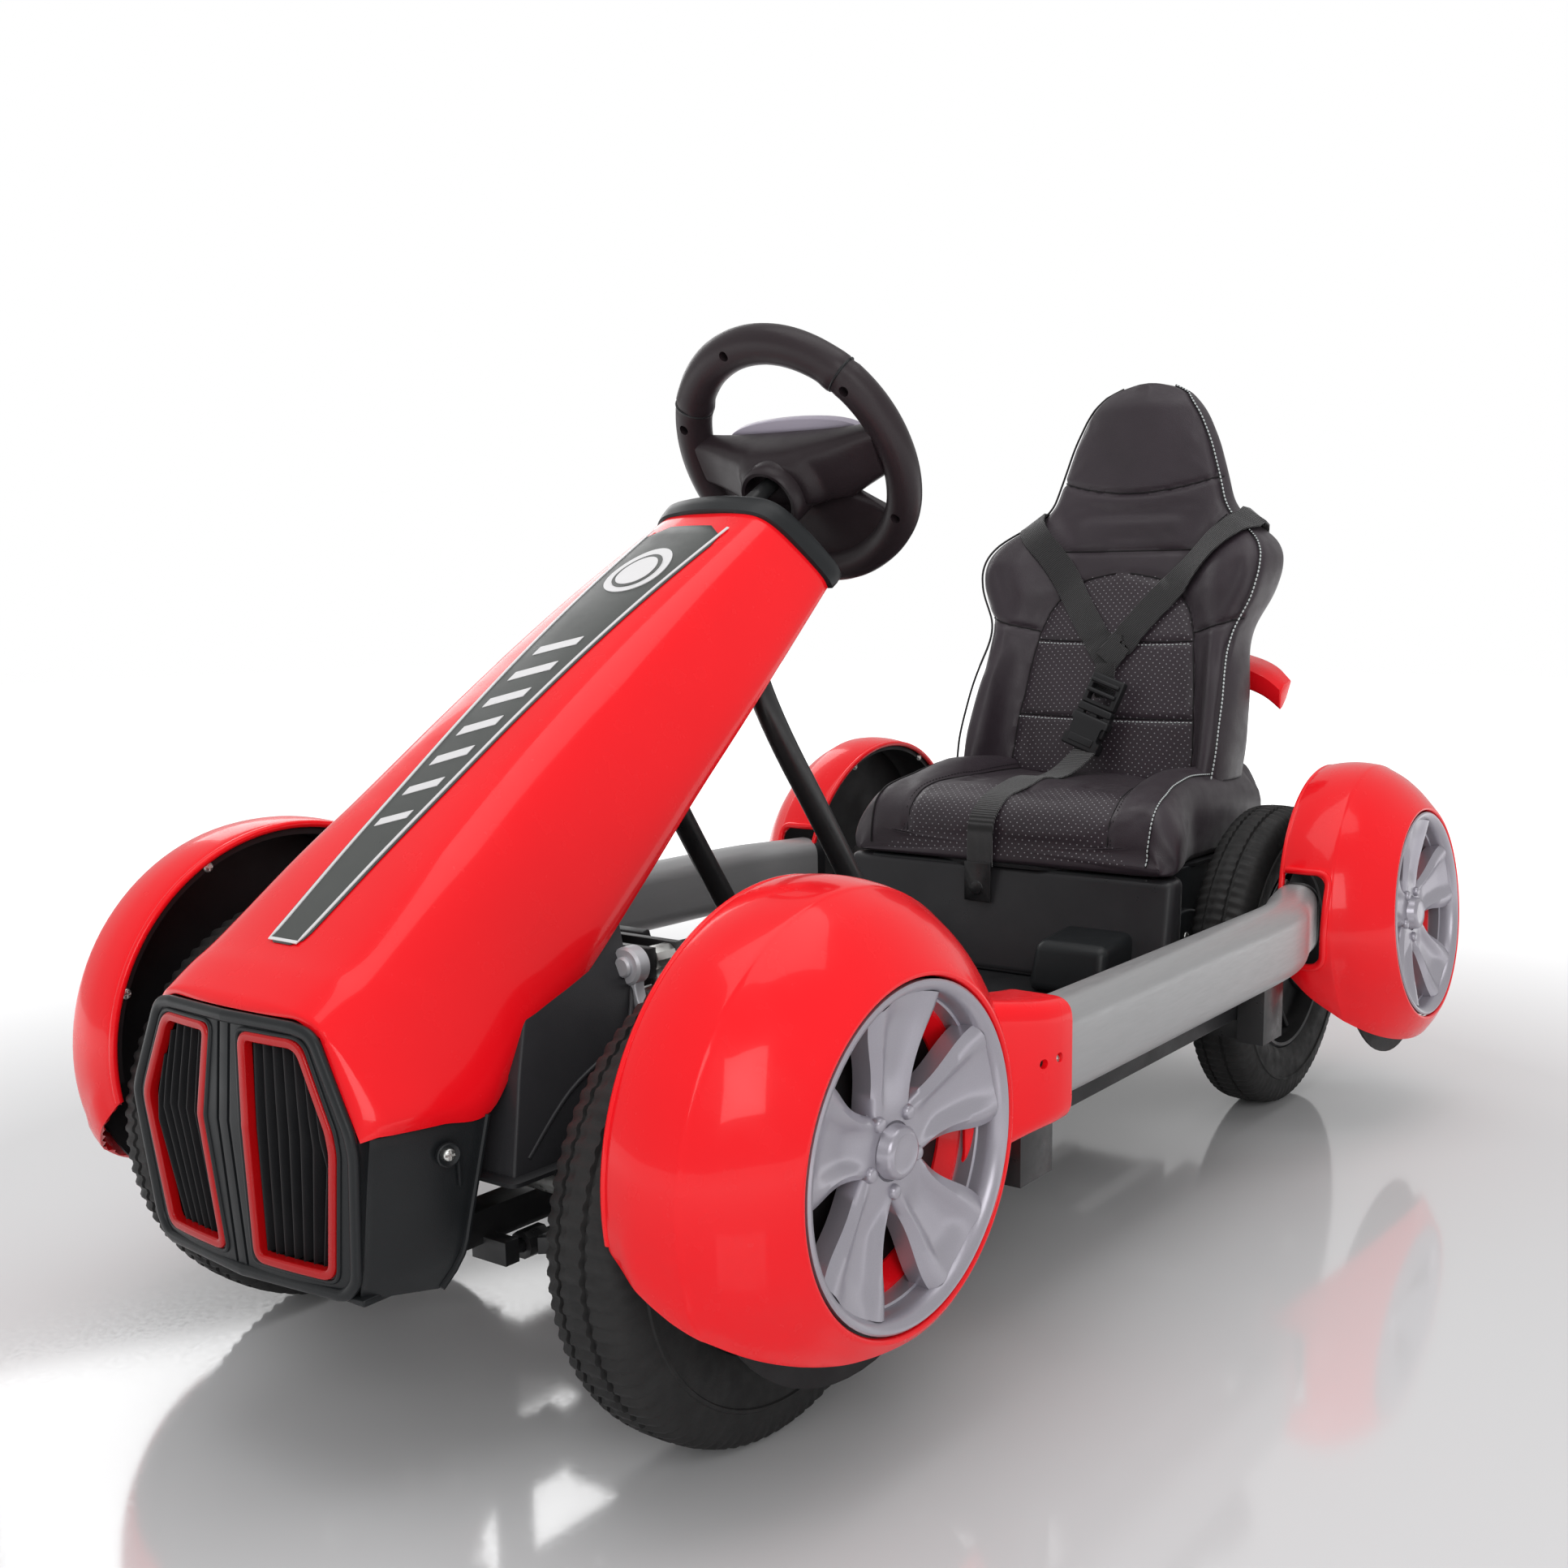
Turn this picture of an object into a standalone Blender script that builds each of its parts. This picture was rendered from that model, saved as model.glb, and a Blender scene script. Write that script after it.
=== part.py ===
"""Child's electric ride-on go-kart, built as an assembly of separate pieces.

Units are metres, +Z is up, the kart drives towards -Y and its left side is +X.
The origin lies on the ground under the middle of the kart's bounding box.
"""
import math

import bmesh
import bpy
from mathutils import Matrix, Vector

# ---------------------------------------------------------------- driving dimensions
GAP = 0.0003                 # gap between pieces that touch
WHEELBASE = 0.760
FRONT_AXLE_Y = -0.340
REAR_AXLE_Y = FRONT_AXLE_Y + WHEELBASE
TYRE_RADIUS = 0.140
TYRE_HALF_WIDTH = 0.030
RIM_RADIUS = 0.086
FRONT_WHEEL_X = 0.185        # middle of the front tyres
REAR_WHEEL_X = 0.189         # middle of the rear tyres
AXLE_Z = TYRE_RADIUS
KINGPIN_X = 0.140

POD_Z = 0.183                # middle of the round wheel pods
POD_FRONT_X = 0.212          # inboard edge of the front pods
POD_REAR_X = 0.254
POD_REAR_CAMBER = math.radians(5.0)
CAP_RADIUS = 0.093

BAR_X = 0.285                # long straight stretch of the side bars
BAR_Z = 0.200
BAR_HEIGHT = 0.062
BAR_WIDTH = 0.038

RAIL_X = 0.050
RAIL_Z = 0.120
RAIL_SIZE = 0.020
FLOOR_TOP = 0.1363

WHEEL_CENTRE = Vector((0.0, -0.046, 0.572))      # middle of the steering wheel's rim
COLUMN_ANGLE = math.radians(31.0)                # column below the horizontal
COLUMN_DIR = Vector((0.0, -math.cos(COLUMN_ANGLE), -math.sin(COLUMN_ANGLE)))
JOINT_POINT = WHEEL_CENTRE + COLUMN_DIR * 0.118  # universal joint
SHAFT_FOOT = Vector((0.0, -0.376, 0.168))        # lower end of the lower steering shaft
SHAFT_DIR = (SHAFT_FOOT - JOINT_POINT).normalized()
PITMAN_LENGTH = 0.020
TIE_Y = -0.395
TIE_Z = 0.150

ARM_PIVOT_X = 0.072
ARM_Z = 0.106
SHOCK_Y = -0.316
SHOCK_TOP = Vector((0.100, SHOCK_Y, 0.262))
SHOCK_FOOT = Vector((0.116, SHOCK_Y, 0.124))

SEAT_HALF_WIDTH = 0.148


# ---------------------------------------------------------------- materials
def material(name, colour, roughness, metallic=0.0):
    mat = bpy.data.materials.new(name)
    mat.use_nodes = True
    shader = mat.node_tree.nodes["Principled BSDF"]
    shader.inputs["Base Color"].default_value = (*colour, 1.0)
    shader.inputs["Roughness"].default_value = roughness
    shader.inputs["Metallic"].default_value = metallic
    return mat


def clear_scene():
    for obj in list(bpy.data.objects):
        bpy.data.objects.remove(obj, do_unlink=True)


clear_scene()
RED = material("red_gloss_plastic", (0.80, 0.015, 0.02), 0.18)
BLACK = material("black_plastic", (0.02, 0.02, 0.022), 0.45)
STEEL_BLACK = material("black_painted_steel", (0.015, 0.015, 0.016), 0.40, 0.2)
SILVER_PAINT = material("silver_painted_steel", (0.42, 0.42, 0.43), 0.35, 0.6)
CAP_SILVER = material("silver_plastic", (0.55, 0.53, 0.56), 0.25, 0.7)
RUBBER = material("tyre_rubber", (0.02, 0.02, 0.02), 0.7)
ZINC = material("zinc_plated_steel", (0.60, 0.60, 0.58), 0.30, 0.9)
LEATHER = material("black_leatherette", (0.035, 0.028, 0.035), 0.45)
WEBBING = material("black_webbing", (0.015, 0.015, 0.015), 0.8)
SPRING_RED = material("red_painted_spring", (0.75, 0.06, 0.02), 0.35)
PAD_GREY = material("grey_plastic", (0.45, 0.42, 0.48), 0.40)


# ---------------------------------------------------------------- modelling helpers
def finish_mesh(name, bm, mat, matrix=None):
    """Turn a bmesh into a named object whose faces point outwards."""
    bmesh.ops.recalc_face_normals(bm, faces=bm.faces)
    mesh = bpy.data.meshes.new(name)
    bm.to_mesh(mesh)
    bm.free()
    mesh.materials.append(mat)
    mesh.shade_smooth()
    mesh.set_sharp_from_angle(angle=math.radians(35))
    obj = bpy.data.objects.new(name, mesh)
    bpy.context.collection.objects.link(obj)
    if matrix is not None:
        obj.matrix_world = matrix
    return obj


def loft(name, rings, mat, closed=False, matrix=None):
    """Skin rings of equal length; the ends are filled, or joined when closed."""
    bm = bmesh.new()
    rows = [[bm.verts.new(p) for p in ring] for ring in rings]
    pairs = list(zip(rows, rows[1:]))
    if closed:
        pairs.append((rows[-1], rows[0]))
    for row_a, row_b in pairs:
        count = len(row_a)
        for i in range(count):
            j = (i + 1) % count
            bm.faces.new((row_a[i], row_a[j], row_b[j], row_b[i]))
    if not closed:
        bm.faces.new(rows[0])
        bm.faces.new(rows[-1])
    return finish_mesh(name, bm, mat, matrix)


def box(name, low, high, mat, matrix=None):
    (x0, y0, z0), (x1, y1, z1) = low, high
    ring = [(x0, y0), (x1, y0), (x1, y1), (x0, y1)]
    return loft(name, [[(x, y, z) for x, y in ring] for z in (z0, z1)], mat, matrix=matrix)


def prism(name, outline, y0, y1, mat, matrix=None):
    """Extrude an outline of (x, z) points from y0 to y1."""
    return loft(name, [[(x, y, z) for x, z in outline] for y in (y0, y1)], mat, matrix=matrix)


def axis_frame(origin, direction, up=Vector((0, 0, 1))):
    """Matrix whose local Z runs along direction, with local X level where it can be."""
    z_axis = Vector(direction).normalized()
    side = up.cross(z_axis)
    if side.length < 1e-6:
        side = Vector((1, 0, 0))
    x_axis = side.normalized()
    y_axis = z_axis.cross(x_axis)
    frame = Matrix((x_axis, y_axis, z_axis)).transposed().to_4x4()
    frame.translation = Vector(origin)
    return frame


def revolve(name, profile, mat, steps, matrix=None):
    """Turn a closed profile of (z, radius) points about local Z; a radius of 0 is the axis."""
    bm = bmesh.new()
    columns = []
    for z, radius in profile:
        if radius == 0.0:
            columns.append([bm.verts.new((0, 0, z))] * steps)
        else:
            angles = [2 * math.pi * i / steps for i in range(steps)]
            columns.append([bm.verts.new((radius * math.cos(a), radius * math.sin(a), z)) for a in angles])
    for row_a, row_b in zip(columns, columns[1:] + columns[:1]):
        if row_a[0] is row_a[1] and row_b[0] is row_b[1]:
            continue
        for i in range(steps):
            j = (i + 1) % steps
            corners = []
            for vert in (row_a[i], row_a[j], row_b[j], row_b[i]):
                if vert not in corners:
                    corners.append(vert)
            bm.faces.new(corners)
    return finish_mesh(name, bm, mat, matrix)


def rod(name, start, end, radius, mat, steps=12):
    start, end = Vector(start), Vector(end)
    length = (end - start).length
    profile = [(0, 0.0), (0, radius), (length, radius), (length, 0.0)]
    return revolve(name, profile, mat, steps, axis_frame(start, end - start))


def square_tube(name, start, end, size, mat):
    half = size / 2
    length = (Vector(end) - Vector(start)).length
    return box(name, (-half, -half, 0), (half, half, length), mat,
            axis_frame(start, Vector(end) - Vector(start)))


def bent_tube(name, points, radius, mat, sides=8):
    """A round tube along a list of points, with rings carried round each bend without twist."""
    points = [Vector(p) for p in points]
    along = [(b - a).normalized() for a, b in zip(points, points[1:])]
    tangents = [along[0]] + [(a + b).normalized() for a, b in zip(along, along[1:])] + [along[-1]]
    side = tangents[0].orthogonal().normalized()
    rings = []
    for i, (point, tangent) in enumerate(zip(points, tangents)):
        if i:
            side = tangents[i - 1].rotation_difference(tangent) @ side
        side = (side - tangent * side.dot(tangent)).normalized()
        over = tangent.cross(side)
        angles = [2 * math.pi * (k + 0.5) / sides for k in range(sides)]
        rings.append([point + side * (radius * math.cos(a)) + over * (radius * math.sin(a))
                for a in angles])
    return loft(name, rings, mat)


def combine(base, others, operation="UNION"):
    """Apply EXACT booleans to base one by one and remove the other objects."""
    for other in others:
        mod = base.modifiers.new(operation.lower(), "BOOLEAN")
        mod.operation = operation
        mod.solver = "EXACT"
        mod.object = other
        depsgraph = bpy.context.evaluated_depsgraph_get()
        result = bpy.data.meshes.new_from_object(base.evaluated_get(depsgraph))
        base.modifiers.remove(mod)
        base.data = result
        bpy.data.objects.remove(other, do_unlink=True)
    bm = bmesh.new()
    bm.from_mesh(base.data)
    bmesh.ops.remove_doubles(bm, verts=bm.verts, dist=1e-6)
    bm.to_mesh(base.data)
    bm.free()
    base.data.shade_smooth()
    base.data.set_sharp_from_angle(angle=math.radians(35))
    return base


def hang(empty_name, matrix, pieces):
    """Parent pieces to an empty that stands on their joint's axis."""
    empty = bpy.data.objects.new(empty_name, None)
    empty.empty_display_size = 0.03
    bpy.context.collection.objects.link(empty)
    empty.matrix_world = matrix
    bpy.context.view_layer.update()
    for piece in pieces:
        world = piece.matrix_world.copy()
        piece.parent = empty
        piece.matrix_parent_inverse = matrix.inverted()
        piece.matrix_world = world
    return empty


def side_name(side):
    return "left" if side > 0 else "right"


# ---------------------------------------------------------------- frame
def make_main_frame():
    rear_y = REAR_AXLE_Y + 0.060
    front_y = -0.455
    rails = [square_tube("rail", (s * RAIL_X, front_y, RAIL_Z), (s * RAIL_X, rear_y, RAIL_Z), RAIL_SIZE,
            STEEL_BLACK)
             for s in (1, -1)]
    parts = [rails[1]]
    for y in (front_y + 0.012, rear_y - 0.012):
        parts.append(box("cross", (-RAIL_X, y - 0.009, RAIL_Z - 0.009),
                (RAIL_X, y + 0.009, RAIL_Z + 0.009), STEEL_BLACK))
    # outriggers reach out under the side bars and turn up to meet them
    reach = BAR_X - 0.012
    for y in (-0.165, 0.225):
        parts.append(box("outrigger", (-reach, y - 0.012, RAIL_Z - 0.008),
                (reach, y + 0.012, RAIL_Z + 0.008), STEEL_BLACK))
        for s in (1, -1):
            x0, x1 = sorted((s * (reach - 0.022), s * (reach + 0.001)))
            bar_low = BAR_Z - BAR_HEIGHT / 2 - GAP
            parts.append(box("upright", (x0, y - 0.020, RAIL_Z - 0.0085), (x1, y + 0.020, bar_low),
                    STEEL_BLACK))
    for s in (1, -1):
        # hinge rod of the lower suspension arm on two lugs
        for y in (FRONT_AXLE_Y - 0.080, FRONT_AXLE_Y + 0.080):
            x0, x1 = sorted((s * RAIL_X, s * (ARM_PIVOT_X + 0.006)))
            parts.append(box("lug", (x0, y - 0.005, ARM_Z - 0.006), (x1, y + 0.005, ARM_Z + 0.008),
                    STEEL_BLACK))
        parts.append(rod("hinge_rod", (s * ARM_PIVOT_X, FRONT_AXLE_Y - 0.082, ARM_Z),
                         (s * ARM_PIVOT_X, FRONT_AXLE_Y + 0.082, ARM_Z), 0.004, STEEL_BLACK, 10))
        # rear axle carrier
        x0, x1 = sorted((s * (RAIL_X - 0.006), s * (RAIL_X + 0.006)))
        parts.append(box("carrier", (x0, REAR_AXLE_Y - 0.020, RAIL_Z),
                (x1, REAR_AXLE_Y + 0.020, AXLE_Z + 0.020), STEEL_BLACK))
        # tower that carries the top of the shock absorber
        x0, x1 = sorted((s * (RAIL_X - 0.008), s * (RAIL_X + 0.008)))
        parts.append(box("tower", (x0, SHOCK_Y - 0.010, RAIL_Z),
                (x1, SHOCK_Y + 0.010, SHOCK_TOP.z + 0.010), STEEL_BLACK))
        x0, x1 = sorted((s * RAIL_X, s * (SHOCK_TOP.x + 0.006)))
        for y in (SHOCK_Y - 0.0145, SHOCK_Y + 0.0085):
            parts.append(box("ear", (x0, y, SHOCK_TOP.z - 0.010), (x1, y + 0.006, SHOCK_TOP.z + 0.008),
                    STEEL_BLACK))
        parts.append(rod("shock_pin", (s * SHOCK_TOP.x, SHOCK_Y - 0.012, SHOCK_TOP.z),
                         (s * SHOCK_TOP.x, SHOCK_Y + 0.012, SHOCK_TOP.z), 0.003, STEEL_BLACK, 8))
    frame = combine(rails[0], parts)
    frame.name = frame.data.name = "main_frame"
    bore = rod("bore", (-0.1, REAR_AXLE_Y, AXLE_Z), (0.1, REAR_AXLE_Y, AXLE_Z), 0.0060 + GAP, STEEL_BLACK,
            16)
    return combine(frame, [bore], "DIFFERENCE")


def bar_section(x, y, lean):
    """Rounded upright section of a side bar, turned by lean about the vertical."""
    ring = []
    half_w, half_h, corner = BAR_WIDTH / 2, BAR_HEIGHT / 2, 0.017
    for sx, sz, start in ((1, 1, 0), (-1, 1, 90), (-1, -1, 180), (1, -1, 270)):
        for k in range(3):
            angle = math.radians(start + 45 * k)
            across = sx * (half_w - corner) + corner * math.cos(angle)
            up = sz * (half_h - corner) + corner * math.sin(angle)
            ring.append((x + across * math.cos(lean), y + across * math.sin(lean), BAR_Z + up))
    return ring


BAR_STATIONS = [
    # (x, y, lean in degrees) of the bar's sections, from front to back
    (0.268, -0.238, -16), (0.281, -0.205, -9), (BAR_X, -0.170, 0), (BAR_X, 0.190, 0),
    (0.282, 0.225, 9), (0.270, 0.262, 18), (0.262, 0.300, 10),
]


def bar_middle_x(y):
    """Distance of a side bar's middle from the kart's middle at y."""
    for (x0, y0, _), (x1, y1, _) in zip(BAR_STATIONS, BAR_STATIONS[1:]):
        if y <= y1:
            return x0 + (x1 - x0) * (y - y0) / (y1 - y0)
    return BAR_STATIONS[-1][0]


def make_side_bar(side):
    rings = [[(side * x, y, z) for x, y, z in bar_section(bx, by, math.radians(lean))]
             for bx, by, lean in BAR_STATIONS]
    return loft("side_bar_" + side_name(side), rings, SILVER_PAINT)


def make_floor_pan():
    wide, front, back = 0.250, -0.185, 0.262
    outline = [(-0.100, -0.275), (0.100, -0.275), (0.112, front), (wide, front), (wide, back),
            (-wide, back),
               (-wide, front), (-0.112, front)]
    pan = loft("floor_pan", [[(x, y, z) for x, y in outline] for z in (RAIL_Z + 0.010 + GAP, FLOOR_TOP)],
            BLACK)
    # raised edges beside the feet, and two ribs to push against
    parts = []
    for s in (1, -1):
        x0, x1 = sorted((s * (wide - 0.010), s * wide))
        parts.append(box("edge", (x0, front, FLOOR_TOP - 0.002), (x1, back, FLOOR_TOP + 0.026), BLACK))
    pan = combine(pan, parts)
    slots = []
    for s in (1, -1):
        slots.append(box("tower_slot", (s * RAIL_X - 0.0095, -0.33, 0.12),
                (s * RAIL_X + 0.0095, -0.26, 0.15), BLACK))
        for y in (-0.165, 0.225):
            x0, x1 = sorted((s * (BAR_X - 0.012 - 0.0225), s * 0.30))
            slots.append(box("upright_slot", (x0, y - 0.021, 0.12), (x1, y + 0.021, 0.20), BLACK))
    return combine(pan, slots, "DIFFERENCE")


# ---------------------------------------------------------------- body shells
COWL_STATIONS = [
    # top line (y, z) and lower edge (x, y, z), from the nose to the collar
    ((-0.531, 0.2705), (0.101, -0.514, 0.2070)),
    ((-0.515, 0.282), (0.107, -0.488, 0.2065)),
    ((-0.495, 0.295), (0.111, -0.459, 0.2065)),
    ((-0.445, 0.333), (0.105, -0.425, 0.238)),
    ((-0.400, 0.366), (0.099, -0.380, 0.258)),
    ((-0.345, 0.406), (0.092, -0.320, 0.304)),
    ((-0.285, 0.447), (0.086, -0.262, 0.352)),
    ((-0.225, 0.485), (0.080, -0.197, 0.404)),
    ((-0.145, 0.532), (0.069, -0.100, 0.482)),
]


def cowl_half_section(top, edge, inset):
    """Half of one cowl section, from the middle of the top to the lower edge."""
    (ty, tz), (ex, ey, ez) = top, edge
    crest = 0.62 * ex + 0.006
    shape = [(0.0, 0.0), (0.50 * crest, 0.01), (0.82 * crest, 0.05), (crest + 0.002, 0.17),
             (0.5 * (crest + ex) + 0.003, 0.52), (ex, 1.0)]
    points = []
    for x, drop in shape:
        points.append((max(0.0, x - inset * drop ** 0.3), ty + (ey - ty) * drop,
                tz + (ez - tz) * drop - inset))
    return points


def make_cowl():
    rings = []
    for top, edge in COWL_STATIONS:
        outer = cowl_half_section(top, edge, 0.0)
        inner = cowl_half_section(top, edge, 0.004)
        inner[-1] = (outer[-1][0] - 0.004, outer[-1][1], outer[-1][2])
        ring = outer[::-1] + [(-x, y, z) for x, y, z in outer[1:]]
        ring += [(-x, y, z) for x, y, z in inner[::-1]] + inner[1:]
        rings.append(ring)
    return loft("nose_cowl", rings, RED)


FACE_KINK_Z = 0.205


def face_y(x, z):
    """Front face of the nose: it leans forward to a kink at mid height and curves back at the sides."""
    reach = 0.060 if z > FACE_KINK_Z else 0.088
    kink = max(0.0, 1 - abs(z - FACE_KINK_Z) / reach)
    return -0.537 - 0.014 * kink + 0.012 * (abs(x) / 0.095) ** 2


def face_half_width(z):
    if z > FACE_KINK_Z:
        return 0.098 - 0.020 * (z - FACE_KINK_Z) / 0.058
    return 0.098 - 0.010 * (FACE_KINK_Z - z) / 0.088


def nose_back_y(x):
    """Rear of the nose's face plate, where the cowl's front edge meets it."""
    return -0.5335 + 0.016 * (abs(x) / 0.1) ** 4


def window_outline(side, grow):
    """Six-sided grille window; grow widens it all round."""
    low, kink, high = 0.1285, FACE_KINK_Z, 0.2535
    inner = [(0.016, low), (0.021, kink), (0.015, high)]
    outer = [(0.066, high), (0.0855, kink), (0.068, low)]
    points = []
    for x, z in inner:
        points.append((side * (x - grow), z + grow * (0.8 if z == high else -0.8 if z == low else 0)))
    for x, z in outer:
        points.append((side * (x + grow), z + grow * (0.8 if z == high else -0.8 if z == low else 0)))
    return points


def make_bumper():
    levels = [0.117, 0.145, 0.175, FACE_KINK_Z, 0.235, 0.2625]
    rings = []
    for z in levels:
        half = face_half_width(z)
        xs = [half * f for f in (-1, -0.66, -0.33, 0, 0.33, 0.66, 1)]
        rings.append([(x, face_y(x, z) - 0.004, z) for x in xs] + [(x, nose_back_y(x), z)
                for x in reversed(xs)])
    face = loft("bumper_shell", rings, BLACK)
    parts = []
    for s in (1, -1):
        # side panel running back under the cowl's lower edge
        lower = [(s * 0.087, -0.528), (s * 0.104, -0.480), (s * 0.100, -0.480), (s * 0.081, -0.528)]
        upper = [(s * 0.097, -0.522), (s * 0.111, -0.462), (s * 0.107, -0.462), (s * 0.090, -0.526)]
        rings = [[(x, y, 0.118) for x, y in lower], [(x, y, 0.2060 - GAP) for x, y in upper]]
        parts.append(loft("panel", rings, BLACK))
    parts.append(box("belly", (-0.098, -0.526, 0.1175), (0.098, -0.481, 0.1215), BLACK))
    bumper = combine(face, parts)
    windows = [prism("window", window_outline(s, 0.0005), -0.60, -0.48, BLACK) for s in (1, -1)]
    return combine(bumper, windows, "DIFFERENCE")


def make_grille_trim(side):
    """Red ring that lines one grille window and stands proud of the face."""
    outer = window_outline(side, 0.0)
    inner = window_outline(side, -0.006)
    rings = []
    for (xo, zo), (xi, zi) in zip(outer, inner):
        rings.append([(xo, face_y(xo, zo) - 0.0085, zo), (xi, face_y(xi, zi) - 0.0085, zi),
                      (xi, face_y(xi, zi) + 0.008, zi), (xo, face_y(xo, zo) + 0.008, zo)])
    return loft("grille_trim_" + side_name(side), rings, RED, closed=True)


def window_span(x):
    """Lowest and highest point inside a trim ring at distance x from the middle."""
    outline = window_outline(1, -0.0075)
    (top_x, top_z), (kink_x, _), (low_x, low_z) = outline[3:]
    high, low = top_z, low_z
    if x > top_x:
        high += (FACE_KINK_Z - top_z) * (x - top_x) / (kink_x - top_x)
    if x > low_x:
        low += (FACE_KINK_Z - low_z) * (x - low_x) / (kink_x - low_x)
    return low, high


def make_grille_insert():
    """Back plate behind both windows with upright kinked vanes."""
    plate_y = -0.5085

    def vane(side, x):
        half, lean = 0.0013, 0.002
        low, high = window_span(x + half + lean)
        rings = []
        for z, shift in ((low, 0.0), (FACE_KINK_Z, lean), (high, 0.0)):
            front = face_y(x, z) + 0.006
            middle = x + shift
            rings.append([(side * (middle - half), front, z), (side * (middle + half), front, z),
                          (side * (middle + half), plate_y + 0.001, z),
                          (side * (middle - half), plate_y + 0.001, z)])
        return loft("vane", rings, BLACK)

    outline = [(-0.072, 0.1245), (0.072, 0.1245), (0.088, FACE_KINK_Z), (0.070, 0.2545), (-0.070, 0.2545),
               (-0.088, FACE_KINK_Z)]
    plate = prism("grille_insert", outline, plate_y, plate_y + 0.0035, BLACK)
    vanes = [vane(s, 0.0305 + 0.0098 * k) for s in (1, -1) for k in range(5)]
    return combine(plate, vanes)


def make_collar():
    """Black end plate of the cowl with a rim, carrying the column's bush and the dash."""
    top, edge = COWL_STATIONS[-1]
    normal = Vector((0, edge[2] - top[1], -(edge[1] - top[0]))).normalized()
    if normal.y < 0:
        normal.negate()
    half = cowl_half_section(top, edge, 0.0)
    middle = Vector((0, 0.5 * (top[0] + edge[1]), 0.5 * (top[1] + edge[2])))
    section = half[::-1] + [(-x, y, z) for x, y, z in half[1:]]

    def shifted(scale, along):
        return [tuple(middle + (Vector(p) - middle) * scale + normal * along) for p in section]

    plate = loft("cowl_collar", [shifted(1.07, 0.0006), shifted(1.08, 0.012), shifted(1.02, 0.022)], BLACK)
    # dash hump that faces the driver under the wheel
    base = middle + normal * 0.010
    hump = box("hump", (-0.036, base.y - 0.01, base.z - 0.030), (0.036, base.y + 0.040, base.z - 0.004),
            BLACK)
    plate = combine(plate, [hump])
    bore_start = WHEEL_CENTRE + COLUMN_DIR * 0.03
    bore = rod("bore", bore_start, bore_start + COLUMN_DIR * 0.10, 0.0070 + GAP, BLACK, 16)
    slot_y = base.y + 0.016
    pocket = box("switch_slot", (-0.0255, slot_y, base.z - 0.024),
            (-0.0095, slot_y + 0.016, base.z + 0.01), BLACK)
    return combine(plate, [bore, pocket], "DIFFERENCE"), Vector((-0.0175, slot_y + 0.008, base.z - 0.010))


def make_inner_cover():
    """Black moulding below the cowl, open underneath, around the lower steering shaft."""
    def ring(half, front, back, z):
        return [(-half, front, z), (half, front, z), (half, back, z), (-half, back, z)]

    outer = loft("front_inner_cover", [ring(0.108, -0.455, -0.352, 0.168),
            ring(0.101, -0.440, -0.350, 0.222),
                                       ring(0.082, -0.400, -0.334, 0.286)], BLACK)
    inner = loft("hollow", [ring(0.104, -0.451, -0.356, 0.150), ring(0.097, -0.436, -0.354, 0.222),
                            ring(0.078, -0.396, -0.338, 0.282)], BLACK)
    shaft_hole = rod("shaft_hole", SHAFT_FOOT, JOINT_POINT, 0.016, BLACK, 12)
    return combine(outer, [inner, shaft_hole], "DIFFERENCE")


def make_column_hoop():
    """Tube frame that stands on the floor and holds the collar from below."""
    points = [(0.070, 0.006, FLOOR_TOP + GAP), (0.070, 0.006, 0.150), (0.070, -0.010, 0.172),
            (0.070, -0.100, 0.302), (0.063, -0.168, 0.402),
              (0.040, -0.160, 0.455), (0.0, -0.150, 0.462)]
    mirrored = [(-x, y, z) for x, y, z in points[-2::-1]]
    return bent_tube("column_hoop", points + mirrored, 0.0085, STEEL_BLACK)


# ---------------------------------------------------------------- wheel pods and caps
def pod_profile():
    """Closed (distance outboard, radius) outline of a pod's wall."""
    outer = [(0.000, 0.1400), (0.016, 0.1430), (0.040, 0.1400), (0.064, 0.1275), (0.090, 0.0985)]
    inner = [(0.0865, 0.0950), (0.062, 0.1235), (0.038, 0.1363), (0.000, 0.1365)]
    return outer + inner


def pod_frame(side, rear):
    x = POD_REAR_X if rear else POD_FRONT_X
    y = REAR_AXLE_Y if rear else FRONT_AXLE_Y
    camber = POD_REAR_CAMBER if rear else 0.0
    direction = Vector((side * math.cos(camber), 0, math.sin(camber)))
    return axis_frame((side * x, y, POD_Z + (0.003 if rear else 0.0)), direction)


def pod_scale(rear):
    return 0.96 if rear else 1.0


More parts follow.
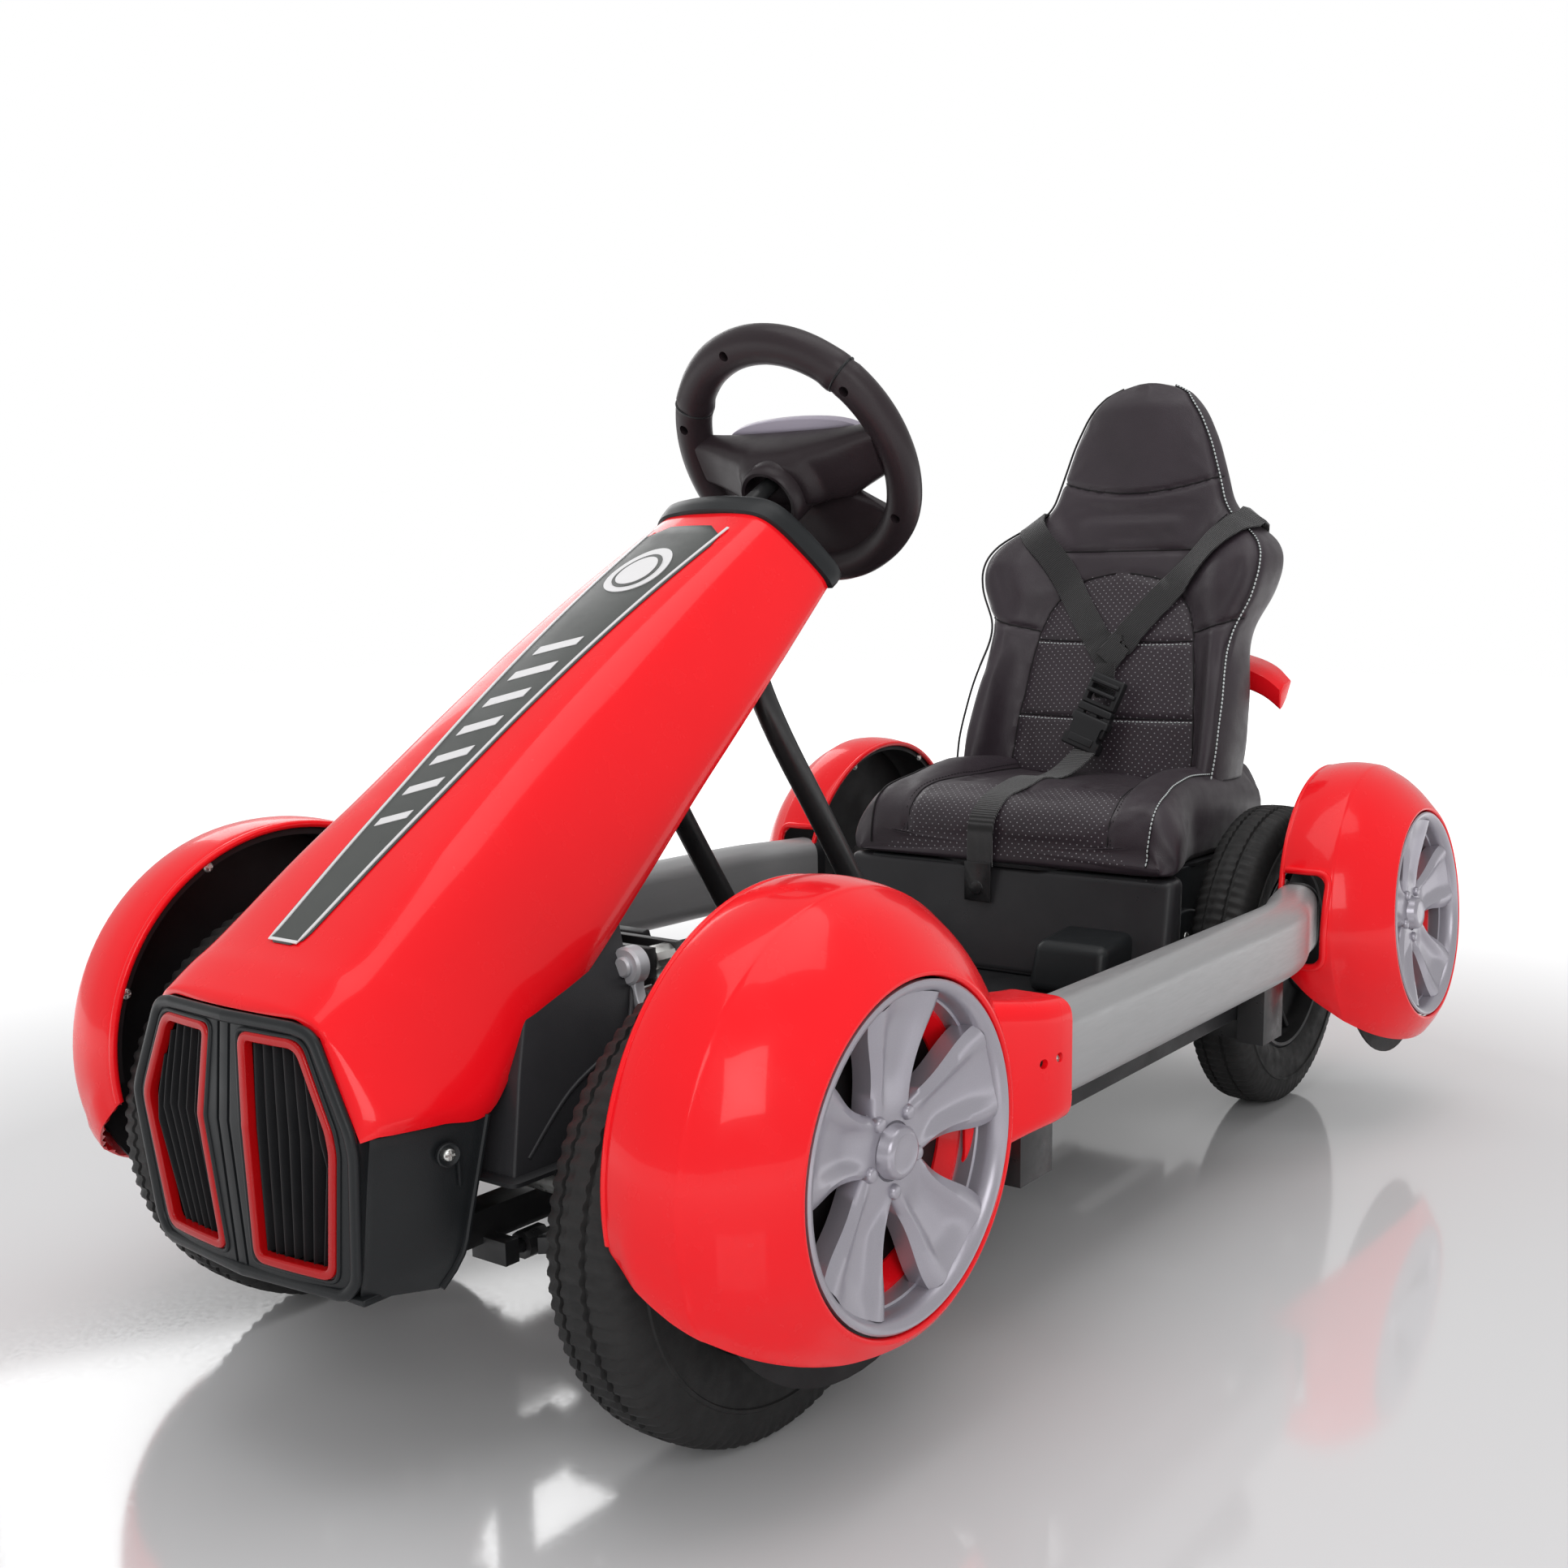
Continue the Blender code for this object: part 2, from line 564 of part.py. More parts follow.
def make_pod(side, rear):
    name = ("rear" if rear else "front") + "_pod_" + side_name(side)
    scale = pod_scale(rear)
    profile = [(z * scale, r * scale) for z, r in pod_profile()]
    pod = revolve(name, profile, RED, 28, pod_frame(side, rear))
    x0 = POD_REAR_X if rear else POD_FRONT_X
    y0 = REAR_AXLE_Y if rear else FRONT_AXLE_Y
    # the lower part is cut away along a plane that falls towards the outside
    cut = [(side * (x0 - 0.05), 0.205), (side * (x0 + 0.15), 0.025), (side * (x0 + 0.15), -0.05),
           (side * (x0 - 0.05), -0.05)]
    pod = combine(pod, [prism("cut", cut, y0 - 0.2, y0 + 0.2, RED)], "DIFFERENCE")
    if rear:
        notch = box("notch", (side * 0.262 - 0.030, 0.255, BAR_Z - 0.040),
                (side * 0.262 + 0.030, 0.315, BAR_Z + 0.040), RED)
        return combine(pod, [notch], "DIFFERENCE")
    # sleeve that wraps the side bar behind the pod
    half_w, half_h = BAR_WIDTH / 2 + 0.0045, BAR_HEIGHT / 2 + 0.0030

    def sleeve(name, grow, y_low, y_high):
        rings = []
        for y in (y_low, -0.205, y_high):
            x = bar_middle_x(y)
            w, h = half_w + grow, half_h + grow
            rings.append([(side * x - w, y, BAR_Z - h), (side * x + w, y, BAR_Z - h),
                          (side * x + w, y, BAR_Z + h), (side * x - w, y, BAR_Z + h)])
        return loft(name, rings, RED)

    pod = combine(pod, [sleeve("sleeve", 0.0035, -0.228, -0.186)])
    return combine(pod, [sleeve("sleeve_hollow", 0.0, -0.246, -0.184)], "DIFFERENCE")


def make_cap(side, rear):
    """Five-spoke trim cap that closes the round opening of a pod."""
    name = ("rear" if rear else "front") + "_cap_" + side_name(side)
    scale = pod_scale(rear)
    frame = pod_frame(side, rear)
    rim = CAP_RADIUS - 0.0005
    profile = [(0.078, 0.0), (0.078, 0.022), (0.070, 0.068), (0.0875, rim - 0.004), (0.0875, rim),
            (0.080, rim),
               (0.064, 0.068), (0.071, 0.0)]
    cap = revolve(name, [(z * scale, r * scale) for z, r in profile], CAP_SILVER, 20, frame)
    windows = []
    for k in range(5):
        middle = 2 * math.pi * (k + 0.5) / 5 + math.pi / 2
        inner, outer = 0.030 * scale, 0.080 * scale
        spread_in, spread_out = 0.30, 0.44
        corners = [(inner, -spread_in), (outer, -spread_out), (outer, spread_out), (inner, spread_in)]
        ring = [(r * math.cos(middle + a), r * math.sin(middle + a)) for r, a in corners]
        windows.append(loft("window", [[frame @ Vector((x, y, z)) for x, y in ring] for z in (0.03, 0.12)],
                CAP_SILVER))
    return combine(cap, windows, "DIFFERENCE")


# ---------------------------------------------------------------- wheels
RIM_STEPS = 14               # facets of a rim; a tyre has twice as many, so the two nest


def wheel_frame(side, rear):
    x = REAR_WHEEL_X if rear else FRONT_WHEEL_X
    y = REAR_AXLE_Y if rear else FRONT_AXLE_Y
    return axis_frame((side * x, y, AXLE_Z), (side, 0, 0))


def make_wheel(side, rear):
    where = ("rear" if rear else "front") + "_"
    frame = wheel_frame(side, rear)
    r = TYRE_RADIUS
    w = TYRE_HALF_WIDTH
    half = [(0.0245, RIM_RADIUS + GAP), (w, 0.100), (w, 0.127), (0.024, 0.1365), (0.009, r)]
    profile = half + [(-z, radius) for z, radius in reversed(half)]
    tyre = revolve(where + "tyre_" + side_name(side), profile, RUBBER, 2 * RIM_STEPS, frame)
    bore = 0.0060 + GAP if rear else 0.0065 + GAP
    rim_profile = [(-0.024, RIM_RADIUS), (0.024, RIM_RADIUS), (0.024, 0.080), (0.006, 0.076),
            (0.006, 0.020),
                   (0.020, 0.018), (0.020, bore), (-0.020, bore), (-0.020, 0.018), (-0.002, 0.020),
                   (-0.002, 0.076), (-0.024, 0.080)]
    rim = revolve(where + "rim_" + side_name(side), rim_profile, BLACK, RIM_STEPS, frame)
    hang(where + "wheel_pivot_" + side_name(side), frame, [tyre, rim])


def make_rear_axle():
    axle = rod("rear_axle", (-0.226, REAR_AXLE_Y, AXLE_Z), (0.226, REAR_AXLE_Y, AXLE_Z), 0.0060, ZINC, 12)
    nuts = []
    for s in (1, -1):
        inner = s * (REAR_WHEEL_X + 0.0205)
        nuts.append(rod("nut", (inner, REAR_AXLE_Y, AXLE_Z), (inner + s * 0.010, REAR_AXLE_Y, AXLE_Z),
                0.011, ZINC, 6))
    return combine(axle, nuts)


def make_gearbox(side):
    """Geared motor that sits on the axle and drives one rear wheel."""
    x_in, x_out = side * 0.088, side * 0.140
    case = box("gearbox_" + side_name(side), (min(x_in, x_out), REAR_AXLE_Y - 0.045, AXLE_Z - 0.040),
               (max(x_in, x_out), REAR_AXLE_Y + 0.050, AXLE_Z + 0.036), BLACK)
    motor_y, motor_z = REAR_AXLE_Y + 0.030, AXLE_Z + 0.014
    motor = rod("motor", (side * 0.0625, motor_y, motor_z), (side * 0.090, motor_y, motor_z), 0.018, ZINC,
            14)
    sleeve = rod("sleeve", (side * 0.138, REAR_AXLE_Y, AXLE_Z), (side * 0.158, REAR_AXLE_Y, AXLE_Z), 0.012,
            BLACK, 14)
    bore = rod("bore", (side * 0.05, REAR_AXLE_Y, AXLE_Z), (side * 0.2, REAR_AXLE_Y, AXLE_Z), 0.0060 + GAP,
            BLACK, 14)
    case = combine(case, [motor, sleeve])
    return combine(case, [bore], "DIFFERENCE")


# ---------------------------------------------------------------- front suspension and steering
def make_lower_arm(side):
    """A-shaped arm that swings on the frame's hinge rod and carries the kingpin."""
    x_in, x_out = side * ARM_PIVOT_X, side * KINGPIN_X
    eyes, legs = [], []
    for s in (1, -1):
        y = FRONT_AXLE_Y + s * 0.060
        eyes.append(rod("eye", (x_in, y - 0.008, ARM_Z), (x_in, y + 0.008, ARM_Z), 0.0085, STEEL_BLACK, 10))
        legs.append(square_tube("leg", (x_in + side * 0.006, y, ARM_Z),
                (x_out, FRONT_AXLE_Y + s * 0.006, ARM_Z), 0.010,
                                STEEL_BLACK))
    pad = rod("pad", (x_out, FRONT_AXLE_Y, ARM_Z - 0.006), (x_out, FRONT_AXLE_Y, ARM_Z + 0.006), 0.013,
            STEEL_BLACK, 12)
    pin = rod("kingpin", (x_out, FRONT_AXLE_Y, ARM_Z), (x_out, FRONT_AXLE_Y, 0.170), 0.0050, STEEL_BLACK, 8)
    foot_x = side * SHOCK_FOOT.x
    ears = []
    for y in (SHOCK_Y - 0.0145, SHOCK_Y + 0.0085):
        x0, x1 = sorted((foot_x - 0.007, foot_x + 0.007))
        ears.append(box("ear", (x0, y, ARM_Z - 0.003), (x1, y + 0.006, SHOCK_FOOT.z + 0.007), STEEL_BLACK))
    bridge = box("bridge", (foot_x - 0.007, SHOCK_Y - 0.0145, ARM_Z - 0.004),
            (foot_x + 0.007, SHOCK_Y + 0.0145, ARM_Z + 0.004),
                 STEEL_BLACK)
    pivot = rod("pivot", (foot_x, SHOCK_Y - 0.012, SHOCK_FOOT.z), (foot_x, SHOCK_Y + 0.012, SHOCK_FOOT.z),
            0.003,
                STEEL_BLACK, 8)
    arm = combine(eyes[0], [eyes[1]] + legs + [pad, pin, bridge] + ears + [pivot])
    arm.name = arm.data.name = "lower_arm_" + side_name(side)
    bore = rod("bore", (x_in, FRONT_AXLE_Y - 0.1, ARM_Z), (x_in, FRONT_AXLE_Y + 0.1, ARM_Z), 0.0044,
            STEEL_BLACK, 12)
    arm = combine(arm, [bore], "DIFFERENCE")
    hang("arm_pivot_" + side_name(side), axis_frame((x_in, FRONT_AXLE_Y, ARM_Z), (0, 1, 0)), [arm])


def make_knuckle(side):
    """Steering knuckle: sleeve on the kingpin, stub axle and steering arm."""
    x = side * KINGPIN_X
    sleeve = rod("knuckle_" + side_name(side), (x, FRONT_AXLE_Y, ARM_Z + 0.0065), (x, FRONT_AXLE_Y, 0.164),
            0.0105, ZINC, 12)
    tyre_face = FRONT_WHEEL_X - 0.020
    collar = rod("collar", (x, FRONT_AXLE_Y, AXLE_Z), (side * (tyre_face - GAP), FRONT_AXLE_Y, AXLE_Z),
            0.0100, ZINC, 10)
    stub = rod("stub", (x, FRONT_AXLE_Y, AXLE_Z), (side * (FRONT_WHEEL_X + 0.030), FRONT_AXLE_Y, AXLE_Z),
            0.0065, ZINC, 12)
    nut_x = side * (FRONT_WHEEL_X + 0.020 + GAP)
    nut = rod("nut", (nut_x, FRONT_AXLE_Y, AXLE_Z), (nut_x + side * 0.007, FRONT_AXLE_Y, AXLE_Z), 0.011,
            ZINC, 6)
    arm = box("arm", (x - 0.006, TIE_Y - 0.006, TIE_Z - 0.012), (x + 0.006, FRONT_AXLE_Y, TIE_Z - 0.006),
            ZINC)
    pin = rod("pin", (x, TIE_Y, TIE_Z - 0.010), (x, TIE_Y, TIE_Z + 0.009), 0.0030, ZINC, 8)
    knuckle = combine(sleeve, [collar, stub, nut, arm, pin])
    bore = rod("bore", (x, FRONT_AXLE_Y, ARM_Z), (x, FRONT_AXLE_Y, 0.2), 0.0054, ZINC, 12)
    knuckle = combine(knuckle, [bore], "DIFFERENCE")
    hang("kingpin_axis_" + side_name(side), axis_frame((x, FRONT_AXLE_Y, AXLE_Z), (0, 0, 1)), [knuckle])


def make_tie_rod(side):
    x = side * KINGPIN_X
    eye = rod("tie_rod_" + side_name(side), (x, TIE_Y, TIE_Z - 0.005), (x, TIE_Y, TIE_Z + 0.005), 0.0080,
            ZINC, 12)
    bar = rod("bar", (x, TIE_Y, TIE_Z), (side * 0.0125, TIE_Y, TIE_Z), 0.0040, ZINC, 8)
    sleeve = rod("sleeve", (side * 0.128, TIE_Y, TIE_Z), (side * 0.088, TIE_Y, TIE_Z), 0.0085, ZINC, 10)
    tie = combine(eye, [bar, sleeve])
    bore = rod("bore", (x, TIE_Y, TIE_Z - 0.02), (x, TIE_Y, TIE_Z + 0.02), 0.0035, ZINC, 10)
    tie = combine(tie, [bore], "DIFFERENCE")
    hang("tie_axis_" + side_name(side), axis_frame((x, TIE_Y, TIE_Z), (0, 0, 1)), [tie])


def make_shock(side):
    """Coil-over shock absorber: body above, rod below, coil around both."""
    top = Vector((side * SHOCK_TOP.x, SHOCK_TOP.y, SHOCK_TOP.z))
    foot = Vector((side * SHOCK_FOOT.x, SHOCK_FOOT.y, SHOCK_FOOT.z))
    down = (foot - top).normalized()
    length = (foot - top).length
    frame = axis_frame(top, down)

    def turned(name, profile, mat, steps=12):
        return revolve(name, profile, mat, steps, frame)

    def eye(name, centre):
        return rod(name, centre + Vector((0, -0.0080, 0)), centre + Vector((0, 0.0080, 0)), 0.0075, ZINC,
                10)

    def bore(centre, radius):
        return rod("bore", centre + Vector((0, -0.02, 0)), centre + Vector((0, 0.02, 0)), radius, ZINC, 10)

    body = combine(eye("shock_body_" + side_name(side), top), [
        turned("barrel", [(0.004, 0.0), (0.004, 0.0060), (0.016, 0.0060), (0.018, 0.0145), (0.021, 0.0145),
                          (0.022, 0.0070), (0.072, 0.0070), (0.072, 0.0)], ZINC)])
    body = combine(body, [bore(top, 0.0034),
                          turned("cylinder", [(0.026, 0.0), (0.026, 0.0040), (0.080, 0.0040),
                          (0.080, 0.0)], ZINC, 12)],
                   "DIFFERENCE")
    shaft = combine(eye("shock_rod_" + side_name(side), foot), [
        turned("shaft", [(0.042, 0.0), (0.042, 0.0035), (length - 0.030, 0.0035), (length - 0.029, 0.0145),
                         (length - 0.026, 0.0145), (length - 0.024, 0.0060), (length - 0.004, 0.0060),
                         (length - 0.004, 0.0)], ZINC, 12)])
    shaft = combine(shaft, [bore(foot, 0.0042)], "DIFFERENCE")
    turns, coil_radius, wire = 5.0, 0.0115, 0.0022
    z_low, z_high = 0.0215 + wire, length - 0.0295 - wire
    steps = int(turns * 7)
    points = []
    for i in range(steps + 1):
        angle = 2 * math.pi * turns * i / steps
        local = Vector((coil_radius * math.cos(angle), coil_radius * math.sin(angle),
                z_low + (z_high - z_low) * i / steps))
        points.append(frame @ local)
    coil = bent_tube("shock_spring_" + side_name(side), points, wire, SPRING_RED, sides=4)
    hang("shock_axis_" + side_name(side), axis_frame(top, (0, 1, 0)), [body, shaft, coil])


def make_steering():
    local = Matrix((Vector((1, 0, 0)), Vector((0, -math.sin(COLUMN_ANGLE), math.cos(COLUMN_ANGLE))),
            COLUMN_DIR))
    frame = local.transposed().to_4x4()
    frame.translation = WHEEL_CENTRE
    rim_radius, grip = 0.0890, 0.0145
    circle = [2 * math.pi * (k + 0.5) / 6 for k in range(6)]
    rim = revolve("steering_wheel", [(grip * math.sin(a), rim_radius + grip * math.cos(a))
            for a in circle], BLACK, 24, frame)
    # spokes: two at the sides and one below, dished away from the driver
    hub = revolve("hub", [(-0.010, 0.0), (-0.010, 0.030), (0.012, 0.036), (0.030, 0.024), (0.052, 0.014),
            (0.052, 0.0)],
                  BLACK, 18, frame)
    spokes = []
    for low, high in (((-0.084, -0.018, -0.008), (-0.020, 0.024, 0.010)),
            ((0.020, -0.018, -0.008), (0.084, 0.024, 0.010)),
                      ((-0.014, -0.084, -0.007), (0.014, -0.020, 0.009))):
        spokes.append(box("spoke", low, high, BLACK, frame))
    wheel = combine(rim, [hub] + spokes)
    recess = revolve("recess", [(-0.020, 0.0), (-0.020, 0.0203), (-0.003, 0.0203), (-0.003, 0.0)], BLACK,
            20, frame)
    column_seat = revolve("column_seat", [(0.010, 0.0), (0.010, 0.0063), (0.060, 0.0063), (0.060, 0.0)],
            BLACK, 12, frame)
    wheel = combine(wheel, [recess, column_seat], "DIFFERENCE")
    button = revolve("horn_button", [(-0.0155, 0.0), (-0.0150, 0.014), (-0.0130, 0.0190),
            (-0.0052, 0.0195), (-0.0052, 0.0)],
                     PAD_GREY, 20, frame)
    joint = (JOINT_POINT - WHEEL_CENTRE).length
    column = revolve("steering_column", [(0.0103, 0.0), (0.0103, 0.0060), (joint - 0.012, 0.0060),
            (joint - 0.010, 0.0095),
                                         (joint - 0.007, 0.0095), (joint - 0.007, 0.0)], STEEL_BLACK, 12,
                                         frame)
    ears = []
    for s in (1, -1):
        x0, x1 = sorted((s * 0.0066, s * 0.0095))
        ears.append(box("ear", (x0, -0.0035, joint - 0.009), (x1, 0.0035, joint + 0.003), STEEL_BLACK,
                frame))
    column = combine(column, ears)
    hang("steering_axis", frame, [wheel, column])
    hang("horn_axis", frame, [button])


def make_lower_shaft():
    frame = axis_frame(JOINT_POINT, SHAFT_DIR)
    length = (SHAFT_FOOT - JOINT_POINT).length
    shaft = revolve("lower_steering_shaft", [(-0.0040, 0.0), (-0.0035, 0.0030), (0.0, 0.0048),
            (0.0035, 0.0040),
                                             (0.012, 0.0045), (length, 0.0060), (length + 0.004, 0.0060),
                                             (length + 0.004, 0.0)], STEEL_BLACK, 12, frame)
    forward = Vector((0, SHAFT_DIR.z, -SHAFT_DIR.y))
    pin_top = SHAFT_FOOT + forward * PITMAN_LENGTH
    pitman = square_tube("pitman", SHAFT_FOOT - forward * 0.004, pin_top + forward * 0.005, 0.008,
            STEEL_BLACK)
    pin = rod("pin", pin_top, pin_top + SHAFT_DIR * 0.026, 0.0030, STEEL_BLACK, 8)
    shaft = combine(shaft, [pitman, pin])
    hang("lower_shaft_axis", frame, [shaft])


# ---------------------------------------------------------------- seat, harness and controls
def seat_front_y(z):
    """Front surface of the backrest at its middle."""
    levels = [(0.300, 0.425), (0.357, 0.438), (0.431, 0.457), (0.552, 0.500), (0.589, 0.506),
            (0.685, 0.517)]
    for (z0, y0), (z1, y1) in zip(levels, levels[1:]):
        if z <= z1:
            return y0 + (y1 - y0) * (z - z0) / (z1 - z0)
    return levels[-1][1]


def make_seat():
    def ring(half, front, back, z, corner=0.016):
        return [(-half, front + corner, z), (-half + corner, front, z), (half - corner, front, z),
                (half, front + corner, z),
                (half, back - corner, z), (half - corner, back, z), (-half + corner, back, z),
                (-half, back - corner, z)]

    w = SEAT_HALF_WIDTH
    loft("seat_cushion", [ring(w - 0.004, 0.252, 0.500, 0.2320), ring(w, 0.244, 0.502, 0.245),
            ring(w, 0.246, 0.502, 0.275),
                          ring(w - 0.014, 0.262, 0.498, 0.2970)], LEATHER)
    outline = [(0.2975, 0.138), (0.330, 0.143), (0.400, 0.142), (0.440, 0.142), (0.478, 0.150),
            (0.510, 0.156),
               (0.536, 0.148), (0.553, 0.104), (0.600, 0.088), (0.645, 0.068), (0.672, 0.050),
               (0.685, 0.028)]
    rings = []
    for z, half in outline:
        front = seat_front_y(max(z, 0.300))
        rings.append(ring(half, front, front + (0.052 if z < 0.54 else 0.042), z, 0.010))
    loft("seat_back", rings, LEATHER)


def make_seat_base():
    def ring(half, front, back, z):
        return [(-half, front, z), (half, front, z), (half, back, z), (-half, back, z)]

    w = SEAT_HALF_WIDTH
    low = FLOOR_TOP + GAP
    base = loft("seat_base", [ring(w + 0.002, 0.226, 0.515, low), ring(w + 0.001, 0.236, 0.515, 0.170),
                              ring(w - 0.002, 0.250, 0.512, 0.2315)], BLACK)
    hollow = loft("hollow", [ring(w - 0.002, 0.230, 0.511, low - 0.01),
            ring(w - 0.003, 0.240, 0.511, 0.170),
                             ring(w - 0.006, 0.254, 0.508, 0.2275)], BLACK)
    axle_slot = box("axle_slot", (-0.2, REAR_AXLE_Y - 0.016, 0.10),
            (0.2, REAR_AXLE_Y + 0.016, AXLE_Z + 0.016), BLACK)
    pan_slot = box("pan_slot", (-0.2, 0.205, 0.10), (0.2, 0.2625, FLOOR_TOP + GAP), BLACK)
    return combine(base, [hollow, axle_slot, pan_slot], "DIFFERENCE")


def make_under_tray():
    tray = box("under_tray", (-0.150, 0.090, 0.064), (0.150, 0.205, RAIL_Z - 0.010 - GAP), BLACK)
    return combine(tray, [box("hollow", (-0.145, 0.095, 0.069), (0.145, 0.200, 0.2), BLACK)], "DIFFERENCE")


def make_rear_fairing():
    """Red panel behind the seat, with a short wing that droops at its tips."""
    panel = box("rear_fairing", (-0.150, 0.5205, 0.150), (0.150, 0.5285, 0.392), RED)
    sections = []
    for x, z, chord in ((-0.186, 0.366, 0.030), (-0.150, 0.392, 0.042), (-0.080, 0.400, 0.044),
            (0.080, 0.400, 0.044),
                        (0.150, 0.392, 0.042), (0.186, 0.366, 0.030)):
        sections.append([(x, 0.5135, z - 0.006), (x, 0.5135, z + 0.006), (x, 0.5135 + chord, z + 0.010),
                         (x, 0.5135 + chord, z + 0.004)])
    return combine(panel, [loft("wing", sections, RED)])


def ribbon(name, points, width, thickness, mat):
    """Flat strap along points given as (position, width direction)."""
    rings = []
    for i, (point, across) in enumerate(points):
        point, across = Vector(point), Vector(across).normalized()
        ahead = Vector(points[min(i + 1, len(points) - 1)][0])
        behind = Vector(points[max(i - 1, 0)][0])
        normal = (ahead - behind).normalized().cross(across).normalized()
        a, n = across * width / 2, normal * thickness / 2
        rings.append([point - a - n, point + a - n, point + a + n, point - a + n])
    return loft(name, rings, mat)


def make_harness():
    for side, lift in ((1, 0.0125), (-1, 0.0070)):
        across = Vector((0.58, 0.0, side * 0.81))
        points = []
        for x, z in ((0.128, 0.538), (0.096, 0.508), (0.060, 0.474), (0.028, 0.445), (0.010, 0.430)):
            points.append(((side * x, seat_front_y(z) - lift, z), across))
        ribbon("shoulder_strap_" + side_name(side), points, 0.024, 0.0018, WEBBING)
    front = seat_front_y(0.36)
    buckle = box("harness_buckle", (-0.019, front - 0.030, 0.330), (0.019, front - 0.018, 0.388), BLACK)
    combine(buckle, [box("tongue", (-0.010, front - 0.027, 0.380), (0.010, front - 0.021, 0.408), BLACK)])
    across = Vector((1, 0, 0))
    points = [((-0.004, front - 0.024, 0.3285), across), ((-0.008, 0.385, 0.303), across),
            ((-0.014, 0.300, 0.3005), across),
              ((-0.018, 0.258, 0.2995), across), ((-0.020, 0.2405, 0.286), across),
              ((-0.020, 0.2395, 0.250), across),
              ((-0.020, 0.2410, 0.236), across)]
    ribbon("crotch_strap", points, 0.026, 0.0018, WEBBING)
    anchor_y = 0.2465
    anchor = box("strap_anchor", (-0.034, anchor_y - 0.0095, 0.198), (-0.006, anchor_y - 0.0065, 0.234),
            STEEL_BLACK)
    combine(anchor, [rod("bolt", (-0.020, anchor_y - 0.0115, 0.210), (-0.020, anchor_y - 0.008, 0.210),
            0.006, ZINC, 10)])


def make_controls(switch_point):
    rocker = box("direction_switch", (-0.0075, -0.0060, -0.008), (0.0075, 0.0060, 0.0085), BLACK,
                 Matrix.Translation(switch_point))
    hang("switch_axis", axis_frame(switch_point, (1, 0, 0)), [rocker])
    hinge = Vector((-0.115, -0.105, FLOOR_TOP + 0.010))
    outline = [(-0.006, -0.005), (0.006, -0.005), (0.006, 0.006), (-0.020, 0.080), (-0.028, 0.078),
            (-0.006, 0.004)]
    rings = [[(hinge.x + x, hinge.y + y, hinge.z + z) for y, z in outline] for x in (-0.028, 0.028)]
    hang("pedal_axis", axis_frame(hinge, (1, 0, 0)), [loft("accelerator_pedal", rings, BLACK)])


def build():
    make_main_frame()
    make_floor_pan()
    make_cowl()
    make_bumper()
    make_grille_insert()
    _, switch_point = make_collar()
    make_inner_cover()
    make_column_hoop()
    make_rear_axle()
    for side in (1, -1):
        make_side_bar(side)
        make_grille_trim(side)
        make_lower_arm(side)
        make_knuckle(side)
        make_tie_rod(side)
        make_shock(side)
        make_gearbox(side)
        for rear in (False, True):
            make_pod(side, rear)
            make_cap(side, rear)
            make_wheel(side, rear)
    make_steering()
    make_lower_shaft()
    make_seat()
    make_seat_base()
    make_under_tray()
    make_rear_fairing()
    box("battery", (-0.0755, 0.266, 0.1380), (0.0755, 0.360, 0.2030), BLACK)
    make_harness()
    make_controls(switch_point)


build()
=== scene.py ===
"""Looks of the child's electric ride-on kart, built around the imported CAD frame.

Units are metres, +Z is up, the kart drives towards -Y and its left side is +X.
"""

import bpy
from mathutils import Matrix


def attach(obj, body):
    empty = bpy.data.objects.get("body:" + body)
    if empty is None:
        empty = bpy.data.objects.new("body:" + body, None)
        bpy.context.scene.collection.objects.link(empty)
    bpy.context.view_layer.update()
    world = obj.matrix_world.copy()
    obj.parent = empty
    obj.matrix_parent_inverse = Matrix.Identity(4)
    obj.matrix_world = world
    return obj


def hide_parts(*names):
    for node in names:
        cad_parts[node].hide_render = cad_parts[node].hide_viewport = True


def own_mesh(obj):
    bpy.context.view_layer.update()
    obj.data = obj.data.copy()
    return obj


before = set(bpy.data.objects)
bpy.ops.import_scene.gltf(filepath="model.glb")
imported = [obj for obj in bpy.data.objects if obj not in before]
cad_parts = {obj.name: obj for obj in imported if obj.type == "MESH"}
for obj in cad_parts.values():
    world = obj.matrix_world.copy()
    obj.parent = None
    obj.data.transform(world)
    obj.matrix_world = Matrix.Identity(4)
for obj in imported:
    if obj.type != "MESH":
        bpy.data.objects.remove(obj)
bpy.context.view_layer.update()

import math

import bmesh
import bpy
from mathutils import Matrix, Vector
from mathutils.bvhtree import BVHTree

SIDES = ((1, "left"), (-1, "right"))
ENDS = ("front", "rear")
AXLE_Y = {"front": -0.340, "rear": 0.420}


# ---------------------------------------------------------------- material helpers
def principled(name, colour, roughness, metallic=0.0, **sockets):
    """New material whose Principled BSDF holds the given constants."""
    mat = bpy.data.materials.new(name)
    mat.use_nodes = True
    shader = mat.node_tree.nodes["Principled BSDF"]
    shader.inputs["Base Color"].default_value = (*colour, 1.0)
    shader.inputs["Roughness"].default_value = roughness
    shader.inputs["Metallic"].default_value = metallic
    for key, value in sockets.items():
        shader.inputs[key.replace("_", " ")].default_value = value
    mat.diffuse_color = (*colour, 1.0)
    return mat


def shader_of(mat):
    return mat.node_tree.nodes["Principled BSDF"]


def add_node(tree_owner, kind, **inputs):
    """New node in a material or a world, with constants for some of its inputs."""
    node = tree_owner.node_tree.nodes.new(kind)
    for key, value in inputs.items():
        node.inputs[key.replace("_", " ")].default_value = value
    return node


def wire(tree_owner, output, socket):
    """Link two sockets of a material or a world."""
    tree_owner.node_tree.links.new(output, socket)


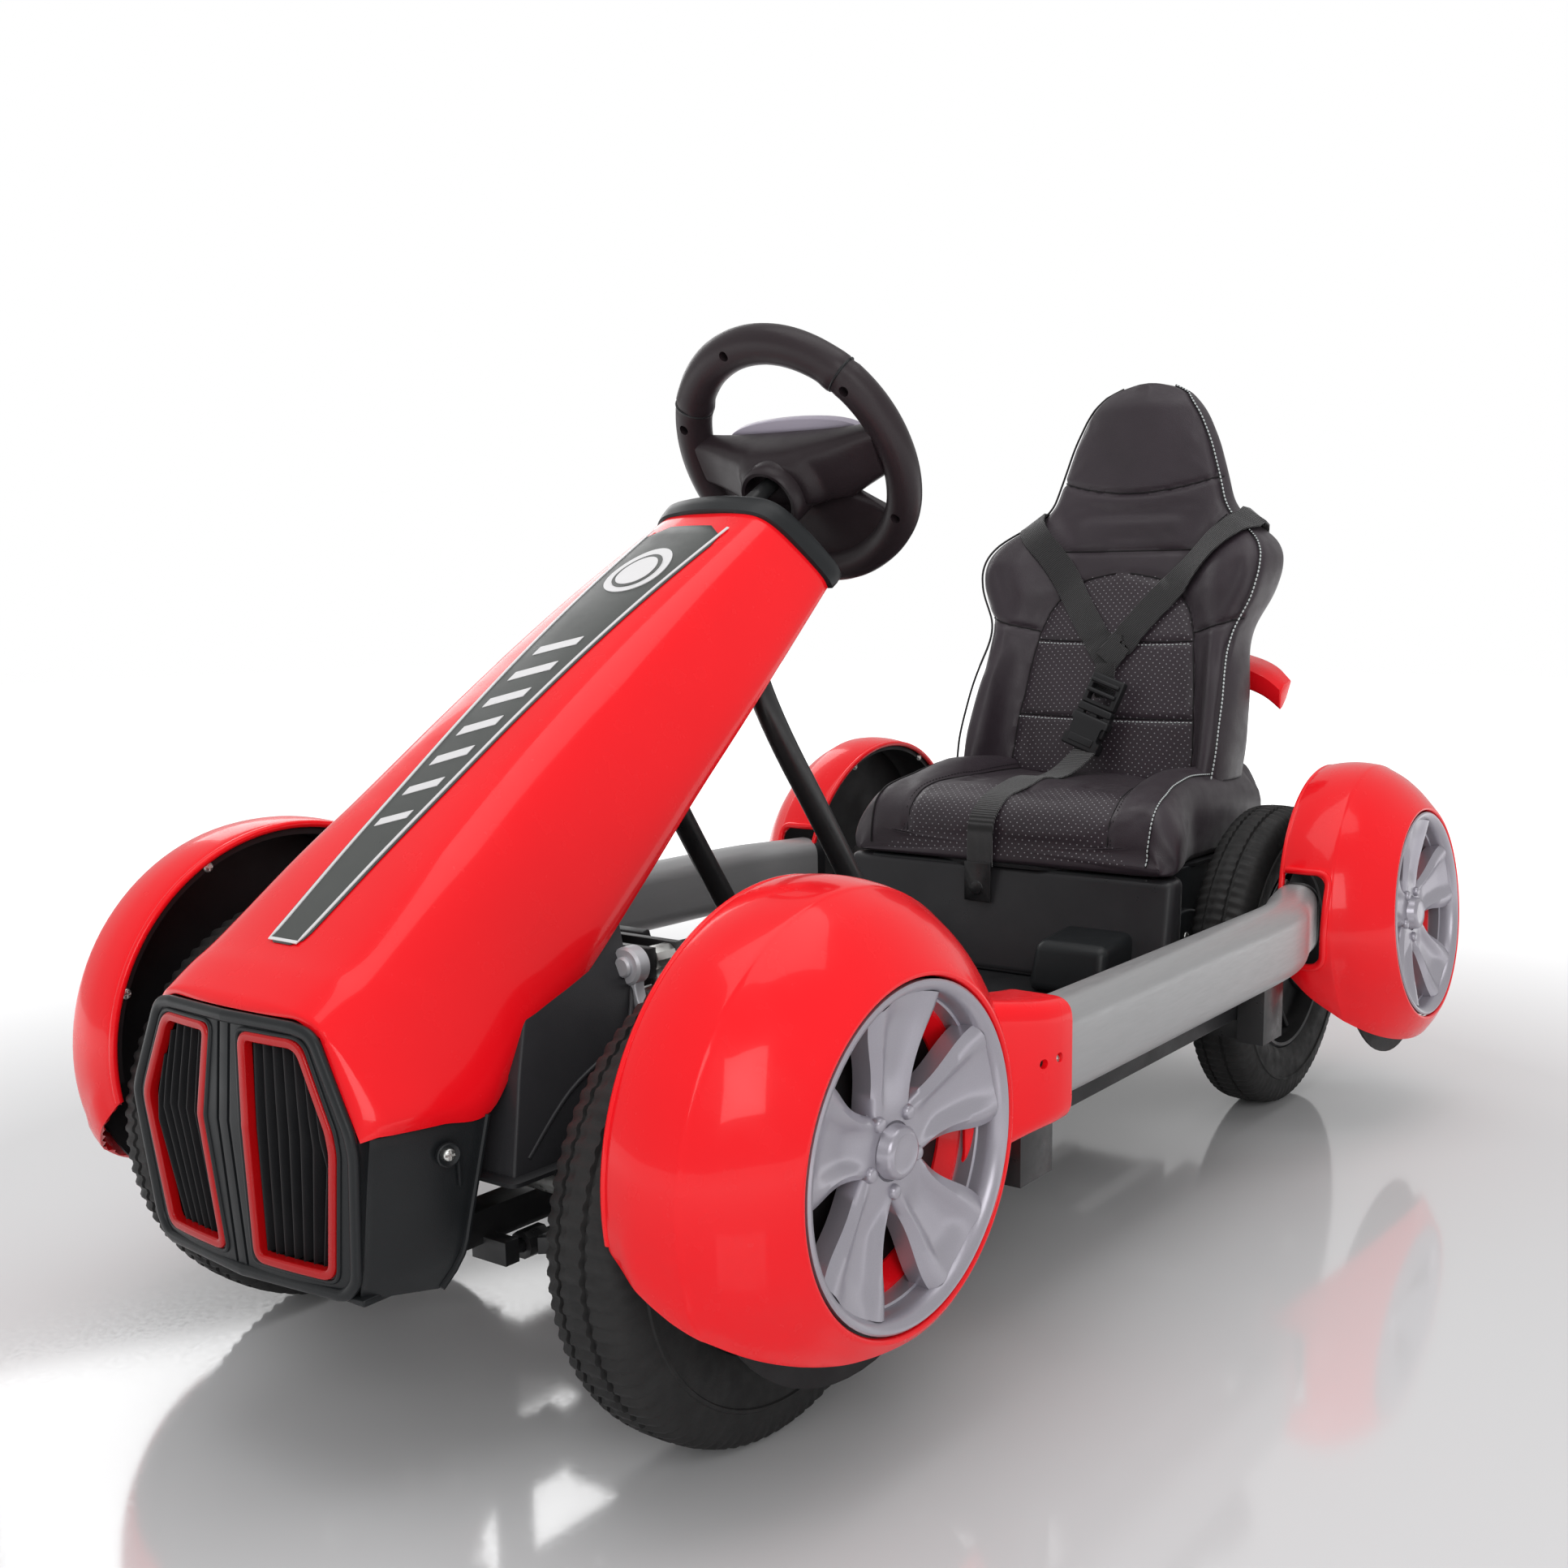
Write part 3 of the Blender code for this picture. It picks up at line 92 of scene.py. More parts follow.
def object_coords(mat, scale=(1, 1, 1), turn=(0, 0, 0)):
    """Object coordinates through a Mapping node."""
    coords = add_node(mat, "ShaderNodeTexCoord")
    mapping = add_node(mat, "ShaderNodeMapping", Scale=scale, Rotation=turn)
    wire(mat, coords.outputs["Object"], mapping.inputs["Vector"])
    return mapping.outputs["Vector"]


def add_bump(mat, height, strength, distance, below=None):
    """Bump node fed by height; an earlier bump can lie below it."""
    bump = add_node(mat, "ShaderNodeBump", Strength=strength, Distance=distance)
    wire(mat, height, bump.inputs["Height"])
    if below is not None:
        wire(mat, below, bump.inputs["Normal"])
    wire(mat, bump.outputs["Normal"], shader_of(mat).inputs["Normal"])
    return bump.outputs["Normal"]


def add_mix(mat, low, high, factor):
    """Base colour that runs from low to high with factor."""
    mix = add_node(mat, "ShaderNodeMix")
    mix.data_type = "RGBA"
    mix.inputs["A"].default_value = (*low, 1.0)
    mix.inputs["B"].default_value = (*high, 1.0)
    wire(mat, factor, mix.inputs["Factor"])
    wire(mat, mix.outputs["Result"], shader_of(mat).inputs["Base Color"])
    return mix


NOISE_LOW, NOISE_HIGH = 0.3, 0.7   # nearly all of a noise texture lies between these


def add_range(mat, value, low, high, socket):
    """Socket of the shader that runs from low to high with a noise value."""
    remap = add_node(mat, "ShaderNodeMapRange", From_Min=NOISE_LOW, From_Max=NOISE_HIGH, To_Min=low,
            To_Max=high)
    wire(mat, value, remap.inputs["Value"])
    wire(mat, remap.outputs["Result"], shader_of(mat).inputs[socket])


def noise(mat, scale, detail=3.0, roughness=0.5, stretch=(1, 1, 1)):
    node = add_node(mat, "ShaderNodeTexNoise", Scale=scale, Detail=detail, Roughness=roughness)
    wire(mat, object_coords(mat, stretch), node.inputs["Vector"])
    return node.outputs["Fac"]


def maths(mat, operation, a, b=None):
    """Math node; a and b are sockets or plain numbers."""
    node = add_node(mat, "ShaderNodeMath")
    node.operation = operation
    for i, value in enumerate((a, b)):
        if value is None:
            continue
        if isinstance(value, (int, float)):
            node.inputs[i].default_value = value
        else:
            wire(mat, value, node.inputs[i])
    return node.outputs[0]


# ---------------------------------------------------------------- materials
def make_gloss_paint(name, colour, deep):
    """Glossy injection-moulded body plastic with a faint mould ripple and hazy patches."""
    mat = principled(name, colour, 0.26, Coat_Weight=0.32, Coat_Roughness=0.05, IOR=1.46,
            Specular_IOR_Level=0.18)
    add_mix(mat, deep, colour, noise(mat, 9.0, 2.0))
    add_range(mat, noise(mat, 60.0, 4.0), 0.18, 0.30, "Roughness")
    add_bump(mat, noise(mat, 22.0, 1.0), 0.05, 0.0010)
    return mat


def make_moulded_plastic(name, colour, worn, roughness, grain=1500.0, strength=0.22):
    """Matte moulded plastic with spark-eroded grain and rubbed patches."""
    mat = principled(name, colour, roughness, IOR=1.47, Specular_IOR_Level=0.32)
    add_mix(mat, colour, worn, noise(mat, 14.0, 5.0, 0.6))
    add_range(mat, noise(mat, 35.0, 5.0, 0.6), roughness - 0.07, roughness + 0.09, "Roughness")
    add_bump(mat, noise(mat, grain, 2.0), strength, 0.0003)
    return mat


def make_metal(name, colour, worn, roughness, metallic, ripple=0.10, stretch=(1, 1, 1)):
    """Painted or plated metal with fine flow marks."""
    mat = principled(name, colour, roughness, metallic, Coat_Weight=0.15, Coat_Roughness=0.2)
    add_mix(mat, colour, worn, noise(mat, 40.0, 6.0, 0.65, stretch))
    add_range(mat, noise(mat, 120.0, 5.0, 0.6, stretch), roughness - 0.08, roughness + 0.10, "Roughness")
    add_bump(mat, noise(mat, 400.0, 3.0, 0.5, stretch), ripple, 0.0003)
    return mat


def make_flake_paint(name, colour, flake):
    """Satin silver paint on plastic, with metal flake too small to see singly."""
    mat = principled(name, colour, 0.30, 0.55, Specular_IOR_Level=0.4, Coat_Weight=0.2, Coat_Roughness=0.15)
    add_mix(mat, colour, flake, noise(mat, 2200.0, 1.0))
    add_range(mat, noise(mat, 18.0, 2.0), 0.28, 0.34, "Roughness")
    return mat


def make_rubber():
    """Moulded tyre plastic: dull black, dusty in the low places."""
    mat = principled("tyre_black", (0.012, 0.012, 0.013), 0.62, Specular_IOR_Level=0.35)
    add_mix(mat, (0.009, 0.009, 0.010), (0.030, 0.029, 0.028), noise(mat, 30.0, 6.0, 0.7))
    add_range(mat, noise(mat, 90.0, 4.0), 0.52, 0.74, "Roughness")
    add_bump(mat, noise(mat, 700.0, 4.0, 0.7), 0.30, 0.0005)
    return mat


def leather_grain(mat):
    """Pebbled leather grain: small cells over soft creases."""
    cells = add_node(mat, "ShaderNodeTexVoronoi", Scale=620.0, Randomness=0.95)
    cells.feature = "DISTANCE_TO_EDGE"
    wire(mat, object_coords(mat), cells.inputs["Vector"])
    pebble = maths(mat, "MINIMUM", cells.outputs["Distance"], 0.12)
    soft = add_bump(mat, noise(mat, 55.0, 3.0, 0.6), 0.12, 0.0022)
    add_bump(mat, pebble, 0.35, 0.0012, soft)


def make_leather(name, perforated=False):
    """Black leatherette with a purple cast; the perforated cut has rows of pale pinholes."""
    dark, light = (0.0180, 0.0125, 0.0160), (0.044, 0.031, 0.041)
    mat = principled(name, dark, 0.38, Specular_IOR_Level=0.42, Sheen_Weight=0.03, Sheen_Roughness=0.5)
    mix = add_mix(mat, dark, light, noise(mat, 11.0, 4.0, 0.6))
    add_range(mat, noise(mat, 70.0, 4.0), 0.34, 0.48, "Roughness")
    leather_grain(mat)
    if perforated:
        pitch, row_share = 0.0070, 0.62   # rows lie closer together than the holes of a row
        coords = add_node(mat, "ShaderNodeTexCoord")
        split = add_node(mat, "ShaderNodeSeparateXYZ")
        wire(mat, coords.outputs["Object"], split.inputs[0])
        across = maths(mat, "DIVIDE", split.outputs["X"], pitch)
        along = maths(mat, "DIVIDE",
                      maths(mat, "ADD", split.outputs["Z"], maths(mat, "MULTIPLY", split.outputs["Y"], 0.95)),
                      pitch * row_share)
        row = maths(mat, "FLOOR", along)
        shift = maths(mat, "MULTIPLY", maths(mat, "PINGPONG", row, 1.0), 0.5)
        u = maths(mat, "SUBTRACT", maths(mat, "FRACT", maths(mat, "ADD", across, shift)), 0.5)
        v = maths(mat, "MULTIPLY", maths(mat, "SUBTRACT", maths(mat, "FRACT", along), 0.5), row_share)
        reach = maths(mat, "SQRT", maths(mat, "ADD", maths(mat, "MULTIPLY", u, u),
                maths(mat, "MULTIPLY", v, v)))
        hole = add_node(mat, "ShaderNodeMapRange", From_Min=0.07, From_Max=0.11, To_Min=1.0, To_Max=0.0)
        wire(mat, reach, hole.inputs["Value"])
        top = add_node(mat, "ShaderNodeMix")
        top.data_type = "RGBA"
        top.inputs["B"].default_value = (0.30, 0.29, 0.31, 1.0)
        wire(mat, mix.outputs["Result"], top.inputs["A"])
        wire(mat, hole.outputs["Result"], top.inputs["Factor"])
        wire(mat, top.outputs["Result"], shader_of(mat).inputs["Base Color"])
    return mat


def make_webbing(name, turn):
    """Woven nylon: fine ribs across the strap, crossed by a finer weave."""
    mat = principled(name, (0.012, 0.011, 0.012), 0.72, Sheen_Weight=0.35, Sheen_Roughness=0.4)
    coords = object_coords(mat, (1, 1, 1), turn)
    ribs = add_node(mat, "ShaderNodeTexWave", Scale=170.0, Distortion=0.3, Detail=1.0)
    ribs.bands_direction = "Z"
    cross = add_node(mat, "ShaderNodeTexWave", Scale=330.0, Distortion=0.2, Detail=1.0)
    cross.bands_direction = "X"
    for wave in (ribs, cross):
        wire(mat, coords, wave.inputs["Vector"])
    weave = maths(mat, "MULTIPLY", ribs.outputs["Fac"], maths(mat, "ADD", cross.outputs["Fac"], 0.6))
    add_mix(mat, (0.006, 0.006, 0.006), (0.030, 0.028, 0.030), weave)
    add_bump(mat, weave, 0.7, 0.0006)
    return mat


RED = make_gloss_paint("red_gloss", (1.0, 0.0075, 0.015), (0.90, 0.0055, 0.011))
RED_DEEP = make_gloss_paint("red_trim", (0.50, 0.004, 0.006), (0.42, 0.003, 0.004))
BLACK = make_moulded_plastic("black_plastic", (0.011, 0.011, 0.012), (0.020, 0.020, 0.022), 0.42)
CHARCOAL = make_moulded_plastic("charcoal_plastic", (0.0085, 0.0095, 0.0105), (0.0165, 0.0185, 0.0205),
        0.36)
WHEEL_BLACK = make_moulded_plastic("wheel_black", (0.019, 0.013, 0.015), (0.032, 0.023, 0.027), 0.36,
        900.0, 0.30)
SATIN = make_moulded_plastic("satin_plastic", (0.018, 0.018, 0.020), (0.036, 0.035, 0.038), 0.34)
LINER = make_moulded_plastic("liner_black", (0.008, 0.007, 0.008), (0.014, 0.012, 0.013), 0.55)
STRIP = make_moulded_plastic("strip_grey", (0.050, 0.055, 0.052), (0.085, 0.090, 0.086), 0.34)
WHITE = make_moulded_plastic("decal_white", (0.80, 0.79, 0.80), (0.74, 0.73, 0.74), 0.32)
STEEL = make_metal("frame_steel", (0.012, 0.012, 0.013), (0.030, 0.030, 0.031), 0.34, 0.2)
SILVER = make_metal("bar_silver", (0.33, 0.33, 0.335), (0.38, 0.38, 0.385), 0.36, 0.35, 0.06, (4, 0.4, 4))
CAP = make_flake_paint("cap_silver", (0.37, 0.355, 0.40), (0.45, 0.43, 0.48))
ALLOY = make_metal("cast_alloy", (0.50, 0.50, 0.53), (0.62, 0.62, 0.65), 0.42, 0.35)
ZINC = make_metal("zinc_steel", (0.52, 0.52, 0.50), (0.70, 0.70, 0.68), 0.32, 0.95)
SPRING = make_metal("spring_red", (0.66, 0.035, 0.012), (0.50, 0.020, 0.010), 0.30, 0.1)
# pad colour: a pinkish grey painted highlight that stands for the light on the pad's upper face
PAD_PAINTED_HIGHLIGHT = make_moulded_plastic("pad_painted_highlight", (0.40, 0.36, 0.44), (0.46, 0.42, 0.50), 0.34)
TYRE = make_rubber()
LEATHER = make_leather("leatherette")
PERFORATED = make_leather("leatherette_perforated", True)
THREAD = make_moulded_plastic("white_thread", (0.62, 0.66, 0.66), (0.50, 0.54, 0.54), 0.6, 2500.0, 0.6)
WEBBING = make_webbing("webbing_cross", (0, math.radians(45), 0))
WEBBING_FLAT = make_webbing("webbing_flat", (math.radians(90), 0, 0))


# ---------------------------------------------------------------- mesh helpers
def dress(obj, mat, body="root", replaced=(), angle=40.0):
    """Give a finished piece its material, its body and the CAD nodes that it stands for."""
    if mat is not None:
        obj.data.materials.clear()
        obj.data.materials.append(mat)
    if obj.type == "MESH":
        obj.data.shade_smooth()
        obj.data.set_sharp_from_angle(angle=math.radians(angle))
    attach(obj, body)
    if replaced:
        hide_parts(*replaced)
    return obj


def link_mesh(name, verts, faces):
    mesh = bpy.data.meshes.new(name)
    mesh.from_pydata([tuple(v) for v in verts], [], faces)
    bm = bmesh.new()
    bm.from_mesh(mesh)
    bmesh.ops.remove_doubles(bm, verts=bm.verts, dist=1e-6)
    bmesh.ops.recalc_face_normals(bm, faces=bm.faces)
    bm.to_mesh(mesh)
    bm.free()
    obj = bpy.data.objects.new(name, mesh)
    bpy.context.collection.objects.link(obj)
    return obj


def apply_all(obj):
    """Replace the mesh by what its modifiers make of it."""
    graph = bpy.context.evaluated_depsgraph_get()
    mesh = bpy.data.meshes.new_from_object(obj.evaluated_get(graph))
    obj.modifiers.clear()
    obj.data = mesh
    return obj


def add_bevel(obj, width, segments=2, angle=40.0):
    mod = obj.modifiers.new("bevel", "BEVEL")
    mod.width = width
    mod.segments = segments
    mod.limit_method = "ANGLE"
    mod.angle_limit = math.radians(angle)
    mod.use_clamp_overlap = True
    return obj


def add_subdivision(obj, levels):
    mod = obj.modifiers.new("subdivision", "SUBSURF")
    mod.levels = mod.render_levels = levels
    return obj


def loft(name, rings, closed=False, caps=True, open_rings=False):
    """Skin over rings of points; open_rings are strips, closed joins the last ring to the first."""
    n = len(rings[0])
    verts = [v for ring in rings for v in ring]
    faces = []
    last = len(rings) if closed else len(rings) - 1
    for i in range(last):
        a, b = i * n, (i + 1) % len(rings) * n
        for j in range(n - 1 if open_rings else n):
            k = (j + 1) % n
            faces.append((a + j, a + k, b + k, b + j))
    if caps and not closed and not open_rings:
        faces.append(tuple(range(n))[::-1])
        faces.append(tuple((len(rings) - 1) * n + j for j in range(n)))
    return link_mesh(name, verts, faces)


def axis_frame(origin, direction):
    """Matrix at origin whose Z axis points along direction."""
    z = Vector(direction).normalized()
    up = Vector((0, 1, 0)) if abs(z.z) > 0.99 else Vector((0, 0, 1))
    x = up.cross(z).normalized()
    y = z.cross(x)
    matrix = Matrix((x, y, z)).transposed().to_4x4()
    matrix.translation = Vector(origin)
    return matrix


def polar(radius, angle, z=0.0):
    return Vector((radius * math.cos(angle), radius * math.sin(angle), z))


def turned(name, profile, steps, matrix):
    """Turned piece from the (distance along, radius) points of its closed profile."""
    rings = []
    for k in range(steps):
        angle = 2 * math.pi * k / steps
        rings.append([matrix @ polar(r, angle, z) for z, r in profile])
    return loft(name, rings, closed=True)


def rounded(points, times=2, closed=False):
    """Corner-cutting that turns an outline into a soft curve."""
    points = [Vector(p) for p in points]
    for _ in range(times):
        result = [] if closed else [points[0]]
        pairs = list(zip(points, points[1:])) + ([(points[-1], points[0])] if closed else [])
        for i, (a, b) in enumerate(pairs):
            if closed or i > 0:
                result.append(a.lerp(b, 0.25))
            if closed or i < len(pairs) - 1:
                result.append(a.lerp(b, 0.75))
        if not closed:
            result.append(points[-1])
        points = result
    return points


def spline(p0, p1, p2, p3, t):
    """Catmull-Rom point between p1 and p2."""
    return 0.5 * ((2 * p1) + (p2 - p0) * t + (2 * p0 - 5 * p1 + 4 * p2 - p3) * t ** 2
                  + (3 * p1 - p0 - 3 * p2 + p3) * t ** 3)


def smooth_path(points, per_span=8):
    """Smooth curve through the points."""
    points = [Vector(p) for p in points]
    n = len(points)
    out = []
    for i in range(n - 1):
        span = points[max(i - 1, 0)], points[i], points[i + 1], points[min(i + 2, n - 1)]
        out += [spline(*span, k / per_span) for k in range(per_span)]
    return out + [points[-1]]


def eased(items, times, blend):
    """List whose inner items are replaced by blend(item before, item, item after), some times over."""
    for _ in range(times):
        inner = [blend(a, b, c) for a, b, c in zip(items, items[1:], items[2:])]
        items = [items[0]] + inner + [items[-1]]
    return items


def sweep(name, path, section, closed=False, up=Vector((0, 0, 1)), ups=None):
    """Section of (across, up) points carried along a path; ups may give the up vector at each point."""
    rings = []
    n = len(path)
    for i, point in enumerate(path):
        if closed:
            along = path[(i + 1) % n] - path[i - 1]
        else:
            along = path[min(i + 1, n - 1)] - path[max(i - 1, 0)]
        along.normalize()
        high = Vector(ups[i]) if ups else up
        across = along.cross(high).normalized()
        high = across.cross(along).normalized()
        rings.append([point + across * a + high * h for a, h in section])
    return loft(name, rings, closed=closed)


def circle(radius, steps, stretch=1.0):
    return [(radius * math.cos(2 * math.pi * k / steps),
            stretch * radius * math.sin(2 * math.pi * k / steps))
            for k in range(steps)]


def pipe(name, path, radius, steps=12, closed=False, up=Vector((0, 0, 1))):
    return sweep(name, path, circle(radius, steps), closed, up)


def round_box(name, low, high, bevel, segments=3, matrix=None):
    """Box with rounded edges."""
    x0, y0, z0 = low
    x1, y1, z1 = high
    rings = [[Vector((x0, y0, z)), Vector((x1, y0, z)), Vector((x1, y1, z)), Vector((x0, y1, z))]
            for z in (z0, z1)]
    if matrix is not None:
        rings = [[matrix @ p for p in ring] for ring in rings]
    return apply_all(add_bevel(loft(name, rings), bevel, segments))


def rod(name, start, end, radius, steps=20, bevel=0.0006):
    """Round bar between two points, with chamfered ends."""
    start, end = Vector(start), Vector(end)
    matrix = axis_frame(start, end - start)
    length = (end - start).length
    profile = [(0.0, 0.0), (0.0, radius - bevel), (bevel, radius), (length - bevel, radius),
               (length, radius - bevel), (length, 0.0)]
    return turned(name, profile, steps, matrix)


def join(name, objects):
    """Several meshes as one object; their surfaces stay separate shells."""
    bm = bmesh.new()
    mats = []
    for obj in objects:
        start = len(bm.faces)
        bm.from_mesh(obj.data)
        bm.faces.ensure_lookup_table()
        offset = len(mats)
        own = [m for m in obj.data.materials]
        for face in bm.faces[start:]:
            face.material_index = face.material_index + offset if own else 0
        mats += own
    for obj in objects:
        bpy.data.objects.remove(obj, do_unlink=True)
    mesh = bpy.data.meshes.new(name)
    bm.to_mesh(mesh)
    bm.free()
    for mat in mats:
        mesh.materials.append(mat)
    result = bpy.data.objects.new(name, mesh)
    bpy.context.collection.objects.link(result)
    return result


def cut(obj, cutter):
    """Take cutter's volume out of the piece; the cutter is used up."""
    mod = obj.modifiers.new("cut", "BOOLEAN")
    mod.operation = "DIFFERENCE"
    mod.object = cutter
    mod.solver = "EXACT"
    apply_all(obj)
    bpy.data.objects.remove(cutter, do_unlink=True)
    return obj


def soften(node, mat, body, slot, width=0.0012, segments=3):
    """Bevelled copy of a CAD node that stands for it."""
    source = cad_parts[node]
    mesh = source.data.copy()
    bm = bmesh.new()
    bm.from_mesh(mesh)
    bmesh.ops.remove_doubles(bm, verts=bm.verts, dist=2e-6)
    bmesh.ops.dissolve_limit(bm, angle_limit=math.radians(1.0), verts=bm.verts, edges=bm.edges)
    bm.to_mesh(mesh)
    bm.free()
    obj = bpy.data.objects.new(node + "_finished", mesh)
    bpy.context.collection.objects.link(obj)
    for layer in list(mesh.attributes):
        if layer.name in ("sharp_edge", "sharp_face", "custom_normal"):
            mesh.attributes.remove(layer)
    apply_all(add_bevel(obj, width, segments, 32.0))
    return dress(obj, mat, body, [node])


def screw(name, origin, direction, radius=0.0042):
    """Domed screw head with a cross recess."""
    matrix = axis_frame(origin, direction)
    profile = [(-0.001, 0.0), (-0.001, radius), (0.0004, radius), (0.0014, 0.8 * radius),
            (0.0019, 0.45 * radius),
               (0.0020, 0.0)]
    head = turned(name, profile, 20, matrix)
    for wide, deep in ((0.75 * radius, 0.18 * radius), (0.18 * radius, 0.75 * radius)):
        slot_box = round_box("recess", (-wide, -deep, 0.0010), (wide, deep, 0.004), 0.0001, 1, matrix)
        cut(head, slot_box)
    return dress(head, ZINC, "root")


def fillet(corners, radius, steps=5):
    """Closed 2-D outline whose corners are rounded; radius is one value or one for each corner."""
    result = []
    n = len(corners)
    for i in range(n):
        a, b, c = Vector(corners[i - 1]), Vector(corners[i]), Vector(corners[(i + 1) % n])
        r = radius[i] if isinstance(radius, (list, tuple)) else radius
        to_a, to_c = (a - b).normalized(), (c - b).normalized()
        half = math.acos(max(-1.0, min(1.0, to_a.dot(to_c)))) / 2
        reach = min(r / max(math.tan(half), 1e-6), 0.49 * (a - b).length, 0.49 * (c - b).length)
        start, end = b + to_a * reach, b + to_c * reach
        for k in range(steps + 1):
            t = k / steps
            result.append((1 - t) ** 2 * start + 2 * t * (1 - t) * b + t * t * end)
    return result


def mirrored(obj, name, body, replaced=()):
    """Copy of a left-hand piece on the right-hand side."""
    mesh = obj.data.copy()
    mesh.transform(Matrix.Scale(-1, 4, (1, 0, 0)))
    mesh.flip_normals()
    copy = bpy.data.objects.new(name, mesh)
    bpy.context.collection.objects.link(copy)
    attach(copy, body)
    if replaced:
        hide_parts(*replaced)
    return copy


def both_sides(obj, stem, body="root", replaced=()):
    """Name a left-hand piece stem_left, put it on its body and add its mirror copy.

    body and the replaced nodes may hold {} where the side's name goes."""
    obj.name = stem + "_left"
    obj.data.shade_smooth()
    obj.data.set_sharp_from_angle(angle=math.radians(40.0))
    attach(obj, body.format("left"))
    if replaced:
        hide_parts(*[node.format("left") for node in replaced])
    mirrored(obj, stem + "_right", body.format("right"), [node.format("right") for node in replaced])
    return obj


def paint(obj, mat):
    obj.data.materials.clear()
    obj.data.materials.append(mat)
    return obj


def face_outward(obj, inside):
    """Turn an open skin's faces away from the point inside."""
    inside = Vector(inside)
    total = sum(p.normal.dot(p.center - inside) * p.area for p in obj.data.polygons)
    if total < 0:
        obj.data.flip_normals()
    return obj


def skin(name, rows, thickness, inside, bevel=0.0010, segments=2):
    """Moulded wall: rows are its outer face, thickness goes towards inside."""
    obj = face_outward(loft(name, rows, open_rings=True), inside)
    return wall(obj, thickness, bevel, segments)


def wall(obj, thickness, bevel=0.0010, segments=2):
    """Give an open skin an even thickness on its inner side, with soft edges."""
    mod = obj.modifiers.new("wall", "SOLIDIFY")
    mod.thickness = thickness
    mod.offset = -1
    mod.use_even_offset = True
    mod.thickness_clamp = 1.0
    add_bevel(obj, bevel, segments, 50.0)
    return apply_all(obj)


# ---------------------------------------------------------------- camera, floor and light
def make_stage():
    data = bpy.data.cameras.new("camera")
    data.sensor_width = 36.0
    data.lens = 37.7
    data.shift_x = -0.089
    data.shift_y = 0.058
    camera = bpy.data.objects.new("camera", data)
    camera.location = (0.764, -1.025, 0.472)
    camera.rotation_euler = (math.radians(80.45), math.radians(0.27), math.radians(33.69))
    bpy.context.collection.objects.link(camera)
    bpy.context.scene.camera = camera

    floor = loft("floor", [[(-9, -9, 0), (9, -9, 0)], [(-9, 9, 0), (9, 9, 0)]], open_rings=True)
    ground = principled("floor_pale", (0.80, 0.80, 0.81), 0.08, Specular_IOR_Level=1.0, IOR=1.7)
    add_range(ground, noise(ground, 260.0, 2.0), 0.06, 0.12, "Roughness")
    # painted light: the floor emits more white the farther it is from the kart, so the far floor glows white
    place = add_node(ground, "ShaderNodeTexCoord")
    reach = add_node(ground, "ShaderNodeVectorMath")
    reach.operation = "LENGTH"
    wire(ground, place.outputs["Object"], reach.inputs[0])
    painted_floor_glow = add_node(ground, "ShaderNodeMapRange", From_Min=0.75, From_Max=1.9, To_Min=0.0, To_Max=0.85)
    wire(ground, reach.outputs["Value"], painted_floor_glow.inputs["Value"])
    shader_of(ground).inputs["Emission Color"].default_value = (1.0, 1.0, 1.0, 1.0)
    wire(ground, painted_floor_glow.outputs["Result"], shader_of(ground).inputs["Emission Strength"])
    floor.data.materials.append(ground)

    bpy.context.scene.view_settings.view_transform = "Standard"
    world = bpy.data.worlds.new("studio")
    bpy.context.scene.world = world
    world.use_nodes = True
    background = world.node_tree.nodes["Background"]
    background.inputs["Color"].default_value = (1.0, 1.0, 1.0, 1.0)
    rays = add_node(world, "ShaderNodeLightPath")
    strength = add_node(world, "ShaderNodeMapRange")
    strength.inputs["To Min"].default_value = 0.60
    strength.inputs["To Max"].default_value = 1.0
    wire(world, rays.outputs["Is Camera Ray"], strength.inputs["Value"])
    wire(world, strength.outputs["Result"], background.inputs["Strength"])

    def softbox(name, place, target, size, power):
        light = bpy.data.lights.new(name, "AREA")
        light.shape = "RECTANGLE"
        light.size, light.size_y = size
        light.energy = power
        obj = bpy.data.objects.new(name, light)
        obj.location = place
        obj.rotation_euler = (Vector(target) - Vector(place)).to_track_quat("-Z", "Y").to_euler()
        bpy.context.collection.objects.link(obj)

    softbox("top_light", (0.3, -0.2, 2.4), (0, 0, 0.2), (2.2, 1.6), 17)
    softbox("key_light", (1.9, -2.0, 1.5), (0, -0.1, 0.25), (1.2, 1.2), 15)
    softbox("rim_light", (-2.0, 1.0, 1.5), (0, 0, 0.3), (1.4, 1.0), 10)


# ---------------------------------------------------------------- cowl
COWL_STATIONS = [
    # top line (y, z) and lower edge (x, y, z), from the nose to the collar
    ((-0.531, 0.2705), (0.101, -0.514, 0.2070)),
    ((-0.515, 0.282), (0.107, -0.488, 0.2065)),
    ((-0.495, 0.295), (0.111, -0.459, 0.2065)),
    ((-0.445, 0.333), (0.105, -0.425, 0.238)),
    ((-0.400, 0.366), (0.099, -0.380, 0.258)),
    ((-0.345, 0.406), (0.092, -0.320, 0.304)),
    ((-0.285, 0.447), (0.086, -0.262, 0.352)),
    ((-0.225, 0.485), (0.080, -0.197, 0.404)),
    ((-0.145, 0.532), (0.069, -0.100, 0.482)),
]
COWL_WALL = 0.0035
LAST_STATION = len(COWL_STATIONS) - 1.0


def at_station(t):
    """Top line and lower edge of the cowl at a place between stations."""
    n = len(COWL_STATIONS)
    i = min(max(int(t), 0), n - 2)
    f = t - i
    rows = [COWL_STATIONS[min(max(i + k, 0), n - 1)] for k in (-1, 0, 1, 2)]
    values = []
    for part in (0, 1):
        p0, p1, p2, p3 = (Vector(row[part]) if part else Vector((0, *row[part])) for row in rows)
        values.append(spline(p0, p1, p2, p3, f))
    return values


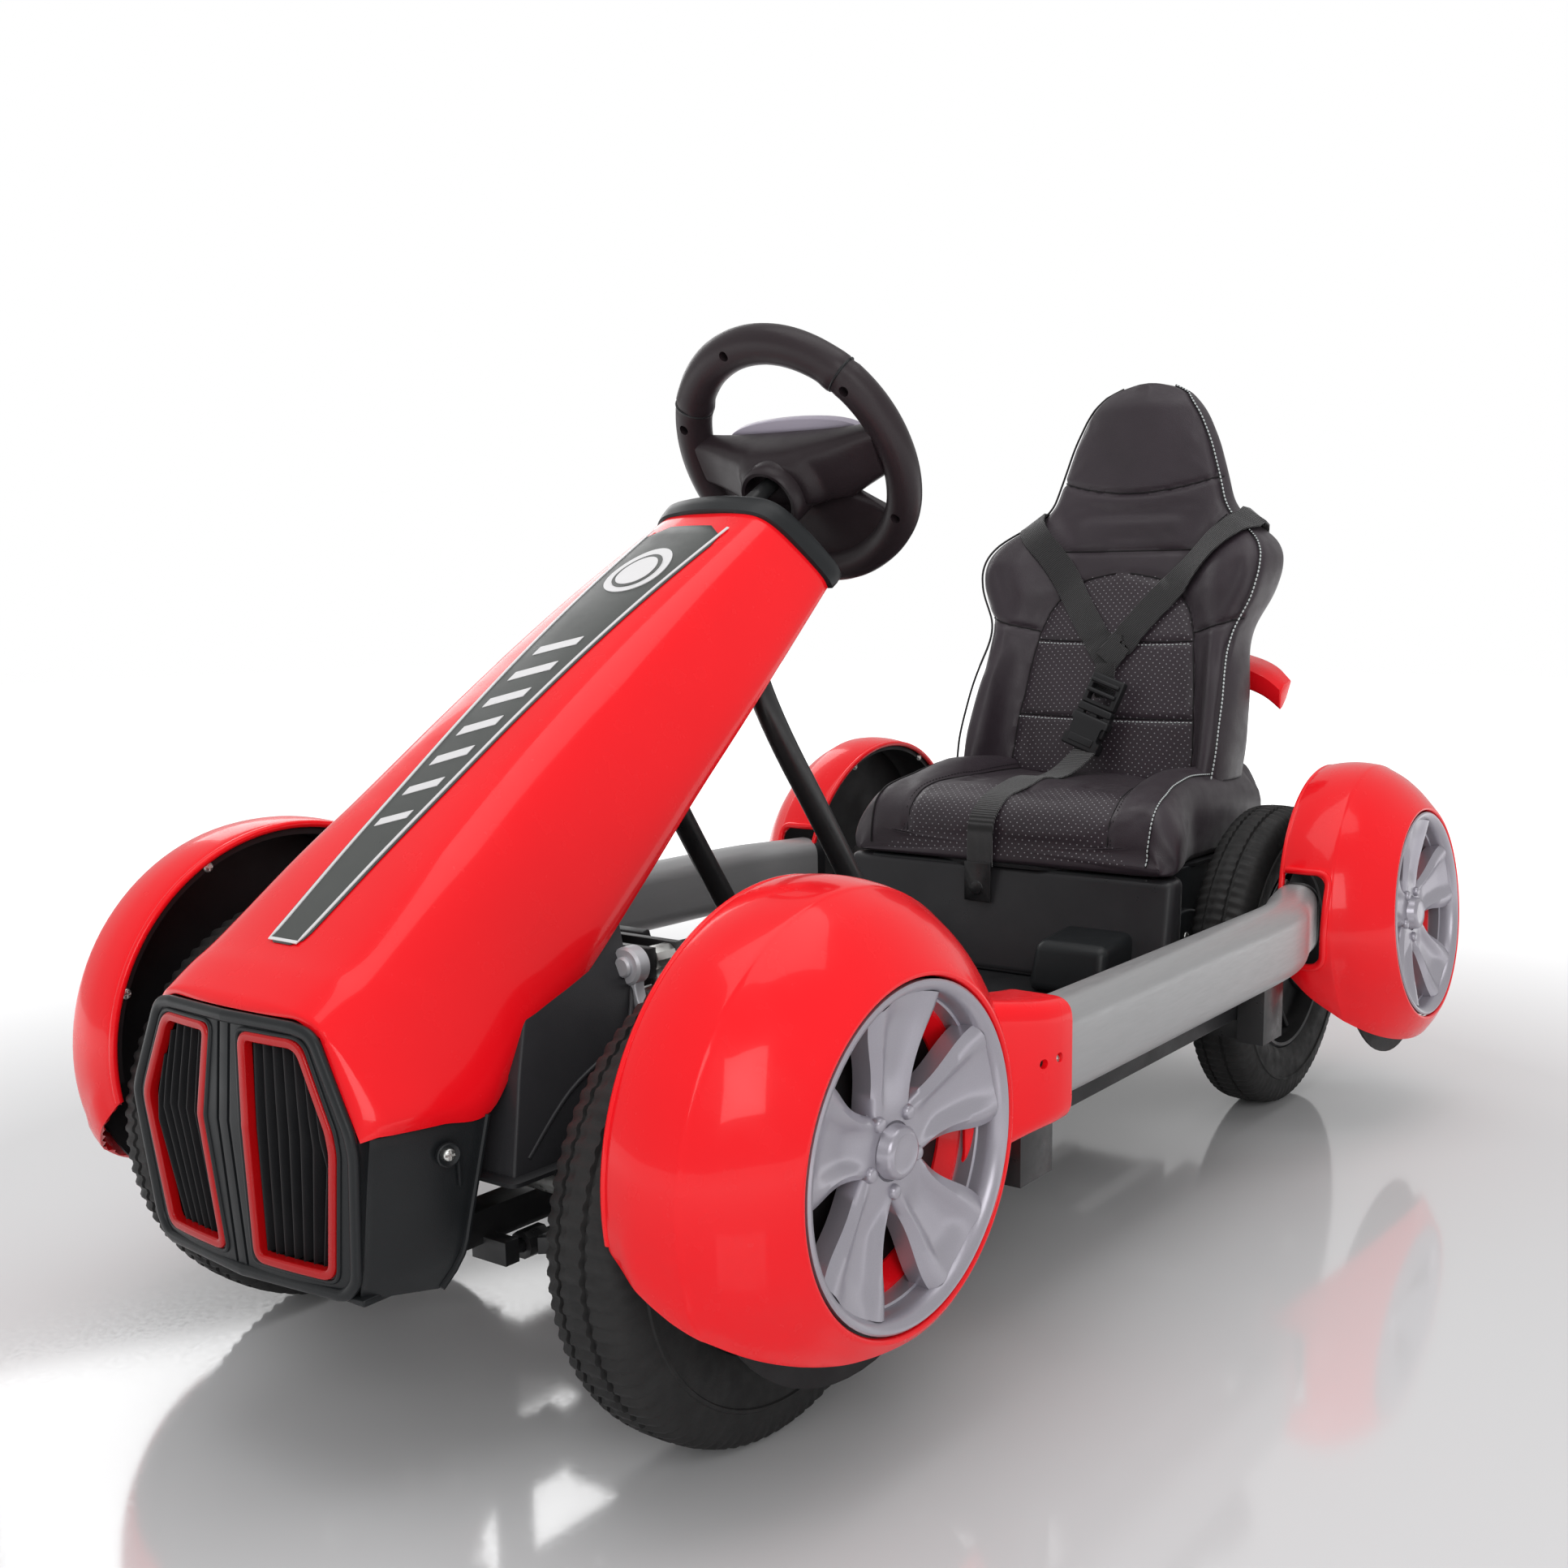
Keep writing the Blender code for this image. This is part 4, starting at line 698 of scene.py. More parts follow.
def cowl_half(t):
    """Half section of the cowl from the middle of its top to its lower edge."""
    top, edge = at_station(t)
    crest = 0.62 * edge.x + 0.006
    shape = [(0.0, 0.0), (0.50 * crest, 0.01), (0.86 * crest, 0.05), (crest + 0.004, 0.20),
             (0.5 * (crest + edge.x) + 0.004, 0.56), (edge.x + 0.001, 0.88), (edge.x, 1.0)]
    return [Vector((x, top.y + (edge.y - top.y) * d, top.z + (edge.z - top.z) * d)) for x, d in shape]


def cowl_section(t):
    half = cowl_half(t)
    full = [Vector((-p.x, p.y, p.z)) for p in half[:0:-1]] + half
    return rounded(full, 3)


def station_of(y):
    """Station at which the top line passes y."""
    low, high = 0.0, LAST_STATION
    for _ in range(40):
        middle = 0.5 * (low + high)
        if at_station(middle)[0].y < y:
            low = middle
        else:
            high = middle
    return low


def cowl_point(t, x):
    """Point of the cowl's outer face at station t and distance x from the middle."""
    section = cowl_section(t)
    for a, b in zip(section, section[1:]):
        if a.x <= x <= b.x:
            return a.lerp(b, (x - a.x) / max(b.x - a.x, 1e-9))
    return section[-1]


def cowl_lifted(t, x, lift):
    """The same point moved out along the face's normal."""
    here = cowl_point(t, x)
    along = cowl_point(min(t + 0.05, LAST_STATION), x) - cowl_point(max(t - 0.05, 0.0), x)
    across = cowl_point(t, x + 0.002) - cowl_point(t, x - 0.002)
    normal = across.cross(along).normalized()
    if normal.z < 0:
        normal.negate()
    return here + normal * lift


def strip_half_width(t):
    """Half width of the dark strip: narrow at the nose, wide at the collar."""
    y = at_station(t)[0].y
    share = (y + 0.512) / (0.512 - 0.150)
    return 0.0135 + 0.0235 * share


def face_edge(p):
    """Point of the cowl's front edge, just outside the nose's lip, for a point of its first section."""
    if p.z < 0.2580:
        x, z = 0.0690 + 0.0275 * (0.2575 - p.z) / 0.0525, p.z - 0.0010
    else:
        x, z = min(abs(p.x) * 0.90, 0.0690), 0.2640 - 0.0060 * smoothstep(0.050, 0.0690, 0.90 * abs(p.x))
    return Vector((math.copysign(x, p.x), face_y(x, z) - 0.0012, z))


def make_cowl():
    rows = [cowl_section(LAST_STATION * k / 60) for k in range(61)]
    front = rows[0]
    edge = [face_edge(p) for p in front]
    middle = [a.lerp(b, 0.5) + Vector((0.012 * a.x, 0, 0.0012)) for a, b in zip(front, edge)]
    cowl = skin("cowl_shell", [edge, middle] + rows, COWL_WALL, (0, -0.32, 0.26), 0.0012)
    dress(cowl, RED, "root", ["nose_cowl"])

    first, last = station_of(-0.500), station_of(-0.1635)
    rows = []
    for k in range(49):
        t = first + (last - first) * k / 48
        wide = strip_half_width(t)
        round_off = min(1.0, (k + 0.4) / 1.6, (48.4 - k) / 1.6) ** 0.5
        rows.append([cowl_lifted(t, wide * round_off * (j / 6 - 1), 0.0009) for j in range(13)])
    strip = skin("strip_panel", rows, 0.0007, (0, -0.32, 0.20), 0.0003)
    dress(strip, STRIP)

    def line_points(inset, start, end, count):
        """U-shaped line that follows the strip's edge at a distance from it."""
        side = []
        for k in range(count):
            t = start + (end - start) * k / (count - 1)
            side.append((t, strip_half_width(t) - inset))
        front = [(t, -x) for t, x in reversed(side)]
        return front + side

    path = line_points(0.0026, first + 0.06, last - 0.02, 40)
    lifted = [cowl_lifted(t, x, 0.0011) for t, x in path]
    ups = [cowl_lifted(t, x, 0.02) - cowl_lifted(t, x, 0.0) for t, x in path]
    line = sweep("strip_border", lifted, [(-0.0010, -0.0002), (0.0010, -0.0002), (0.0010, 0.0004),
            (-0.0010, 0.0004)],
                 ups=ups)
    dress(line, WHITE, "root")

    def flat_shape(name, outline, lift, mat):
        """Thin decal from a closed outline of (station, x) points."""
        top = [cowl_lifted(t, x, lift) for t, x in outline]
        low = [cowl_lifted(t, x, lift - 0.0005) for t, x in outline]
        return dress(loft(name, [low, top]), mat, "root")

    middle_t, radius_t, radius_x = station_of(-0.218), 0.30, 0.0215
    ring = [2 * math.pi * k / 48 for k in range(48)]
    for part, size, lift, mat in (("", 1.0, 0.0014, WHITE), ("_ring", 0.74, 0.0017, STRIP),
                                  ("_middle", 0.62, 0.0020, WHITE)):
        disc = [(middle_t + size * radius_t * math.cos(a), size * radius_x * math.sin(a)) for a in ring]
        flat_shape("strip_roundel" + part, disc, lift, mat)
    # plain slanted bars, wider towards the collar
    for k in range(7):
        t = station_of(-0.290 - 0.022 * k)
        wide = 0.50 * strip_half_width(t)
        slant, deep = 0.085, 0.060
        flat_shape("strip_bar_%d" % (k + 1), [(t - deep - slant, -wide), (t - deep + slant, wide),
                (t + deep + slant, wide),
                                              (t + deep - slant, -wide)], 0.0013, WHITE)


# ---------------------------------------------------------------- nose: bumper, trims, grille
FACE_KINK_Z = 0.205
FACE_KINK_SHARE = 0.60
FACE_LEVELS = [0.119, 0.135, 0.155, 0.180, FACE_KINK_Z, 0.225, 0.245, 0.2570, 0.2610]


def face_y(x, z):
    reach = 0.060 if z > FACE_KINK_Z else 0.088
    kink = max(0.0, 1 - abs(z - FACE_KINK_Z) / reach)
    return -0.5330 - 0.0055 * kink + 0.0100 * (abs(x) / 0.095) ** 2


def face_half_width(z):
    if z > 0.2570:
        return 0.0655 - 0.010 * (z - 0.2570) / 0.0055
    if z > FACE_KINK_Z:
        return 0.0930 - 0.0275 * (z - FACE_KINK_Z) / 0.052
    return 0.0930 - 0.0110 * (FACE_KINK_Z - z) / 0.088


def window_corners(side, grow):
    low, kink, high = 0.1290, FACE_KINK_Z, 0.2540
    inner = [(0.0125 - grow, low - 0.8 * grow), (0.0170 - grow, kink), (0.0125 - grow, high + 0.8 * grow)]
    outer = [(0.0590 + 0.8 * grow, high + 0.8 * grow), (0.0835 + grow, kink),
            (0.0720 + 0.9 * grow, low - 0.8 * grow)]
    return [(side * x, z) for x, z in inner + outer]


def window_path(side, grow, proud):
    """Rounded window outline as points on the nose's face."""
    flat = fillet(window_corners(side, grow), [0.006, 0.05, 0.006, 0.013, 0.03, 0.008], 7)
    dense = []
    for a, b in zip(flat, flat[1:] + flat[:1]):
        pieces = max(1, int((b - a).length / 0.006))
        dense += [a.lerp(b, k / pieces) for k in range(pieces)]
    return [Vector((p.x, face_y(p.x, p.y) - proud, p.y)) for p in dense]


def window_span(x):
    """Lowest and highest point inside a trim ring at distance x from the middle."""
    (top_x, top_z), (kink_x, _), (low_x, low_z) = window_corners(1, -0.0055)[3:]
    high, low = top_z, low_z
    if x > top_x:
        high += (FACE_KINK_Z - top_z) * (x - top_x) / (kink_x - top_x)
    if x > low_x:
        low += (FACE_KINK_Z - low_z) * (x - low_x) / (kink_x - low_x)
    return low, high


def make_nose():
    rings = []
    for z in FACE_LEVELS:
        half = face_half_width(z) + (0.001 if z > 0.12 else -0.004)
        xs = [half * (k / 12 - 1) for k in range(25)]
        front = [Vector((x, face_y(x, z) - 0.0035, z)) for x in xs]
        back = [Vector((x, face_y(x, z) + 0.0080, z)) for x in reversed(xs)]
        rings.append(front + back)
    face = loft("bumper_face", rings)
    for side in (1, -1):
        outline = [(p.x, p.z) for p in window_path(side, -0.001, 0.0)]
        cut(face, loft("window", [[(x, y, z) for x, z in outline] for y in (-0.60, -0.50)]))
    # grooves along the middle bar
    for x in (-0.0045, 0.0045):
        section = ((-0.0011, 0.0016), (-0.0011, -0.004), (0.0011, -0.004), (0.0011, 0.0016))
        groove = loft("groove", [[(x + a, face_y(x, z) - 0.0035 + b, z) for a, b in section]
                                 for z in (0.121, FACE_KINK_Z, 0.2585)])
        cut(face, groove)
    apply_all(add_bevel(face, 0.0016, 3, 38.0))
    dress(face, CHARCOAL, replaced=["bumper_shell"])

    # rounded outer lip and the bead round each window
    half_outline = [(0.0, 0.2600), (0.052, 0.2600), (0.0660, 0.2575), (0.0935, FACE_KINK_Z),
            (0.0850, 0.130),
                    (0.0770, 0.1215), (0.0, 0.1205)]
    outline = half_outline + [(-x, z) for x, z in half_outline[-2:0:-1]]
    flat = fillet(outline, [0.05, 0.02, 0.014, 0.03, 0.02, 0.012, 0.05, 0.012, 0.02, 0.03, 0.014, 0.02], 6)
    path = [Vector((p.x, face_y(p.x, p.y) - 0.0032, p.y)) for p in flat]
    lip = sweep("bumper_lip", path, circle(0.0036, 12, 0.8), closed=True, up=Vector((0, -1, 0)))
    dress(lip, CHARCOAL)
    for side, name in SIDES:
        bead = sweep("window_bead_" + name, window_path(side, 0.0016, 0.0034), circle(0.0014, 10),
                closed=True,
                     up=Vector((0, -1, 0)))
        dress(bead, CHARCOAL)
        section = fillet([(-0.0027, -0.0045), (0.0027, -0.0045), (0.0027, 0.0016), (-0.0027, 0.0016)],
                         [0.0004, 0.0004, 0.0018, 0.0018], 4)
        trim = sweep("trim_ring_" + name, window_path(side, -0.0024, 0.0036),
                [(p.x, p.y) for p in section], closed=True,
                     up=Vector((0, -1, 0)))
        dress(trim, RED_DEEP, "root", ["grille_trim_" + name])
        make_vanes(side, name)

    # side panels that run back under the cowl
    rows = []
    for k in range(13):
        f = k / 12
        z = 0.118 + (0.2058 - 0.118) * f
        front = Vector((0.0825 + 0.0110 * f, -0.5260 + 0.001 * f, z))
        rear = Vector((0.1035 + 0.0070 * f, -0.4800 + 0.0180 * f - 0.012 * max(0.0, 1 - 4 * f) ** 2, z))
        bulge = Vector((0.0022 * math.sin(math.pi * f), 0, 0))
        rows.append([front.lerp(rear, j / 10) + bulge * math.sin(math.pi * j / 10) for j in range(11)])
    panel = paint(skin("bumper_side", rows, 0.0035, (0, -0.50, 0.16), 0.0010), CHARCOAL)
    both_sides(panel, "bumper_side")
    rim = [row[-1] + Vector((0.0003, 0.0006, 0)) for row in rows]
    both_sides(paint(pipe("bumper_edge", rim, 0.0018, 8), CHARCOAL), "bumper_edge")
    recess = turned("bumper_screw_cup", [(-0.001, 0.0035), (-0.001, 0.0066), (0.0012, 0.0066),
            (0.0016, 0.0058),
                                         (0.0006, 0.0035)], 24,
                                         axis_frame((0.1080, -0.4860, 0.190), (1, -0.28, 0)))
    both_sides(paint(recess, CHARCOAL), "bumper_screw_cup")
    rib = round_box("bumper_rib", (-0.001, -0.011, -0.001), (0.0012, 0.009, 0.001), 0.0006, 2,
                    axis_frame((0.1083, -0.4795, 0.182), (0, 1, 0.02)))
    both_sides(paint(rib, CHARCOAL), "bumper_rib")
    for side, name in SIDES:
        screw("bumper_screw_" + name, (side * 0.1086, -0.4860, 0.190), (side, -0.28, 0), 0.0036)
    belly = round_box("bumper_belly", (-0.088, -0.528, 0.1165), (0.088, -0.482, 0.1205), 0.0012)
    dress(belly, CHARCOAL)


VANE_COUNT = 7


def make_vanes(side, name):
    """Upright kinked vanes with rows of small studs, and the dark plate behind them."""
    pieces = []
    for k in range(VANE_COUNT):
        x = 0.0185 + 0.0070 * k
        half = 0.0006
        lean = 0.0050 + 0.0080 * k / (VANE_COUNT - 1)
        rings = []
        low, high = window_span(x + 0.4 * lean)
        for f in (0.0, 0.15, 0.3, 0.45, FACE_KINK_SHARE, 0.75, 0.9, 1.0):
            z = low + (high - low) * f
            shift = lean * (1 - abs(f - FACE_KINK_SHARE) / FACE_KINK_SHARE)
            front = face_y(x, z) + 0.0006
            rings.append([(side * (x + shift + a), y, z)
                    for a, y in ((-half, front), (-0.3 * half, front - 0.0008),
                    (0.3 * half, front - 0.0008),
                    (half, front),
                    (half, -0.5145), (-half, -0.5145))])
        pieces.append(loft("vane", rings))
        if k == VANE_COUNT - 1:
            continue
        for f in (0.16, 0.38, FACE_KINK_SHARE, 0.84):
            z = low + (high - low) * f
            shift = (lean + 0.0007) * (1 - abs(f - FACE_KINK_SHARE) / FACE_KINK_SHARE) + 0.0036
            tip = Vector((side * (x + shift), face_y(x, z) + 0.0050, z))
            profile = [(0.012, 0.0), (0.012, 0.0011), (0.0, 0.0011), (-0.0006, 0.0006), (-0.0008, 0.0)]
            pieces.append(turned("stud", profile, 8, axis_frame(tip, (0, 1, 0))))
    vanes = join("grille_vanes_" + name, pieces)
    dress(vanes, BLACK, replaced=["grille_insert"] if side > 0 else [])
    corners = fillet(window_corners(side, 0.001), 0.004, 3)
    plate = loft("grille_back_" + name, [[(p.x, y, p.y) for p in corners] for y in (-0.5110, -0.5080)])
    dress(plate, LINER)


# ---------------------------------------------------------------- pods
POD_Z = 0.183
POD_PROFILE = [(0.0010, 0.1375), (0.0, 0.1392), (0.0030, 0.1412), (0.0120, 0.1424), (0.0240, 0.1426),
        (0.0360, 0.1412),
               (0.0450, 0.1392), (0.0478, 0.1376), (0.0520, 0.1352), (0.0620, 0.1288), (0.0730, 0.1190),
               (0.0840, 0.1065), (0.0890, 0.1000), (0.0902, 0.0978), (0.0896, 0.0960), (0.0870, 0.0952),
               (0.0800, 0.0950)]
POD_CUT_SLOPE = 0.90
POD_STEPS = 112
POD_WALL = 0.0034
POD_RIM_RADIUS = 0.1388
REAR_SCALE = 0.96   # the rear pods and caps are a little smaller than the front ones


def pod_matrix(rear):
    """Frame of a left pod: origin on its inboard rim, Z outward."""
    camber = math.radians(5.0) if rear else 0.0
    x, y, z = (0.254, AXLE_Y["rear"], POD_Z + 0.003) if rear else (0.212, AXLE_Y["front"], POD_Z)
    return axis_frame((x, y, z), (math.cos(camber), 0, math.sin(camber)))


def bisect(obj, point, normal):
    """Keep what lies on normal's side of the plane."""
    bm = bmesh.new()
    bm.from_mesh(obj.data)
    geometry = bm.verts[:] + bm.edges[:] + bm.faces[:]
    bmesh.ops.bisect_plane(bm, geom=geometry, dist=1e-7, plane_co=point, plane_no=normal, clear_inner=True)
    bm.to_mesh(obj.data)
    bm.free()
    return obj


def smoothstep(low, high, value):
    t = min(1.0, max(0.0, (value - low) / (high - low)))
    return t * t * (3 - 2 * t)


def pod_rows(profile, matrix, scale):
    """Rings of a pod's wall from its (depth, radius) profile."""
    rows = []
    for k in range(POD_STEPS):
        angle = 2 * math.pi * k / POD_STEPS
        rows.append([matrix @ polar(r * scale, angle, z * scale) for z, r in profile])
    return rows


def make_pod(end):
    """Red wheel pods with their rolled rim, dark lining and screws."""
    rear = end == "rear"
    matrix = pod_matrix(rear)
    scale = REAR_SCALE if rear else 1.0
    middle = matrix @ Vector((0, 0, 0.03))
    profile = [(p.x, p.y) for p in smooth_path([Vector((z, r, 0)) for z, r in POD_PROFILE], 3)]
    pod = loft(end + "_pod_shell", pod_rows(profile, matrix, scale), closed=True, open_rings=True)
    face_outward(pod, middle)
    x0 = matrix.translation.x
    plane_point = Vector((x0 - 0.05, 0, 0.205))
    plane_normal = Vector((POD_CUT_SLOPE, 0, 1)).normalized()
    bisect(pod, plane_point, plane_normal)
    # lower band that stands a little proud, and a soft vertical crease on the front quarter
    local = matrix.inverted()
    for vert in pod.data.vertices:
        here = local @ vert.co
        outward = (matrix.to_3x3() @ Vector((here.x, here.y, 0))).normalized()
        height = (vert.co - plane_point).dot(plane_normal)
        dome = smoothstep(0.006, 0.02, here.z) * smoothstep(0.088, 0.080, here.z)
        vert.co += outward * 0.0014 * dome * (1 - smoothstep(0.013, 0.018, height))
        angle = math.degrees(math.atan2(here.y, -here.x))
        vert.co += outward * 0.0012 * dome * smoothstep(-30, -22, angle) * (1 - smoothstep(-18, 20, angle))
    wall(pod, POD_WALL, 0.0011, 3)
    if rear:
        notch = round_box("notch", (0.226, 0.240, 0.165), (0.290, 0.318, 0.240), 0.010, 5)
        cut(pod, notch)
        outline = fillet([(0.228, 0.2425), (0.2925, 0.2425), (0.2925, 0.1625), (0.228, 0.1625)],
                [0, 0.012, 0.012, 0], 6)
        dense = [a.lerp(b, k / 6) for a, b in zip(outline, outline[1:]) for k in range(6)] + [outline[-1]]
        path, ups = drop_on(tree_of(pod), [(p.x, 0.15, p.y) for p in dense], (0, 1, 0), 0.0004)
        lip = paint(sweep("rear_pod_lip", path, circle(0.0030, 10), ups=ups), RED)
        both_sides(lip, "rear_pod_lip", "root")
    paint(pod, RED)
    both_sides(pod, end + "_pod_shell", "root", [end + "_pod_{}"])

    # rolled inboard rim
    rim_path = []
    for k in range(121):
        angle = 2 * math.pi * k / 120
        point = matrix @ polar(POD_RIM_RADIUS * scale, angle, 0.0006)
        if (point - plane_point).dot(plane_normal) > 0.001:
            rim_path.append((angle, point))
    rim_path.sort(key=lambda item: (item[0] + math.pi / 2) % (2 * math.pi))
    path = [point for _, point in rim_path]
    centre = matrix.translation
    rolled = sweep(end + "_pod_rim", path, circle(0.0026, 10), ups=[(p - centre) for p in path])
    both_sides(paint(rolled, RED), end + "_pod_rim", "root")

    # dark lining with its flange
    inner = [(0.0030, 0.1368), (0.0160, 0.1392), (0.0360, 0.1370), (0.0470, 0.1342), (0.0600, 0.1256),
             (0.0720, 0.1148), (0.0820, 0.1030), (0.0850, 0.0985)]
    inner = [(p.x, p.y) for p in smooth_path([Vector((z, r, 0)) for z, r in inner], 2)]
    liner = loft(end + "_pod_liner", pod_rows([(0.0030, 0.1315)] + inner, matrix, scale), closed=True,
            open_rings=True)
    face_outward(liner, middle)
    bisect(liner, plane_point + Vector((0, 0, 0.0025 if rear else 0.0150)), plane_normal)
    wall(liner, 0.0012, 0.0004, 1)
    if rear:
        cut(liner, round_box("notch", (0.226, 0.238, 0.163), (0.292, 0.320, 0.242), 0.010, 5))
    both_sides(paint(liner, LINER), end + "_pod_liner")
    for k, angle in enumerate((20, 62, 118, 160)):
        a = math.radians(angle)
        place = matrix @ polar(0.1338 * scale, a, 0.0026)
        for side, name in SIDES:
            at = Vector((side * place.x, place.y, place.z))
            screw("%s_pod_screw_%s_%d" % (end, name, k + 1), at, (-side, 0, 0), 0.0036)


def bar_middle_x(y):
    """Middle of the left side bar at y."""
    stations = [(0.268, -0.238), (0.281, -0.205), (0.285, -0.170), (0.285, 0.190), (0.282, 0.225),
            (0.270, 0.262),
                (0.262, 0.300)]
    for (x0, y0), (x1, y1) in zip(stations, stations[1:]):
        if y <= y1:
            return x0 + (x1 - x0) * (y - y0) / (y1 - y0)
    return stations[-1][0]


def make_sleeve():
    """Red sleeve that ties a front pod to its side bar."""
    rows = []
    for y, half_h, half_w, centre_z in ((-0.262, 0.050, 0.0225, 0.196), (-0.244, 0.0470, 0.0250, 0.197),
                                        (-0.228, 0.0430, 0.0270, 0.199), (-0.212, 0.0400, 0.0275, 0.200),
                                        (-0.198, 0.0388, 0.0270, 0.200), (-0.186, 0.0380, 0.0262, 0.200)):
        x = bar_middle_x(y) + 0.001
        corners = [(x - half_w, centre_z - half_h), (x + half_w, centre_z - half_h),
                (x + half_w, centre_z + half_h),
                   (x - half_w, centre_z + half_h)]
        rows.append([Vector((p.x, y, p.y)) for p in fillet(corners, 0.0135, 6)])
    rows = [[Vector(p) for p in row] for row in zip(*[smooth_path(list(col), 4) for col in zip(*rows)])]
    closed_rows = [row + [row[0]] for row in rows]
    sleeve = skin("pod_sleeve", closed_rows, 0.0034, (0.281, -0.22, 0.20), 0.0012, segments=3)
    hole_z = 0.203
    for y, radius in ((-0.2005, 0.0030), (-0.2135, 0.0030)):
        cut(sleeve, rod("hole", (0.29, y, hole_z + (0.003 if y > -0.21 else 0)), (0.33, y, hole_z), radius,
                20, 0.0001))
    both_sides(paint(sleeve, RED), "pod_sleeve", "root")
    for side, name in SIDES:
        screw("sleeve_screw_" + name, (side * 0.3065, -0.2005, hole_z), (side, 0, 0), 0.0032)


# ---------------------------------------------------------------- wheel caps
def make_cap(end):
    """Five-spoke trim cap with twin-fluted spokes, a deep barrel and dummy lug nuts."""
    rear = end == "rear"
    scale = REAR_SCALE if rear else 1.0
    matrix = pod_matrix(rear)
    steps = 80
    barrel = [(0.0895, 0.0940), (0.0905, 0.0928), (0.0900, 0.0905), (0.0868, 0.0880), (0.0845, 0.0868),
            (0.0800, 0.0862),
              (0.0690, 0.0856), (0.0640, 0.0850), (0.0620, 0.0838), (0.0615, 0.0800), (0.0590, 0.0800),
              (0.0590, 0.0880), (0.0830, 0.0935)]
    pieces = [turned("barrel", [(z * scale, r * scale) for z, r in barrel], steps, matrix)]
    hub = [(0.0600, 0.0), (0.0600, 0.0270), (0.0690, 0.0290), (0.0722, 0.0270), (0.0728, 0.0165),
            (0.0742, 0.0152),
           (0.0800, 0.0145), (0.0822, 0.0125), (0.0828, 0.0110), (0.0822, 0.0098), (0.0826, 0.0050),
           (0.0827, 0.0)]
    pieces.append(turned("hub", [(z * scale, r * scale) for z, r in hub], 48, matrix))

    def spoke(turn):
        rings = []
        for i in range(19):
            f = i / 18
            r = 0.0165 + 0.0705 * f
            half = 0.0172 + 0.0030 * f + 0.0125 * smoothstep(0.25, 1.0, f) ** 1.3
            crest = 0.0742 + 0.0125 * f ** 1.4
            flute = 0.0052 * smoothstep(0.04, 0.42, f) * (1 - 0.55 * smoothstep(0.75, 1.0, f))
            ring = []
            for j in range(17):
                s = j / 8 - 1
                ridge = math.exp(-((abs(s) - 0.72) / 0.24) ** 2)
                edge = smoothstep(0.84, 1.0, abs(s))
                z = crest - flute * (1 - ridge) * (1 - edge) - 0.0042 * edge
                ring.append((r * math.cos(s * half / r), r * math.sin(s * half / r), z))
            ring += [(ring[16][0], ring[16][1], crest - 0.016), (ring[0][0], ring[0][1], crest - 0.016)]
            rings.append([matrix @ (Matrix.Rotation(turn, 4, "Z") @ (Vector((a, b, c)) * scale)) for a, b,
                    c in ring])
        return loft("spoke", rings)

    for k in range(5):
        turn = math.pi / 2 + 2 * math.pi * k / 5
        pieces.append(spoke(turn))
        nut_turn = turn + math.pi / 5
        place = Matrix.Rotation(nut_turn, 4, "Z") @ (Vector((0.0225, 0, 0.0700)) * scale)
        cup = turned("lug", [(0.0, 0.0), (0.0, 0.0046), (0.0052, 0.0044), (0.0072, 0.0034), (0.0078, 0.0)],
                18,
                     matrix @ Matrix.Translation(place))
        pieces.append(cup)
        # slim lip that closes each window at the rim
        window = []
        for i in range(13):
            a = turn + math.pi / 5 + math.radians(-17 + 34 * i / 12)
            window.append(matrix @ polar(0.0853 * scale, a, 0.0735 * scale))
        outward = matrix.to_3x3() @ Vector((0, 0, 1))
        pieces.append(sweep("ledge", window, [(-0.0012, -0.012), (0.0012, -0.012), (0.0012, 0.0006),
                (0.0, 0.0014),
                                              (-0.0012, 0.0006)], up=outward))
    for piece in pieces:
        if piece.name.startswith("lug"):
            apply_all(add_bevel(piece, 0.0005, 2, 45.0))
    cap = paint(join(end + "_cap_cover", pieces), CAP)
    backing = turned("backing", [(0.0500 * scale, 0.0), (0.0500 * scale, 0.1300 * scale),
            (0.0520 * scale, 0.1302 * scale),
                                 (0.0545 * scale, 0.0800 * scale), (0.0545 * scale, 0.0)], 64, matrix)
    both_sides(paint(backing, LINER), end + "_cap_backing")
    arc = turned("arc", [(0.0545 * scale, 0.0740 * scale), (0.0545 * scale, 0.0825 * scale),
            (0.0640 * scale, 0.0842 * scale),
                         (0.0640 * scale, 0.0820 * scale), (0.0560 * scale, 0.0740 * scale)], 64, matrix)
    both_sides(paint(arc, RED), end + "_cap_arc", "root")
    both_sides(cap, end + "_cap_cover", "root", [end + "_cap_{}"])


# ---------------------------------------------------------------- wheels
TYRE_RADIUS = 0.140
TREAD_BLOCKS = 92
INBOARD_SHARE = 0.75   # the tyre is narrower on its inboard side


